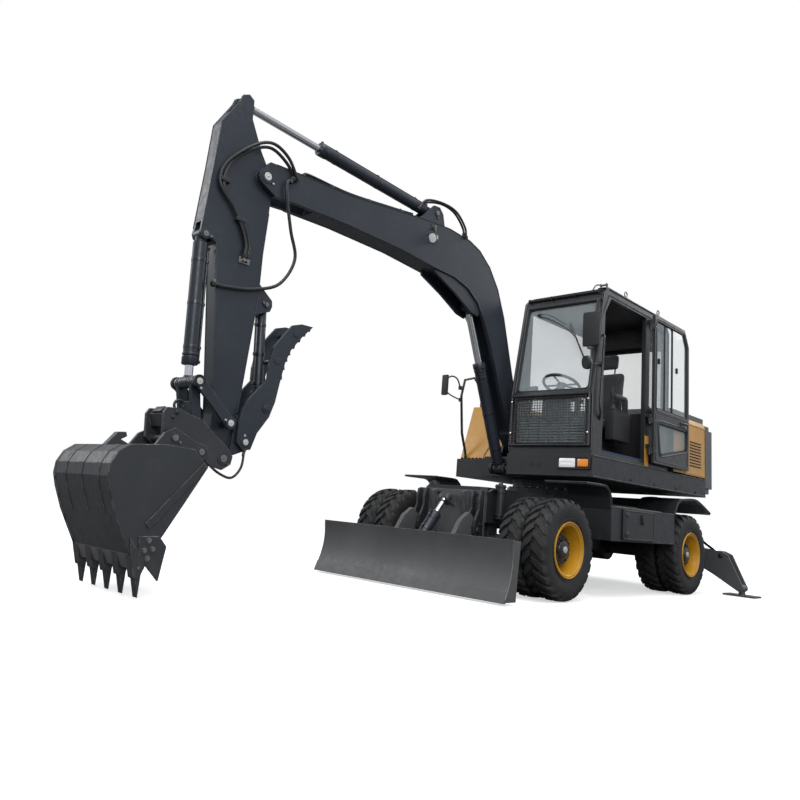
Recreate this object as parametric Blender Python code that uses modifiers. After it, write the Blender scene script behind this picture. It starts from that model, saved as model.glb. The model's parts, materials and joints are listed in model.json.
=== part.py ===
"""Wheeled excavator with blade, outriggers, one-piece boom, arm, bucket and thumb.

Metres, +Z up, front towards -Y, cab on the +X side. Points are written in the machine's own frame,
whose origin lies on the ground under the slew ring's axis, and one empty carries that frame.
"""

import math

import bmesh
import bpy
from mathutils import Matrix, Vector

# Clearances, walls and facets shared by all pieces
SEAT_GAP = 0.0003
PIN_GAP = 0.0004
SLIDE_GAP = 0.0005
PIN_HEAD = 0.004
CLEAR = 0.008
OVERRUN = 0.01
WELD = 0.00001
PIN_SIDES = 12
ROUND_STEPS = 20
WHEEL_STEPS = 16
TUBE_RESOLUTION = 1
SHARP_ANGLE = 30

# Wheels, twin tyres on each corner
TYRE_RADIUS = 0.4325
TYRE_WIDTH = 0.235
TWIN_GAP = 0.010
BEAD_RADIUS = 0.2125
WHEEL_OUTER_X = 1.12
WHEELBASE = 2.5925
FRONT_AXLE_Y = -1.53
REAR_AXLE_Y = FRONT_AXLE_Y + WHEELBASE
TWIN_WIDTH = 2 * TYRE_WIDTH + TWIN_GAP
WHEEL_INNER_X = WHEEL_OUTER_X - TWIN_WIDTH
RIM_FLANGE_RADIUS = 0.236
RIM_FLANGE_WIDTH = 0.014
RIM_WALL = 0.014
RIM_DISC_DEPTH = 0.20
RIM_DISC_THICKNESS = 0.022
HUB_RADIUS = 0.105
HUB_LENGTH = 0.075
HUB_CAP_RADIUS = 0.050
HUB_CAP_LENGTH = 0.028
HUB_BACK_LENGTH = 0.090
SPINDLE_RADIUS = 0.050
SPINDLE_DEPTH = 0.30

# Axles and steering knuckles
KING_PIN_X = 0.600
KING_PIN_RADIUS = 0.030
KNUCKLE_RADIUS = 0.058
KNUCKLE_HEIGHT = 0.190
FORK_LUG_HEIGHT = 0.035
FORK_LUG_WIDTH = 0.110
FORK_BACK_X = 0.490
FORK_BACK_WIDTH = 0.035
AXLE_TUBE_RADIUS = 0.075
AXLE_HOUSING_RADIUS = 0.155
AXLE_HOUSING_WIDTH = 0.240
AXLE_PAD_X = 0.230
AXLE_PAD_SIZE = 0.140
DRUM_RADIUS = 0.140
DRUM_INNER_X = 0.660
DRUM_WIDTH = 0.110

# Chassis frame with slew pedestal, cross members and outrigger bracket
FRAME_HALF_WIDTH = 0.365
FRAME_BOTTOM = 0.600
FRAME_TOP = 0.920
FRAME_FRONT_Y = -1.780
FRAME_REAR_Y = 1.840
PEDESTAL_RADIUS = 0.520
PEDESTAL_TOP = 1.000
RING_RADIUS = 0.460
RING_TOP = 1.060
CROSS_MEMBER_YS = (-0.550, 0.380)
CROSS_MEMBER_WIDTH = 0.140
CROSS_MEMBER_HEIGHT = 0.140
CROSS_MEMBER_BOTTOM = 0.640
LOCK_CYLINDER_X = 0.405
LOCK_CYLINDER_Y = -1.585
LOCK_CYLINDER_RADIUS = 0.048
LOCK_CYLINDER_BOTTOM = 0.640
LOCK_CYLINDER_TOP = 0.955
TRANSMISSION_HALF_WIDTH = 0.190
TRANSMISSION_FRONT_Y = 0.080
TRANSMISSION_REAR_Y = 0.720
TRANSMISSION_BOTTOM = 0.390
DRIVE_SHAFT_RADIUS = 0.034
DRIVE_SHAFT_Z = 0.440

# Side boxes: front fender, toolbox and rear fender in one body on each side
SIDE_INNER_X = 0.680
SIDE_OUTER_X = 1.115
FENDER_THICKNESS = 0.020
TOOLBOX_FRONT_Y = -0.800
TOOLBOX_REAR_Y = 0.620
TOOLBOX_BOTTOM = 0.530
TOOLBOX_TOP = 0.850
TOOLBOX_WALL = 0.022
TOOLBOX_DOOR_FRONT_Y = -0.560
TOOLBOX_DOOR_REAR_Y = 0.060
TOOLBOX_DOOR_MARGIN = 0.030
DOOR_PLATE = 0.022
DOOR_HINGE_RADIUS = 0.011
FRONT_FENDER_TOP = 1.036
FRONT_FENDER_FRONT_Y = -1.270
FRONT_FENDER_BEND_Y = -0.950
REAR_FENDER_TOP = 1.045
REAR_FENDER_REAR_Y = 1.620
REAR_FENDER_END_Z = 0.910

# Blade, its bracket and its cylinder
BRACKET_HALF_WIDTH = 0.388
BRACKET_PLATE = 0.025
BRACKET_BOTTOM = 0.455
BRACKET_TOP = 0.885
BLADE_PIVOT = (0, -1.880, 0.530)
BLADE_PIN_RADIUS = 0.025
BLADE_ARM_X = 0.340
BLADE_ARM_WIDTH = 0.042
BLADE_LUG_WIDTH = 0.022
BLADE_LUG_RADIUS = 0.055
BLADE_HALF_WIDTH = 1.115
BLADE_PLATE = 0.020
BLADE_TOP = (-2.376, 0.494)
BLADE_BOTTOM = (-2.455, 0.018)
BLADE_HOLLOW = 0.050
BLADE_CYLINDER_TOP = (0, -1.885, 0.800)
BLADE_CYLINDER_BOTTOM = (0, -2.300, 0.300)
BLADE_CYLINDER_RADIUS = 0.050
BLADE_ROD_RADIUS = 0.026
BLADE_CYLINDER_PIN = 0.018
CYLINDER_EYE_HALF_WIDTH = 0.028
CYLINDER_EYE_HALVES = (CYLINDER_EYE_HALF_WIDTH, CYLINDER_EYE_HALF_WIDTH)
CYLINDER_EAR_WIDTH = 0.020

# Outriggers
OUTRIGGER_HINGE = (0.450, 0.420)
OUTRIGGER_BASE_PIN = (0.300, 0.990)
OUTRIGGER_ROD_PIN = (1.135, 0.436)
OUTRIGGER_ELBOW = (1.204, 0.432)
OUTRIGGER_FOOT_PIN = (1.346, 0.092)
OUTRIGGER_PIN_RADIUS = 0.022
OUTRIGGER_LEG_FRONT_Y = 1.873
OUTRIGGER_LEG_REAR_Y = 2.037
OUTRIGGER_LEG_PLATE = 0.020
OUTRIGGER_BRACKET_PLATE = 0.025
OUTRIGGER_BRACKET_HALF_WIDTH = 0.540
OUTRIGGER_BRACKET_BOTTOM = 0.350
OUTRIGGER_BRACKET_TOP = 1.050
OUTRIGGER_CYLINDER_RADIUS = 0.046
OUTRIGGER_ROD_RADIUS = 0.024
FOOT_HALF_LENGTH = 0.175
FOOT_HALF_WIDTH = 0.120
FOOT_PLATE = 0.018
FOOT_GROUND_GAP = 0.003

# Colour, roughness and metallic value of each paint
PAINTS = {
    "slate": ((0.060, 0.075, 0.085), 0.45, 0.0),
    "dark_grey": ((0.045, 0.048, 0.052), 0.50, 0.0),
    "bucket_grey": ((0.110, 0.115, 0.118), 0.55, 0.2),
    "blade_grey": ((0.150, 0.158, 0.165), 0.45, 0.1),
    "yellow": ((0.900, 0.420, 0.020), 0.40, 0.0),
    "cab_black": ((0.020, 0.021, 0.023), 0.40, 0.0),
    "weight_grey": ((0.110, 0.118, 0.125), 0.50, 0.0),
    "chrome": ((0.750, 0.760, 0.780), 0.12, 1.0),
    "steel": ((0.350, 0.350, 0.350), 0.35, 1.0),
    "rubber": ((0.018, 0.018, 0.019), 0.85, 0.0),
    "seat": ((0.030, 0.030, 0.034), 0.80, 0.0),
    "iron": ((0.060, 0.060, 0.062), 0.60, 0.3),
}


for startup_object in list(bpy.data.objects):
    bpy.data.objects.remove(startup_object)


# Helpers that return one mesh object each, in the machine's frame


parts = bpy.data.collections.new("wheeled_excavator")
bpy.context.scene.collection.children.link(parts)


def shape_of(mesh):
    made = bpy.data.objects.new("shape", mesh)
    parts.objects.link(made)
    return made


def clean(mesh):
    """The mesh with its doubled points welded and its faces turned out."""
    work = bmesh.new()
    work.from_mesh(mesh)
    bmesh.ops.remove_doubles(work, verts=work.verts, dist=WELD)
    bmesh.ops.recalc_face_normals(work, faces=work.faces)
    work.to_mesh(mesh)
    work.free()
    return mesh


def to_mesh(source):
    """A mesh object of what the source shows, which is then removed."""
    graph = bpy.context.evaluated_depsgraph_get()
    mesh = bpy.data.meshes.new_from_object(source.evaluated_get(graph))
    mesh.transform(source.matrix_world)
    bpy.data.objects.remove(source)
    return shape_of(clean(mesh))


def is_closed(mesh):
    """Whether every edge of the mesh is shared by two faces."""
    work = bmesh.new()
    work.from_mesh(mesh)
    closed = all(len(edge.link_faces) == 2 for edge in work.edges)
    work.free()
    return closed


def combine(base, tools, operation="UNION"):
    """The base with each tool joined or cut, by the exact solver, or by the manifold one where that leaves a gap."""
    for tool in tools:
        change = base.modifiers.new("combine", "BOOLEAN")
        change.operation = operation
        change.object = tool
    for solver in ("EXACT", "MANIFOLD"):
        for change in base.modifiers:
            change.solver = solver
        graph = bpy.context.evaluated_depsgraph_get()
        mesh = bpy.data.meshes.new_from_object(base.evaluated_get(graph))
        if is_closed(mesh):
            break
    for used in [base, *tools]:
        bpy.data.objects.remove(used)
    return shape_of(mesh)


def cut(base, tools):
    return combine(base, tools, "DIFFERENCE")


def box(low, high):
    low, high = Vector(low), Vector(high)
    work = bmesh.new()
    placed = Matrix.LocRotScale((low + high) / 2, None, high - low)
    bmesh.ops.create_cube(work, size=1, matrix=placed)
    mesh = bpy.data.meshes.new("box")
    work.to_mesh(mesh)
    work.free()
    return shape_of(mesh)


def rod(start, end, radius, sides=PIN_SIDES, half_turned=False):
    start, end = Vector(start), Vector(end)
    placed = Matrix.LocRotScale((start + end) / 2, (end - start).to_track_quat("Z", "Y"), None)
    if half_turned:
        placed = placed @ Matrix.Rotation(math.pi / sides, 4, "Z")
    work = bmesh.new()
    bmesh.ops.create_cone(
        work,
        cap_ends=True,
        segments=sides,
        radius1=radius,
        radius2=radius,
        depth=(end - start).length,
        matrix=placed,
    )
    mesh = bpy.data.meshes.new("rod")
    work.to_mesh(mesh)
    work.free()
    return shape_of(mesh)


def bore_radius(pin_radius, gap=PIN_GAP, sides=PIN_SIDES):
    """The radius whose facets stay clear of a faceted pin turned to any angle."""
    return (pin_radius + gap) / math.cos(math.pi / sides)


def bore(start, end, pin_radius):
    """The cutter of a bore round a pin, with its flats over the pin's corners."""
    return rod(start, end, bore_radius(pin_radius), half_turned=True)


def plate(outline, low, high, normal="X"):
    """An outline in the plane across the normal, as (Y, Z), (X, Z) or (X, Y) points, from low to high along it."""
    curve = bpy.data.curves.new("outline", "CURVE")
    curve.dimensions = "2D"
    curve.fill_mode = "BOTH"
    curve.extrude = (high - low) / 2
    spline = curve.splines.new("POLY")
    spline.points.add(len(outline) - 1)
    for point, (across, up) in zip(spline.points, outline):
        point.co = (across, up, 0, 1)
    spline.use_cyclic_u = True
    source = bpy.data.objects.new("outline", curve)
    bpy.context.scene.collection.objects.link(source)
    turns = {
        "X": ((0, 0, 1), (1, 0, 0), (0, 1, 0)),
        "Y": ((1, 0, 0), (0, 0, -1), (0, 1, 0)),
        "Z": ((1, 0, 0), (0, 1, 0), (0, 0, 1)),
    }
    middle = (low + high) / 2
    place = Vector([middle if axis == normal else 0 for axis in "XYZ"])
    source.matrix_world = Matrix.Translation(place) @ Matrix(turns[normal]).to_4x4()
    bpy.context.view_layer.update()
    return to_mesh(source)


def turned(profile, origin, toward, steps=ROUND_STEPS):
    """A closed profile of (along, radius) points turned about the line from origin toward a direction."""
    count = len(profile)
    edges = [(i, (i + 1) % count) for i in range(count)]
    edges = [(i, j) for i, j in edges if profile[i][1] > 0 or profile[j][1] > 0]
    mesh = bpy.data.meshes.new("profile")
    mesh.from_pydata([(radius, 0, along) for along, radius in profile], edges, [])
    source = shape_of(mesh)
    screw = source.modifiers.new("turn", "SCREW")
    screw.steps = steps
    screw.render_steps = steps
    screw.use_merge_vertices = True
    screw.merge_threshold = WELD
    turn = Vector(toward).to_track_quat("Z", "Y").to_matrix().to_4x4()
    source.matrix_world = Matrix.Translation(Vector(origin)) @ turn
    bpy.context.view_layer.update()
    return to_mesh(source)


def tube(points, radius):
    curve = bpy.data.curves.new("path", "CURVE")
    curve.dimensions = "3D"
    curve.bevel_depth = radius
    curve.bevel_resolution = TUBE_RESOLUTION
    curve.use_fill_caps = True
    spline = curve.splines.new("POLY")
    spline.points.add(len(points) - 1)
    for point, place in zip(spline.points, points):
        point.co = (*place, 1)
    source = bpy.data.objects.new("path", curve)
    bpy.context.scene.collection.objects.link(source)
    return to_mesh(source)


def arc(centre, radius, start, end, count):
    """Points on an arc, with its angles in degrees."""
    angles = [math.radians(start + (end - start) * i / count) for i in range(count + 1)]
    return [(centre[0] + radius * math.cos(a), centre[1] + radius * math.sin(a)) for a in angles]


def framed(shares, origin, toward):
    """Points given as shares along the line from origin to toward, and to its right-hand side when it points up."""
    along_y, along_z = toward[0] - origin[0], toward[1] - origin[1]
    return [
        (origin[0] + s * along_y + t * along_z, origin[1] + s * along_z - t * along_y)
        for s, t in shares
    ]


def scaled(shares, low, high):
    """Points given as shares of the rectangle from low to high."""
    return [(low[0] + s * (high[0] - low[0]), low[1] + t * (high[1] - low[1])) for s, t in shares]


def offset_line(points, distance):
    """The open line moved sideways by a distance."""
    moved = []
    for i, point in enumerate(points):
        before = Vector(points[max(i - 1, 0)])
        after = Vector(points[min(i + 1, len(points) - 1)])
        side = (after - before).normalized().orthogonal()
        moved.append((point[0] + side.x * distance, point[1] + side.y * distance))
    return moved


def thick_line(points, thickness, inset=0):
    """The closed outline of a bent plate whose one face follows the points, or lies inset from them."""
    return offset_line(points, inset) + offset_line(points, inset + thickness)[::-1]


# Bodies and their nodes

pivots = {}


def body(name, pivot, parent=None):
    """An empty at the body's pivot, which its nodes and the bodies it carries follow."""
    made = bpy.data.objects.new(name, None)
    parts.objects.link(made)
    pivots[name] = Vector(pivot)
    made.parent = parent
    made.location = pivots[name] - (pivots[parent.name] if parent else Vector((0, 0, 0)))
    return made


def material(name):
    if name in bpy.data.materials:
        return bpy.data.materials[name]
    made = bpy.data.materials.new(name)
    made.use_nodes = True
    colour, roughness, metallic = PAINTS[name]
    shader = made.node_tree.nodes["Principled BSDF"]
    shader.inputs["Base Color"].default_value = (*colour, 1)
    shader.inputs["Roughness"].default_value = roughness
    shader.inputs["Metallic"].default_value = metallic
    return made


def node(name, shape, owner, paint):
    """Names a finished shape, paints it and hangs it on its body."""
    shape.name = name
    mesh = shape.data
    mesh.name = name
    mesh.transform(Matrix.Translation(-pivots[owner.name]))
    mesh.materials.clear()
    mesh.materials.append(material(paint))
    mesh.shade_smooth()
    mesh.set_sharp_from_angle(angle=math.radians(SHARP_ANGLE))
    shape.parent = owner
    return shape


def span(side, inner, outer):
    """The low and high X of a stretch given on the left side, on either side."""
    return (inner, outer) if side > 0 else (-outer, -inner)


# Hydraulic cylinders, shared by every linkage

GLAND_LENGTH = 0.045
GLAND_STEP = 0.006
EYE_RING = 0.020
CYLINDER_BOTTOM = 0.024
NECK_SHARE = 0.9


def stand(shape, origin, toward, across):
    """Moves a shape made upright at zero onto its pin, with its Z axis toward a point and its X axis along the pin."""
    origin = Vector(origin)
    up = (Vector(toward) - origin).normalized()
    side = Vector(across)
    turn = Matrix((side, up.cross(side), up)).transposed().to_4x4()
    shape.data.transform(Matrix.Translation(origin) @ turn)
    return shape


def cylinder_barrel(radius, rod_radius, length, pin_radius, eye_half):
    """An upright barrel with an eye round its base pin at zero and a gland that the rod passes."""
    eye_radius = pin_radius + EYE_RING
    start = eye_radius + CYLINDER_BOTTOM
    inside = bore_radius(rod_radius, SLIDE_GAP)
    profile = [
        (start, 0),
        (start, inside),
        (length, inside),
        (length, radius + GLAND_STEP),
        (length - GLAND_LENGTH, radius + GLAND_STEP),
        (length - GLAND_LENGTH, radius),
        (eye_radius + CLEAR, radius),
        (eye_radius + CLEAR, 0),
    ]
    shape = turned(profile, (0, 0, 0), (0, 0, 1), PIN_SIDES)
    neck = box(
        (-eye_half * NECK_SHARE, -radius * NECK_SHARE / 2, 0),
        (eye_half * NECK_SHARE, radius * NECK_SHARE / 2, start - CYLINDER_BOTTOM / 3),
    )
    eye = rod((-eye_half, 0, 0), (eye_half, 0, 0), eye_radius)
    hole = bore((-radius * 2, 0, 0), (radius * 2, 0, 0), pin_radius)
    return cut(combine(shape, [neck, eye]), [hole])


def cylinder_rod(rod_radius, inside, pin_radius, eye_half):
    """An upright rod that ends at zero in a solid eye, whose pin stays inside the eye's width."""
    eye = rod((-eye_half, 0, 0), (eye_half, 0, 0), pin_radius + EYE_RING)
    return combine(rod((0, 0, 0), (0, 0, inside), rod_radius, half_turned=True), [eye])


ACROSS_X = (1, 0, 0)
ACROSS_Y = (0, 1, 0)


# Undercarriage

machine = body("machine", (0, 0, 0))
chassis = body("chassis", (0, 0, 0), machine)


def frame_outline():
    """The chassis from above: straight sides with cut corners at the front."""
    corner = BRACKET_PLATE * 2
    return [
        (-FRAME_HALF_WIDTH, FRAME_REAR_Y),
        (-FRAME_HALF_WIDTH, FRAME_FRONT_Y + corner),
        (corner - FRAME_HALF_WIDTH, FRAME_FRONT_Y),
        (FRAME_HALF_WIDTH - corner, FRAME_FRONT_Y),
        (FRAME_HALF_WIDTH, FRAME_FRONT_Y + corner),
        (FRAME_HALF_WIDTH, FRAME_REAR_Y),
    ]


def bracket_outline():
    """The outrigger bracket from behind: wide below at the leg hinges, narrower above."""
    shoulder = OUTRIGGER_HINGE[1] + EYE_RING * 4
    top = OUTRIGGER_BASE_PIN[0] + EYE_RING * 4
    right = [
        (OUTRIGGER_BRACKET_HALF_WIDTH, OUTRIGGER_BRACKET_BOTTOM),
        (OUTRIGGER_BRACKET_HALF_WIDTH, shoulder),
        (top, OUTRIGGER_BRACKET_TOP - EYE_RING * 3),
        (top - EYE_RING, OUTRIGGER_BRACKET_TOP),
    ]
    return right + [(-x, z) for x, z in reversed(right)]


def chassis_frame():
    shape = plate(frame_outline(), FRAME_BOTTOM, FRAME_TOP, "Z")
    joined = [
        rod((0, 0, FRAME_TOP - OVERRUN), (0, 0, PEDESTAL_TOP), PEDESTAL_RADIUS, ROUND_STEPS),
        rod((0, 0, FRAME_TOP), (0, 0, RING_TOP), RING_RADIUS, ROUND_STEPS),
    ]
    reach = SIDE_INNER_X - SEAT_GAP
    for y in CROSS_MEMBER_YS:
        low = (-reach, y - CROSS_MEMBER_WIDTH / 2, CROSS_MEMBER_BOTTOM)
        high = (reach, y + CROSS_MEMBER_WIDTH / 2, CROSS_MEMBER_BOTTOM + CROSS_MEMBER_HEIGHT)
        joined.append(box(low, high))
    for side in (-1, 1):
        x = side * LOCK_CYLINDER_X
        low = (x, LOCK_CYLINDER_Y, LOCK_CYLINDER_BOTTOM)
        joined.append(rod(low, (x, LOCK_CYLINDER_Y, LOCK_CYLINDER_TOP), LOCK_CYLINDER_RADIUS))
    front = FRAME_REAR_Y
    rear = OUTRIGGER_LEG_REAR_Y + CLEAR
    for y in (front - OVERRUN, rear):
        thick = OUTRIGGER_BRACKET_PLATE + (OVERRUN if y < front else 0)
        joined.append(plate(bracket_outline(), y, y + thick, "Y"))
    spacer_top = OUTRIGGER_HINGE[1] - EYE_RING
    spacer = OUTRIGGER_BRACKET_HALF_WIDTH / 3
    joined.append(box((-spacer, front, OUTRIGGER_BRACKET_BOTTOM), (spacer, rear + OVERRUN, spacer_top)))
    joined.append(box((-BRACKET_PLATE, front, spacer_top), (BRACKET_PLATE, rear + OVERRUN, PEDESTAL_TOP)))
    for side in (-1, 1):
        for x, z in (OUTRIGGER_HINGE, OUTRIGGER_BASE_PIN):
            back = rear + OUTRIGGER_BRACKET_PLATE
            joined.append(rod((side * x, front, z), (side * x, back, z), OUTRIGGER_PIN_RADIUS))
    return combine(shape, joined)


def transmission():
    top = FRAME_BOTTOM - SEAT_GAP
    case = box(
        (-TRANSMISSION_HALF_WIDTH, TRANSMISSION_FRONT_Y, TRANSMISSION_BOTTOM),
        (TRANSMISSION_HALF_WIDTH, TRANSMISSION_REAR_Y, top),
    )
    front = FRONT_AXLE_Y + AXLE_HOUSING_RADIUS + CLEAR
    rear = REAR_AXLE_Y - AXLE_HOUSING_RADIUS - CLEAR
    shaft = rod((0, front, DRIVE_SHAFT_Z), (0, rear, DRIVE_SHAFT_Z), DRIVE_SHAFT_RADIUS)
    return combine(case, [shaft])


def axle_middle(y, reach):
    """An axle beam with its round housing and the pads that carry the frame."""
    shape = rod((-reach, y, TYRE_RADIUS), (reach, y, TYRE_RADIUS), AXLE_TUBE_RADIUS)
    half = AXLE_HOUSING_WIDTH / 2
    joined = [rod((-half, y, TYRE_RADIUS), (half, y, TYRE_RADIUS), AXLE_HOUSING_RADIUS, ROUND_STEPS)]
    for side in (-1, 1):
        low, high = span(side, AXLE_PAD_X, AXLE_PAD_X + AXLE_PAD_SIZE / 2)
        width = AXLE_PAD_SIZE / 2
        joined.append(box((low, y - width, TYRE_RADIUS), (high, y + width, FRAME_BOTTOM - SEAT_GAP)))
    return combine(shape, joined)


def front_axle():
    """The steered axle: its forked ends hold the king pins."""
    shape = axle_middle(FRONT_AXLE_Y, FORK_BACK_X + FORK_BACK_WIDTH / 2)
    half = KNUCKLE_HEIGHT / 2 + CLEAR + FORK_LUG_HEIGHT
    joined = []
    for side in (-1, 1):
        x = side * KING_PIN_X
        low, high = span(side, FORK_BACK_X, FORK_BACK_X + FORK_BACK_WIDTH)
        wide = FORK_LUG_WIDTH / 2
        back = box((low, FRONT_AXLE_Y - wide, TYRE_RADIUS - half), (high, FRONT_AXLE_Y + wide, TYRE_RADIUS + half))
        joined.append(back)
        low, high = span(side, FORK_BACK_X, KING_PIN_X)
        for up in (-1, 1):
            near = TYRE_RADIUS + up * (half - FORK_LUG_HEIGHT)
            far = TYRE_RADIUS + up * half
            bottom, top = min(near, far), max(near, far)
            joined.append(box((low, FRONT_AXLE_Y - wide, bottom), (high, FRONT_AXLE_Y + wide, top)))
            joined.append(rod((x, FRONT_AXLE_Y, bottom), (x, FRONT_AXLE_Y, top), wide / 1.6))
        bottom = (x, FRONT_AXLE_Y, TYRE_RADIUS - half)
        joined.append(rod(bottom, (x, FRONT_AXLE_Y, TYRE_RADIUS + half), KING_PIN_RADIUS))
    return combine(shape, joined)


def wheel_end(side, y):
    """The brake drum and the spindle that carry one pair of wheels."""
    inner = DRUM_INNER_X
    drum = rod((side * inner, y, TYRE_RADIUS), (side * (inner + DRUM_WIDTH), y, TYRE_RADIUS), DRUM_RADIUS)
    end = WHEEL_INNER_X + SPINDLE_DEPTH
    spindle = rod((side * inner, y, TYRE_RADIUS), (side * end, y, TYRE_RADIUS), SPINDLE_RADIUS, WHEEL_STEPS, True)
    return drum, spindle


def rear_axle():
    shape = axle_middle(REAR_AXLE_Y, DRUM_INNER_X + OVERRUN)
    return combine(shape, [piece for side in (-1, 1) for piece in wheel_end(side, REAR_AXLE_Y)])


def knuckle(side):
    x = side * KING_PIN_X
    half = KNUCKLE_HEIGHT / 2
    low = (x, FRONT_AXLE_Y, TYRE_RADIUS - half)
    shape = rod(low, (x, FRONT_AXLE_Y, TYRE_RADIUS + half), KNUCKLE_RADIUS)
    drum, spindle = wheel_end(side, FRONT_AXLE_Y)
    neck = rod((x, FRONT_AXLE_Y, TYRE_RADIUS), (side * (DRUM_INNER_X + OVERRUN), FRONT_AXLE_Y, TYRE_RADIUS), SPINDLE_RADIUS)
    hole = bore(
        (x, FRONT_AXLE_Y, TYRE_RADIUS - half - OVERRUN),
        (x, FRONT_AXLE_Y, TYRE_RADIUS + half + OVERRUN),
        KING_PIN_RADIUS,
    )
    return cut(combine(shape, [drum, spindle, neck]), [hole])


# Half of one tyre's section from its bead, as shares of the tyre's width and of its wall height
tyre_shares = [(0.08, 0), (0.08, 0.13), (0, 0.20), (0, 0.66), (0.09, 0.92), (0.27, 1.0)]
TWIN_BOND_LOW_SHARE = 0.35
TWIN_BOND_HIGH_SHARE = 0.55


def tyre(side, y):
    """Twin tyres as one body: their side walls meet in a band between them."""
    wall = TYRE_RADIUS - BEAD_RADIUS
    rising = [(TYRE_WIDTH * s, BEAD_RADIUS + wall * t) for s, t in tyre_shares]
    falling = [(TYRE_WIDTH - a, r) for a, r in reversed(rising)]
    step = TYRE_WIDTH + TWIN_GAP
    low = BEAD_RADIUS + wall * TWIN_BOND_LOW_SHARE
    high = BEAD_RADIUS + wall * TWIN_BOND_HIGH_SHARE
    first = rising + falling[:-3]
    second = [(a + step, r) for a, r in rising[3:] + falling]
    outer = first + [(TYRE_WIDTH, high), (step, high)] + second
    inner = [(step + a, r) for a, r in rising[:3]] + [(step, low), (TYRE_WIDTH, low)] + falling[-3:]
    profile = outer + inner
    return turned(profile, (side * WHEEL_INNER_X, y, TYRE_RADIUS), (side, 0, 0), WHEEL_STEPS)


def rim(side, y):
    """A twin rim with its dished disc, hub and hub cap, open at the back for the drum and spindle."""
    width = TWIN_WIDTH
    seat = BEAD_RADIUS - SLIDE_GAP
    inside = seat - RIM_WALL
    face = width - RIM_DISC_DEPTH
    disc_back = face - RIM_DISC_THICKNESS
    hub_bore = bore_radius(SPINDLE_RADIUS, PIN_GAP, WHEEL_STEPS)
    hub_face = face + HUB_LENGTH
    profile = [
        (0, RIM_FLANGE_RADIUS),
        (RIM_FLANGE_WIDTH, RIM_FLANGE_RADIUS),
        (RIM_FLANGE_WIDTH, seat),
        (width - RIM_FLANGE_WIDTH, seat),
        (width - RIM_FLANGE_WIDTH, RIM_FLANGE_RADIUS),
        (width, RIM_FLANGE_RADIUS),
        (width, inside + RIM_WALL / 2),
        (width - RIM_FLANGE_WIDTH * 2, inside),
        (face + RIM_FLANGE_WIDTH * 2, inside - RIM_WALL / 2),
        (face, inside - RIM_WALL * 2),
        (face, HUB_RADIUS),
        (hub_face, HUB_RADIUS - RIM_WALL / 2),
        (hub_face, HUB_CAP_RADIUS),
        (hub_face + HUB_CAP_LENGTH, HUB_CAP_RADIUS - RIM_WALL / 2),
        (hub_face + HUB_CAP_LENGTH, 0),
        (SPINDLE_DEPTH + OVERRUN, 0),
        (SPINDLE_DEPTH + OVERRUN, hub_bore),
        (disc_back - HUB_BACK_LENGTH, hub_bore),
        (disc_back - HUB_BACK_LENGTH, hub_bore + RIM_WALL * 2),
        (disc_back, hub_bore + RIM_WALL * 2),
        (disc_back, inside - RIM_WALL * 2),
        (disc_back - RIM_WALL, inside),
        (0, inside),
    ]
    return turned(profile, (side * WHEEL_INNER_X, y, TYRE_RADIUS), (side, 0, 0), WHEEL_STEPS)


def front_fender_line():
    """The top face of the front fender, flat over the wheel and bent down to the toolbox."""
    drop = TOOLBOX_TOP - TOOLBOX_WALL
    radius = TOOLBOX_FRONT_Y - FRONT_FENDER_BEND_Y
    bend = arc((FRONT_FENDER_BEND_Y, FRONT_FENDER_TOP - radius), radius, 90, 20, 4)
    return [(FRONT_FENDER_FRONT_Y, FRONT_FENDER_TOP), *bend, (TOOLBOX_FRONT_Y + OVERRUN, drop)]


def rear_fender_line():
    """The top face of the rear fender, rising from the toolbox and falling behind the wheel."""
    rise = REAR_FENDER_TOP - TOOLBOX_TOP
    return [
        (TOOLBOX_REAR_Y - OVERRUN, TOOLBOX_TOP),
        (TOOLBOX_REAR_Y + rise / 2, REAR_FENDER_TOP - rise / 3),
        (TOOLBOX_REAR_Y + rise, REAR_FENDER_TOP - rise / 8),
        (REAR_AXLE_Y + rise / 2, REAR_FENDER_TOP),
        ((REAR_AXLE_Y + REAR_FENDER_REAR_Y) / 2, REAR_FENDER_TOP - rise / 5),
        (REAR_FENDER_REAR_Y, REAR_FENDER_END_Z),
    ]


def side_box(side):
    """Front fender, toolbox and rear fender, with the toolbox open to the outside."""
    low, high = span(side, SIDE_INNER_X, SIDE_OUTER_X)
    outer = box((low, TOOLBOX_FRONT_Y, TOOLBOX_BOTTOM), (high, TOOLBOX_REAR_Y, TOOLBOX_TOP))
    front = plate(thick_line(front_fender_line(), -FENDER_THICKNESS), low, high)
    rear = plate(thick_line(rear_fender_line(), -FENDER_THICKNESS), low, high)
    hollow_low, hollow_high = span(side, SIDE_INNER_X + TOOLBOX_WALL, SIDE_OUTER_X + OVERRUN)
    hollow = box(
        (hollow_low, TOOLBOX_DOOR_FRONT_Y, TOOLBOX_BOTTOM + TOOLBOX_DOOR_MARGIN),
        (hollow_high, TOOLBOX_DOOR_REAR_Y, TOOLBOX_TOP - TOOLBOX_DOOR_MARGIN),
    )
    return cut(combine(outer, [front, rear]), [hollow])


def toolbox_hinge(side):
    """The hinge axis of the toolbox door, just outside its front edge."""
    x = SIDE_OUTER_X + DOOR_HINGE_RADIUS + SEAT_GAP
    return (side * x, TOOLBOX_DOOR_FRONT_Y - TOOLBOX_DOOR_MARGIN / 2, (TOOLBOX_BOTTOM + TOOLBOX_TOP) / 2)


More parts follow.
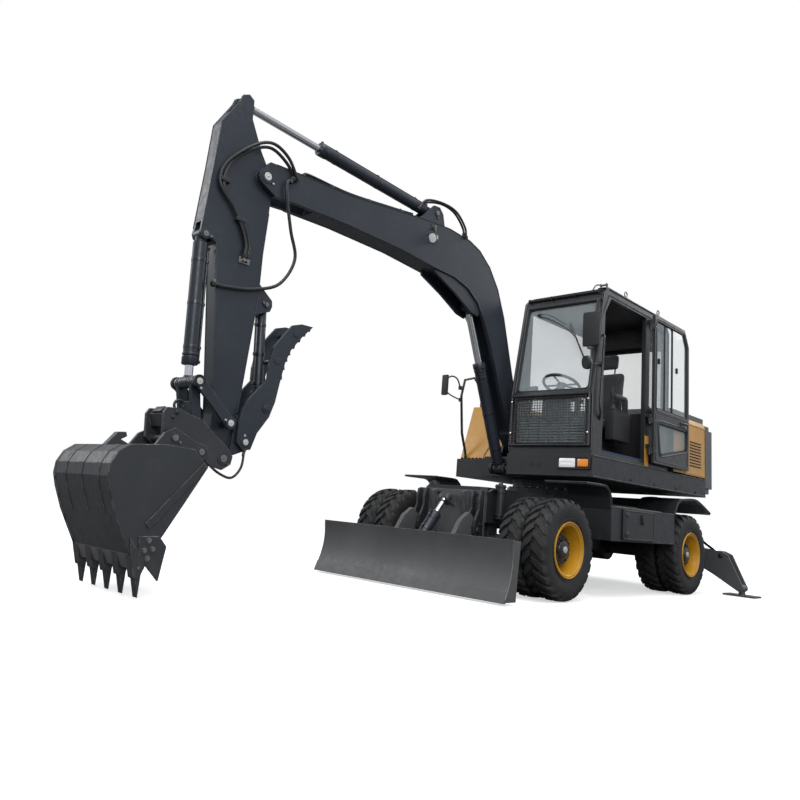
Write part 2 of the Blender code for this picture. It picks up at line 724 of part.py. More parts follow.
def toolbox_door(side):
    """A door that closes over the opening, with its hinge barrel along its front edge."""
    x, y, _ = toolbox_hinge(side)
    low, high = span(side, SIDE_OUTER_X + SEAT_GAP, SIDE_OUTER_X + SEAT_GAP + DOOR_PLATE)
    margin = TOOLBOX_DOOR_MARGIN / 2
    leaf = box(
        (low, y, TOOLBOX_BOTTOM + margin),
        (high, TOOLBOX_DOOR_REAR_Y + margin, TOOLBOX_TOP - margin),
    )
    barrel = rod((x, y, TOOLBOX_BOTTOM + margin), (x, y, TOOLBOX_TOP - margin), DOOR_HINGE_RADIUS)
    return combine(leaf, [barrel])


def blade_bracket():
    """A ribbed plate on the chassis front, with lugs for the blade's arms and cylinder."""
    rear = FRAME_FRONT_Y - SEAT_GAP
    front = rear - BRACKET_PLATE
    wide = BRACKET_HALF_WIDTH
    shape = box((-wide, front, BRACKET_BOTTOM), (wide, rear, BRACKET_TOP))
    joined = []
    y, z = BLADE_PIVOT[1], BLADE_PIVOT[2]
    lug = [
        (front + OVERRUN, z + BLADE_LUG_RADIUS * 2),
        *arc((y, z), BLADE_LUG_RADIUS, 110, 250, 6),
        (front + OVERRUN, z - BLADE_LUG_RADIUS),
    ]
    for side in (-1, 1):
        gap = BLADE_ARM_WIDTH / 2 + CLEAR / 2
        for inner in (BLADE_ARM_X - gap - BLADE_LUG_WIDTH, BLADE_ARM_X + gap):
            low, high = span(side, inner, inner + BLADE_LUG_WIDTH)
            joined.append(plate(lug, low, high))
        low, high = span(side, BLADE_ARM_X - gap - BLADE_LUG_WIDTH, BLADE_ARM_X + gap + BLADE_LUG_WIDTH)
        joined.append(rod((low, y, z), (high, y, z), BLADE_PIN_RADIUS))
        rib_low, rib_high = span(side, BLADE_ARM_X / 2, BLADE_ARM_X / 2 + BRACKET_PLATE)
        rib_front = front - BRACKET_PLATE * 3
        rib = [(front + OVERRUN, BRACKET_TOP), (rib_front, BRACKET_TOP - BRACKET_PLATE), (front + OVERRUN, z)]
        joined.append(plate(rib, rib_low, rib_high))
    x, y, z = BLADE_CYLINDER_TOP
    ear_radius = BLADE_CYLINDER_PIN + EYE_RING
    ear = [
        (front + OVERRUN, z + ear_radius),
        *arc((y, z), ear_radius, 90, 270, 6),
        (front + OVERRUN, z - ear_radius * 2),
    ]
    gap = CYLINDER_EYE_HALF_WIDTH + CLEAR / 2
    for side in (-1, 1):
        low, high = span(side, gap, gap + CYLINDER_EAR_WIDTH)
        joined.append(plate(ear, low, high))
    return combine(shape, joined)


# The blade arm from the pivot to the blade: shares of the line from the pivot to the blade's middle height
blade_arm_shares = [
    (0.81, 0.20), (0.55, 0.13), (0.25, 0.30), (0.02, 0.32), (-0.09, 0.10),
    (-0.08, -0.08), (0.03, -0.10), (0.45, -0.16), (1.01, -0.10),
]
BLADE_HOLLOW_SHARE = 0.45


def blade():
    """A hollow-faced blade with end plates, two arms and the lower ears of its cylinder."""
    top, bottom = Vector(BLADE_TOP), Vector(BLADE_BOTTOM)
    middle = bottom.lerp(top, BLADE_HOLLOW_SHARE) + Vector((BLADE_HOLLOW, 0))
    face = []
    for i in range(7):
        t = i / 6
        straight = bottom.lerp(top, t)
        bow = (middle - bottom.lerp(top, BLADE_HOLLOW_SHARE)) * 4 * t * (1 - t)
        face.append((straight.x + bow.x, straight.y + bow.y))
    wide = BLADE_HALF_WIDTH
    shape = plate(thick_line(face, -BLADE_PLATE), -wide, wide)
    joined = []
    depth = BLADE_PLATE * 6
    set_back = BLADE_PLATE / 2
    end = [
        (BLADE_BOTTOM[0] + set_back, BLADE_BOTTOM[1] + set_back),
        (BLADE_TOP[0] + set_back, BLADE_TOP[1] - set_back),
        (BLADE_TOP[0] + depth, BLADE_TOP[1] - set_back),
        (BLADE_BOTTOM[0] + depth * 1.6, BLADE_BOTTOM[1] + set_back),
    ]
    y, z = BLADE_PIVOT[1], BLADE_PIVOT[2]
    aim = (BLADE_BOTTOM[0] + BLADE_HOLLOW + BLADE_PLATE, (BLADE_TOP[1] + BLADE_BOTTOM[1]) / 2)
    arm = framed(blade_arm_shares, (y, z), aim)
    holes = []
    for side in (-1, 1):
        joined.append(plate(end, *span(side, wide - BLADE_PLATE, wide + SEAT_GAP)))
        low, high = span(side, BLADE_ARM_X - BLADE_ARM_WIDTH / 2, BLADE_ARM_X + BLADE_ARM_WIDTH / 2)
        joined.append(plate(arm, low, high))
        holes.append(bore((low - OVERRUN, y, z), (high + OVERRUN, y, z), BLADE_PIN_RADIUS))
    x, y, z = BLADE_CYLINDER_BOTTOM
    ear_radius = BLADE_CYLINDER_PIN + EYE_RING
    front = face[3][0] + BLADE_PLATE / 2
    ear = [(front, z - ear_radius * 2), *arc((y, z), ear_radius, -70, 80, 6), (front, z + ear_radius)]
    gap = CYLINDER_EYE_HALF_WIDTH + CLEAR / 2
    for side in (-1, 1):
        joined.append(plate(ear, *span(side, gap, gap + CYLINDER_EAR_WIDTH)))
    pin_half = gap + CYLINDER_EAR_WIDTH + PIN_HEAD
    joined.append(rod((-pin_half, y, z), (pin_half, y, z), BLADE_CYLINDER_PIN))
    return cut(combine(shape, joined), holes)


# The outrigger leg's plate: shares of the line from the hinge to the elbow, positive below it
leg_shares = [
    (-0.075, 0.0), (-0.05, -0.06), (0.0, -0.085), (0.30, -0.13), (0.69, -0.095),
    (0.92, -0.075), (1.02, -0.03), (1.06, 0.06),
]
leg_under_shares = [(0.65, 0.20), (0.05, 0.085), (-0.05, 0.06)]
leg_web_shares = [(1.13, 0.43), (0.65, 0.185), (0.04, 0.065)]


def outrigger_leg(side):
    """Two plates with a web along their lower edge; the cylinder works between them."""
    upper = framed([(s, t) for s, t in leg_shares], OUTRIGGER_HINGE, OUTRIGGER_ELBOW)
    under = framed(leg_under_shares, OUTRIGGER_HINGE, OUTRIGGER_ELBOW)
    toe = arc(OUTRIGGER_FOOT_PIN, OUTRIGGER_PIN_RADIUS + EYE_RING, 40, -120, 6)
    outline = [(side * x, z) for x, z in [*upper, *toe, *under]]
    front, rear = OUTRIGGER_LEG_FRONT_Y, OUTRIGGER_LEG_REAR_Y
    thick = OUTRIGGER_LEG_PLATE
    shape = plate(outline, front, front + thick, "Y")
    web_line = framed(leg_web_shares, OUTRIGGER_HINGE, OUTRIGGER_ELBOW)
    web_outline = [(side * x, z) for x, z in thick_line(web_line, thick)]
    web = plate(web_outline, front + thick / 2, rear - thick / 2, "Y")
    joined = [plate(outline, rear - thick, rear, "Y"), web]
    x, z = OUTRIGGER_FOOT_PIN
    joined.append(rod((side * x, front, z), (side * x, rear, z), OUTRIGGER_PIN_RADIUS))
    x, z = OUTRIGGER_HINGE
    tube_radius = OUTRIGGER_PIN_RADIUS + EYE_RING
    joined.append(rod((side * x, front, z), (side * x, rear, z), tube_radius))
    hole = bore((side * x, front - OVERRUN, z), (side * x, rear + OVERRUN, z), OUTRIGGER_PIN_RADIUS)
    return cut(combine(shape, joined), [hole])


def outrigger_foot(side):
    """A ground pad with a hub that turns on the leg's foot pin."""
    x, z = OUTRIGGER_FOOT_PIN
    x = side * x
    middle = (OUTRIGGER_LEG_FRONT_Y + OUTRIGGER_LEG_REAR_Y) / 2
    half = (OUTRIGGER_LEG_REAR_Y - OUTRIGGER_LEG_FRONT_Y) / 2 - OUTRIGGER_LEG_PLATE - CLEAR
    pad = box(
        (x - FOOT_HALF_LENGTH, middle - FOOT_HALF_WIDTH, FOOT_GROUND_GAP),
        (x + FOOT_HALF_LENGTH, middle + FOOT_HALF_WIDTH, FOOT_GROUND_GAP + FOOT_PLATE),
    )
    hub = rod((x, middle - half, z), (x, middle + half, z), OUTRIGGER_PIN_RADIUS + EYE_RING)
    post = box(
        (x - EYE_RING, middle - half, FOOT_GROUND_GAP),
        (x + EYE_RING, middle + half, z),
    )
    hole = bore((x, middle - half - OVERRUN, z), (x, middle + half + OVERRUN, z), OUTRIGGER_PIN_RADIUS)
    return cut(combine(pad, [hub, post]), [hole])


# The undercarriage's nodes

node("chassis_frame", chassis_frame(), chassis, "dark_grey")
node("front_axle", front_axle(), chassis, "iron")
node("rear_axle", rear_axle(), chassis, "iron")
node("transmission", transmission(), chassis, "iron")
node("blade_bracket", blade_bracket(), chassis, "blade_grey")

for word, side in (("left", 1), ("right", -1)):
    node(f"side_box_{word}", side_box(side), chassis, "dark_grey")
    door_body = body(f"toolbox_{word}_body", toolbox_hinge(side), chassis)
    node(f"toolbox_door_{word}", toolbox_door(side), door_body, "dark_grey")
    king_pin = (side * KING_PIN_X, FRONT_AXLE_Y, TYRE_RADIUS)
    steer = body(f"steering_{word}_body", king_pin, chassis)
    node(f"knuckle_{word}", knuckle(side), steer, "iron")
    for place, carrier, y in (("front", steer, FRONT_AXLE_Y), ("rear", chassis, REAR_AXLE_Y)):
        wheel_pivot = (side * WHEEL_INNER_X, y, TYRE_RADIUS)
        wheel = body(f"wheel_{place}_{word}_body", wheel_pivot, carrier)
        node(f"tyre_{place}_{word}", tyre(side, y), wheel, "rubber")
        node(f"rim_{place}_{word}", rim(side, y), wheel, "yellow")

blade_body = body("blade_body", BLADE_PIVOT, chassis)
node("blade", blade(), blade_body, "blade_grey")


def add_cylinder(name, owner, pins, radii, closed_length, across=ACROSS_X, eye_halves=CYLINDER_EYE_HALVES):
    """A barrel that turns on the first pin, and a rod that slides in it up to the second.

    The radii are the barrel's, the rod's and the pins', and the eyes' half widths the barrel's and the rod's.
    """
    base, tip = pins
    barrel_radius, rod_radius, pin_radius = radii
    eye_radius = pin_radius + EYE_RING
    barrel_body = body(f"{name}_barrel_body", base, owner)
    reach = closed_length - eye_radius - CLEAR
    shape = cylinder_barrel(barrel_radius, rod_radius, reach, pin_radius, eye_halves[0])
    node(f"{name}_barrel", stand(shape, base, tip, across), barrel_body, "slate")
    rod_body = body(f"{name}_rod_body", tip, barrel_body)
    inside = closed_length - eye_radius - CYLINDER_BOTTOM - CLEAR
    shape = cylinder_rod(rod_radius, inside, pin_radius, eye_halves[1])
    node(f"{name}_rod", stand(shape, tip, base, across), rod_body, "chrome")


BLADE_CLOSED_LENGTH = 0.500
add_cylinder(
    "blade_cylinder",
    blade_body,
    (BLADE_CYLINDER_BOTTOM, BLADE_CYLINDER_TOP),
    (BLADE_CYLINDER_RADIUS, BLADE_ROD_RADIUS, BLADE_CYLINDER_PIN),
    BLADE_CLOSED_LENGTH,
)
OUTRIGGER_CLOSED_LENGTH = 0.590
OUTRIGGER_MIDDLE_Y = (OUTRIGGER_LEG_FRONT_Y + OUTRIGGER_LEG_REAR_Y) / 2


def outrigger_point(side, place):
    return (side * place[0], OUTRIGGER_MIDDLE_Y, place[1])


for word, side in (("left", 1), ("right", -1)):
    leg_body = body(f"outrigger_{word}_body", outrigger_point(side, OUTRIGGER_HINGE), chassis)
    node(f"outrigger_leg_{word}", outrigger_leg(side), leg_body, "dark_grey")
    foot_body = body(f"foot_{word}_body", outrigger_point(side, OUTRIGGER_FOOT_PIN), leg_body)
    node(f"outrigger_foot_{word}", outrigger_foot(side), foot_body, "dark_grey")
    add_cylinder(
        f"outrigger_cylinder_{word}",
        chassis,
        (outrigger_point(side, OUTRIGGER_BASE_PIN), outrigger_point(side, OUTRIGGER_ROD_PIN)),
        (OUTRIGGER_CYLINDER_RADIUS, OUTRIGGER_ROD_RADIUS, OUTRIGGER_PIN_RADIUS),
        OUTRIGGER_CLOSED_LENGTH,
        ACROSS_Y,
    )


# Upper structure

DECK_HALF_WIDTH = 1.060
DECK_BOTTOM = 1.090
DECK_TOP = 1.300
DECK_FRONT_Y = -1.080
DECK_REAR_Y = 1.615
DECK_CAB_SIDE_X = 0.100
DECK_BOOM_FRONT_Y = -0.760
DECK_BOX_X = -0.420
DECK_BOX_FRONT_Y = -0.450
DECK_PLINTH_RADIUS = 0.470
BOOM_X = -0.100
BOOM_FOOT = (-0.620, 1.420)
BOOM_PIN_RADIUS = 0.032
BOOM_HALF_WIDTH = 0.110
BOOM_BRACKET_GAP = 0.006
BOOM_BRACKET_WIDTH = 0.030
BOOM_BRACKET_RADIUS = 0.085
BOOM_BRACKET_REAR_Y = -0.300
BOOM_BASE_PIN = (-0.930, 1.160)
BOOM_CYLINDER_EYE_HALF = 0.056
BOOM_CYLINDER_RADIUS = 0.060
BOOM_BASE_EAR_RADIUS = 0.060
BOOM_CYLINDER_PIN = 0.030

upper = body("upper_body", (0, 0, DECK_BOTTOM), chassis)


def deck_outline():
    """The deck from above: a nose under the cab on the left, set back at the boom and at the right step."""
    return [
        (DECK_CAB_SIDE_X, DECK_FRONT_Y),
        (DECK_HALF_WIDTH, DECK_FRONT_Y),
        (DECK_HALF_WIDTH, DECK_REAR_Y),
        (-DECK_HALF_WIDTH, DECK_REAR_Y),
        (-DECK_HALF_WIDTH, DECK_BOX_FRONT_Y),
        (DECK_BOX_X, DECK_BOX_FRONT_Y),
        (DECK_BOX_X, DECK_BOOM_FRONT_Y),
        (DECK_CAB_SIDE_X, DECK_BOOM_FRONT_Y),
    ]


def upper_frame():
    """The slewing deck with the boom's foot bracket and the boom cylinder's lower ears."""
    shape = plate(deck_outline(), DECK_BOTTOM, DECK_TOP, "Z")
    joined = [
        rod((0, 0, RING_TOP + SEAT_GAP), (0, 0, DECK_BOTTOM + OVERRUN), DECK_PLINTH_RADIUS, ROUND_STEPS),
    ]
    y, z = BOOM_FOOT
    foot = [
        (BOOM_BRACKET_REAR_Y, DECK_TOP - OVERRUN),
        *arc(BOOM_FOOT, BOOM_BRACKET_RADIUS, 40, 180, 6),
        (DECK_BOOM_FRONT_Y + OVERRUN, DECK_TOP - OVERRUN),
    ]
    inner = BOOM_HALF_WIDTH + BOOM_BRACKET_GAP
    outer = inner + BOOM_BRACKET_WIDTH
    for side in (-1, 1):
        low, high = span(side, inner, outer)
        joined.append(plate(foot, BOOM_X + low, BOOM_X + high))
    reach = outer + PIN_HEAD
    joined.append(rod((BOOM_X - reach, y, z), (BOOM_X + reach, y, z), BOOM_PIN_RADIUS))
    y, z = BOOM_BASE_PIN
    ear = [
        (DECK_BOOM_FRONT_Y + OVERRUN, DECK_TOP - OVERRUN),
        *arc(BOOM_BASE_PIN, BOOM_BASE_EAR_RADIUS, 80, 260, 6),
        (DECK_BOOM_FRONT_Y + OVERRUN, DECK_BOTTOM + OVERRUN),
    ]
    inner = BOOM_CYLINDER_RADIUS + CLEAR / 2
    outer = inner + BOOM_BRACKET_WIDTH
    for side in (-1, 1):
        low, high = span(side, inner, outer)
        joined.append(plate(ear, BOOM_X + low, BOOM_X + high))
    reach = outer + PIN_HEAD
    joined.append(rod((BOOM_X - reach, y, z), (BOOM_X + reach, y, z), BOOM_CYLINDER_PIN))
    return combine(shape, joined)


# Cab: an open-framed shell whose walls are pierced for the door and the windows

CAB_INNER_X = 0.105
CAB_OUTER_X = 1.030
CAB_FRONT_Y = -1.060
CAB_REAR_Y = 0.620
CAB_BOTTOM = DECK_TOP + SEAT_GAP
CAB_TOP = 3.000
CAB_WALL = 0.045
CAB_ROOF_WALL = 0.060
# The cab from its left side: shares of its length from the front and of its height
cab_shares = [(0, 0), (0, 0.353), (0.107, 0.959), (0.155, 1), (0.929, 1), (1, 0.912), (1, 0)]
CAB_DOOR_FRONT_Y = -0.860
CAB_DOOR_REAR_Y = 0.045
CAB_DOOR_BOTTOM = 1.360
CAB_DOOR_TOP = 2.900
CAB_QUARTER_FRONT_Y = 0.140
CAB_QUARTER_REAR_Y = 0.520
CAB_WINDOW_SILL = 1.930
CAB_WINDOW_TOP = 2.850
CAB_SIDE_SILL = 1.750
CAB_SIDE_FRONT_Y = -0.800
CAB_PILLAR = 0.058
CAB_LOWER_SILL = 1.400
CAB_LOWER_TOP = 1.860


DOOR_HINGE_X = 1.073
DOOR_HINGE_Y = 0.070
DOOR_LEAF_THICKNESS = 0.030
DOOR_LEAF_GAP = 0.006
DOOR_LEAF_START = 0.030
DOOR_LENGTH = 0.900
DOOR_BOTTOM = 1.345
DOOR_TOP = 2.950
DOOR_RIM = 0.060
DOOR_SILL_SHARE = 0.36
DOOR_LOWER_TOP_SHARE = 0.27
DOOR_LOWER_BOTTOM_SHARE = 0.06
DOOR_HINGE_TUBE = 0.018
DOOR_HINGE_ZS = (1.440, 1.760, 2.780)


def cab_outline(wall, roof_wall, floor):
    """The cab's side outline, set in by its walls; the raked front keeps its own slope."""
    low = (CAB_FRONT_Y + wall, CAB_BOTTOM + floor)
    high = (CAB_REAR_Y - wall, CAB_TOP - roof_wall)
    return scaled(cab_shares, low, high)


def cab_shell():
    """The hollow cab with openings for the door, windscreen, lower front, sides and rear."""
    shape = plate(cab_outline(0, 0, 0), CAB_INNER_X, CAB_OUTER_X)
    hollow = plate(cab_outline(CAB_WALL, CAB_ROOF_WALL, CAB_WALL), CAB_INNER_X + CAB_WALL, CAB_OUTER_X - CAB_WALL)
    left = CAB_OUTER_X - CAB_WALL - OVERRUN, CAB_OUTER_X + OVERRUN
    right = CAB_INNER_X - OVERRUN, CAB_INNER_X + CAB_WALL + OVERRUN
    front = CAB_FRONT_Y - OVERRUN
    low_x, high_x = CAB_INNER_X + CAB_PILLAR, CAB_OUTER_X - CAB_PILLAR
    door = [
        (CAB_DOOR_FRONT_Y, CAB_DOOR_BOTTOM),
        (CAB_DOOR_REAR_Y, CAB_DOOR_BOTTOM),
        (CAB_DOOR_REAR_Y, CAB_DOOR_TOP),
        (CAB_DOOR_FRONT_Y + CAB_PILLAR * 2, CAB_DOOR_TOP),
        (CAB_DOOR_FRONT_Y, CAB_DOOR_TOP - CAB_PILLAR * 3),
    ]
    openings = [
        hollow,
        plate(door, *left),
        box((left[0], CAB_QUARTER_FRONT_Y, CAB_WINDOW_SILL), (left[1], CAB_QUARTER_REAR_Y, CAB_WINDOW_TOP)),
        box((right[0], CAB_SIDE_FRONT_Y, CAB_SIDE_SILL), (right[1], CAB_QUARTER_REAR_Y, CAB_WINDOW_TOP)),
        box((low_x, front, CAB_WINDOW_SILL), (high_x, CAB_DOOR_FRONT_Y + CAB_PILLAR * 2, CAB_DOOR_TOP - CAB_WALL)),
        box((low_x, front, CAB_LOWER_SILL), (high_x, CAB_FRONT_Y + CAB_WALL + OVERRUN, CAB_LOWER_TOP)),
        box(
            (low_x, CAB_REAR_Y - CAB_WALL * 2 - OVERRUN, CAB_WINDOW_SILL),
            (high_x, CAB_REAR_Y + OVERRUN, CAB_WINDOW_TOP - CAB_PILLAR * 3),
        ),
    ]
    shape = cut(shape, openings)
    lugs = []
    for z in DOOR_HINGE_ZS:
        low = (CAB_OUTER_X - OVERRUN, DOOR_HINGE_Y - DOOR_HINGE_TUBE, z + DOOR_RIM + SEAT_GAP)
        high = (DOOR_HINGE_X + DOOR_HINGE_TUBE, DOOR_HINGE_Y + DOOR_HINGE_TUBE, z + DOOR_RIM * 1.6)
        lugs.append(box(low, high))
    return combine(shape, lugs)


def cab_door():
    """The door, standing open: turned back flat along the cab's side, its front edge towards the rear."""
    y = DOOR_HINGE_Y + DOOR_LEAF_START
    low, high = DOOR_HINGE_X + DOOR_LEAF_GAP, DOOR_HINGE_X + DOOR_LEAF_GAP + DOOR_LEAF_THICKNESS
    height = DOOR_TOP - DOOR_BOTTOM
    end = y + DOOR_LENGTH
    outline = [
        (y, DOOR_BOTTOM),
        (end, DOOR_BOTTOM),
        (end, DOOR_TOP - DOOR_RIM * 3),
        (end - DOOR_RIM * 2, DOOR_TOP),
        (y, DOOR_TOP),
    ]
    sill = DOOR_BOTTOM + height * DOOR_SILL_SHARE
    window = [
        (y + DOOR_RIM, sill),
        (end - DOOR_RIM, sill),
        (end - DOOR_RIM, DOOR_TOP - DOOR_RIM * 3.3),
        (end - DOOR_RIM * 2.3, DOOR_TOP - DOOR_RIM),
        (y + DOOR_RIM, DOOR_TOP - DOOR_RIM),
    ]
    low_z = DOOR_BOTTOM + height * DOOR_LOWER_BOTTOM_SHARE
    high_z = DOOR_BOTTOM + height * DOOR_LOWER_TOP_SHARE
    lower = [
        (y + DOOR_RIM * 3, low_z),
        (end - DOOR_RIM, low_z + DOOR_RIM * 2),
        (end - DOOR_RIM, high_z),
        (y + DOOR_RIM * 2, high_z),
    ]
    shape = plate(outline, low, high)
    shape = cut(shape, [plate(window, low - OVERRUN, high + OVERRUN), plate(lower, low - OVERRUN, high + OVERRUN)])
    joined = []
    for z in DOOR_HINGE_ZS:
        axis = (DOOR_HINGE_X, DOOR_HINGE_Y)
        joined.append(rod((*axis, z), (*axis, z + DOOR_RIM), DOOR_HINGE_TUBE))
        joined.append(box((DOOR_HINGE_X, DOOR_HINGE_Y, z), (high - DOOR_HINGE_TUBE / 2, y + DOOR_RIM / 2, z + DOOR_RIM)))
    return combine(shape, joined)


SEAT_X = 0.560
SEAT_Y = -0.150
SEAT_HALF_WIDTH = 0.240
SEAT_HALF_DEPTH = 0.240
SEAT_BOX_HEIGHT = 0.300
SEAT_CUSHION = 0.120
SEAT_BACK_HEIGHT = 0.640
SEAT_BACK_THICKNESS = 0.120
SEAT_BACK_RAKE = 0.090
SEAT_HEADREST_HALF_WIDTH = 0.120
SEAT_HEADREST_HEIGHT = 0.180
SEAT_CONSOLE_WIDTH = 0.100
SEAT_CONSOLE_HEIGHT = 0.240
LEVER_RADIUS = 0.014
LEVER_HEIGHT = 0.190


def seat():
    """Suspension box, cushion, raked back with headrest, and the two side consoles with their levers."""
    floor = CAB_BOTTOM + CAB_WALL + SEAT_GAP
    x, y = SEAT_X, SEAT_Y
    wide, deep = SEAT_HALF_WIDTH, SEAT_HALF_DEPTH
    top = floor + SEAT_BOX_HEIGHT
    cushion_top = top + SEAT_CUSHION
    shape = box((x - wide * 0.8, y - deep * 0.7, floor), (x + wide * 0.8, y + deep * 0.8, top + OVERRUN))
    cushion = box((x - wide, y - deep, top), (x + wide, y + deep, cushion_top))
    back_y = y + deep - SEAT_BACK_THICKNESS
    back = [
        (back_y, cushion_top - SEAT_CUSHION / 2),
        (back_y + SEAT_BACK_THICKNESS, cushion_top - SEAT_CUSHION / 2),
        (back_y + SEAT_BACK_THICKNESS + SEAT_BACK_RAKE, cushion_top + SEAT_BACK_HEIGHT),
        (back_y + SEAT_BACK_THICKNESS / 2 + SEAT_BACK_RAKE, cushion_top + SEAT_BACK_HEIGHT),
    ]
    rest_bottom = cushion_top + SEAT_BACK_HEIGHT - OVERRUN
    rest_y = back_y + SEAT_BACK_THICKNESS / 2 + SEAT_BACK_RAKE
    rest = box(
        (x - SEAT_HEADREST_HALF_WIDTH, rest_y + OVERRUN / 2, rest_bottom),
        (x + SEAT_HEADREST_HALF_WIDTH, rest_y + SEAT_BACK_THICKNESS / 2 - OVERRUN / 4, rest_bottom + SEAT_HEADREST_HEIGHT),
    )
    joined = [cushion, plate(back, x - wide * 0.9, x + wide * 0.9), rest]
    for side in (-1, 1):
        inner = x + side * (wide - OVERRUN)
        outer = x + side * (wide + SEAT_CONSOLE_WIDTH)
        low, high = min(inner, outer), max(inner, outer)
        console_top = top + SEAT_CONSOLE_HEIGHT
        joined.append(box((low, y - deep * 0.9, top - SEAT_CUSHION), (high, y + deep * 0.6, console_top)))
        lever = ((low + high) / 2, y - deep * 0.6)
        joined.append(rod((*lever, console_top - OVERRUN), (*lever, console_top + LEVER_HEIGHT), LEVER_RADIUS))
    return combine(shape, joined)


DASH_X = 0.560
DASH_Y = -0.870
DASH_HALF_WIDTH = 0.130
DASH_DEPTH = 0.110
DASH_HEIGHT = 0.520
WHEEL_RADIUS = 0.185
WHEEL_TUBE_RADIUS = 0.014
WHEEL_TILT_SHARE = 0.45
WHEEL_SPOKE = 0.020


def cab_console():
    """The front console with the steering column and wheel."""
    floor = CAB_BOTTOM + CAB_WALL + SEAT_GAP
    top = floor + DASH_HEIGHT
    shape = box((DASH_X - DASH_HALF_WIDTH, DASH_Y - DASH_DEPTH, floor), (DASH_X + DASH_HALF_WIDTH, DASH_Y, top))
    lean = Vector((0, WHEEL_TILT_SHARE, 1)).normalized()
    start = Vector((DASH_X, DASH_Y - DASH_DEPTH / 2, top - OVERRUN))
    hub = start + lean * WHEEL_RADIUS
    column = rod(start, hub, WHEEL_TUBE_RADIUS * 1.5)
    half = WHEEL_TUBE_RADIUS
    ring = turned([(-half, WHEEL_RADIUS), (0, WHEEL_RADIUS + half), (half, WHEEL_RADIUS), (0, WHEEL_RADIUS - half)], hub, lean)
    spoke = rod(hub - Vector((WHEEL_RADIUS, 0, 0)), hub + Vector((WHEEL_RADIUS, 0, 0)), WHEEL_SPOKE / 2)
    return combine(shape, [column, ring, spoke])


# Counterweight, engine bay and covers

TAIL_RADIUS = 2.100
WEIGHT_FRONT_Y = DECK_REAR_Y + SEAT_GAP
WEIGHT_BOTTOM = 1.140
WEIGHT_TOP = 1.950
WEIGHT_CHAMFER = 0.060
HOOD_FRONT_Y = 0.720
HOOD_REAR_Y = 1.640
HOOD_HALF_WIDTH = 1.020
HOOD_BOTTOM = 1.965
HOOD_TOP = 2.025
BAY_WALL = 0.022
BAY_FRONT_Y = 0.690
BAY_LAP_SHARE = 0.8
ENGINE_DOOR_FRONT_Y = 1.020
ENGINE_DOOR_REAR_Y = 1.595
ENGINE_DOOR_BOTTOM = 1.315
ENGINE_DOOR_TOP = 1.955
ENGINE_DOOR_THICKNESS = 0.030
ENGINE_DOOR_BEND = 0.050
ENGINE_HALF_WIDTH = 0.600
ENGINE_FRONT_Y = 0.900
ENGINE_REAR_Y = 1.450
ENGINE_HEIGHT = 0.500
TANK_OUTER_X = -1.030
TANK_INNER_X = -0.420
TANK_FRONT_Y = -0.420
TANK_REAR_Y = 0.680
TANK_TOP = 1.950
TANK_SLOPE_SHARE = 0.175
TANK_FRONT_HEIGHT_SHARE = 0.02
RAIL_X = -0.950
RAIL_RADIUS = 0.016


def counterweight():
    """A block behind the deck whose rear face follows the tail's swing, with chamfered edges above and below."""
    def outline(inset):
        radius = TAIL_RADIUS - inset
        turn = math.degrees(math.asin((DECK_HALF_WIDTH - inset) / radius))
        return [
            (DECK_HALF_WIDTH - inset, WEIGHT_FRONT_Y),
            *arc((0, 0), radius, 90 - turn, 90 + turn, 10),
            (inset - DECK_HALF_WIDTH, WEIGHT_FRONT_Y),
        ]
    step = WEIGHT_CHAMFER / 2
    low = plate(outline(step), WEIGHT_BOTTOM, WEIGHT_TOP, "Z")
    middle = plate(outline(0), WEIGHT_BOTTOM + WEIGHT_CHAMFER, WEIGHT_TOP - WEIGHT_CHAMFER, "Z")
    return combine(low, [middle])


def engine_bay():
    """The bulkhead and posts that close the engine bay's corners and carry the hood and the doors."""
    floor = DECK_TOP - OVERRUN
    top = HOOD_BOTTOM - SEAT_GAP
    inner = DECK_HALF_WIDTH - ENGINE_DOOR_THICKNESS - ENGINE_DOOR_BEND / 3 - CLEAR
    post = BAY_WALL * 2
    reach = DECK_HALF_WIDTH - ENGINE_DOOR_THICKNESS * BAY_LAP_SHARE
    shapes = [box((-reach, BAY_FRONT_Y, floor), (reach, BAY_FRONT_Y + BAY_WALL, top))]
    for side in (-1, 1):
        low, high = span(side, inner - post, inner)
        shapes.append(box((low, DECK_REAR_Y - post, floor), (high, DECK_REAR_Y, top)))
        panel = plate(engine_side_section(side), BAY_FRONT_Y, ENGINE_DOOR_FRONT_Y - CLEAR, "Y")
        shapes.append(panel)
        low, high = span(side, inner - OVERRUN, DECK_HALF_WIDTH)
        for z in (ENGINE_DOOR_BOTTOM + post, ENGINE_DOOR_TOP - post * 3):
            shapes.append(box((low, ENGINE_DOOR_REAR_Y + SEAT_GAP, z), (high, DECK_REAR_Y, z + post)))
    return shapes


def engine_hood():
    """The shallow lid over the engine bay, open below, with two hinge barrels at its front edge."""
    outer = box((-HOOD_HALF_WIDTH, HOOD_FRONT_Y, HOOD_BOTTOM), (HOOD_HALF_WIDTH, HOOD_REAR_Y, HOOD_TOP))
    inner = box(
        (BAY_WALL - HOOD_HALF_WIDTH, HOOD_FRONT_Y + BAY_WALL, HOOD_BOTTOM - OVERRUN),
        (HOOD_HALF_WIDTH - BAY_WALL, HOOD_REAR_Y - BAY_WALL, HOOD_TOP - BAY_WALL),
    )
    return cut(outer, [inner])


def engine_door_hinge(side):
    """The hinge axis at the door's rear edge, level with the outside."""
    return (side * (DECK_HALF_WIDTH + PIN_HEAD), ENGINE_DOOR_REAR_Y, ENGINE_DOOR_BOTTOM)


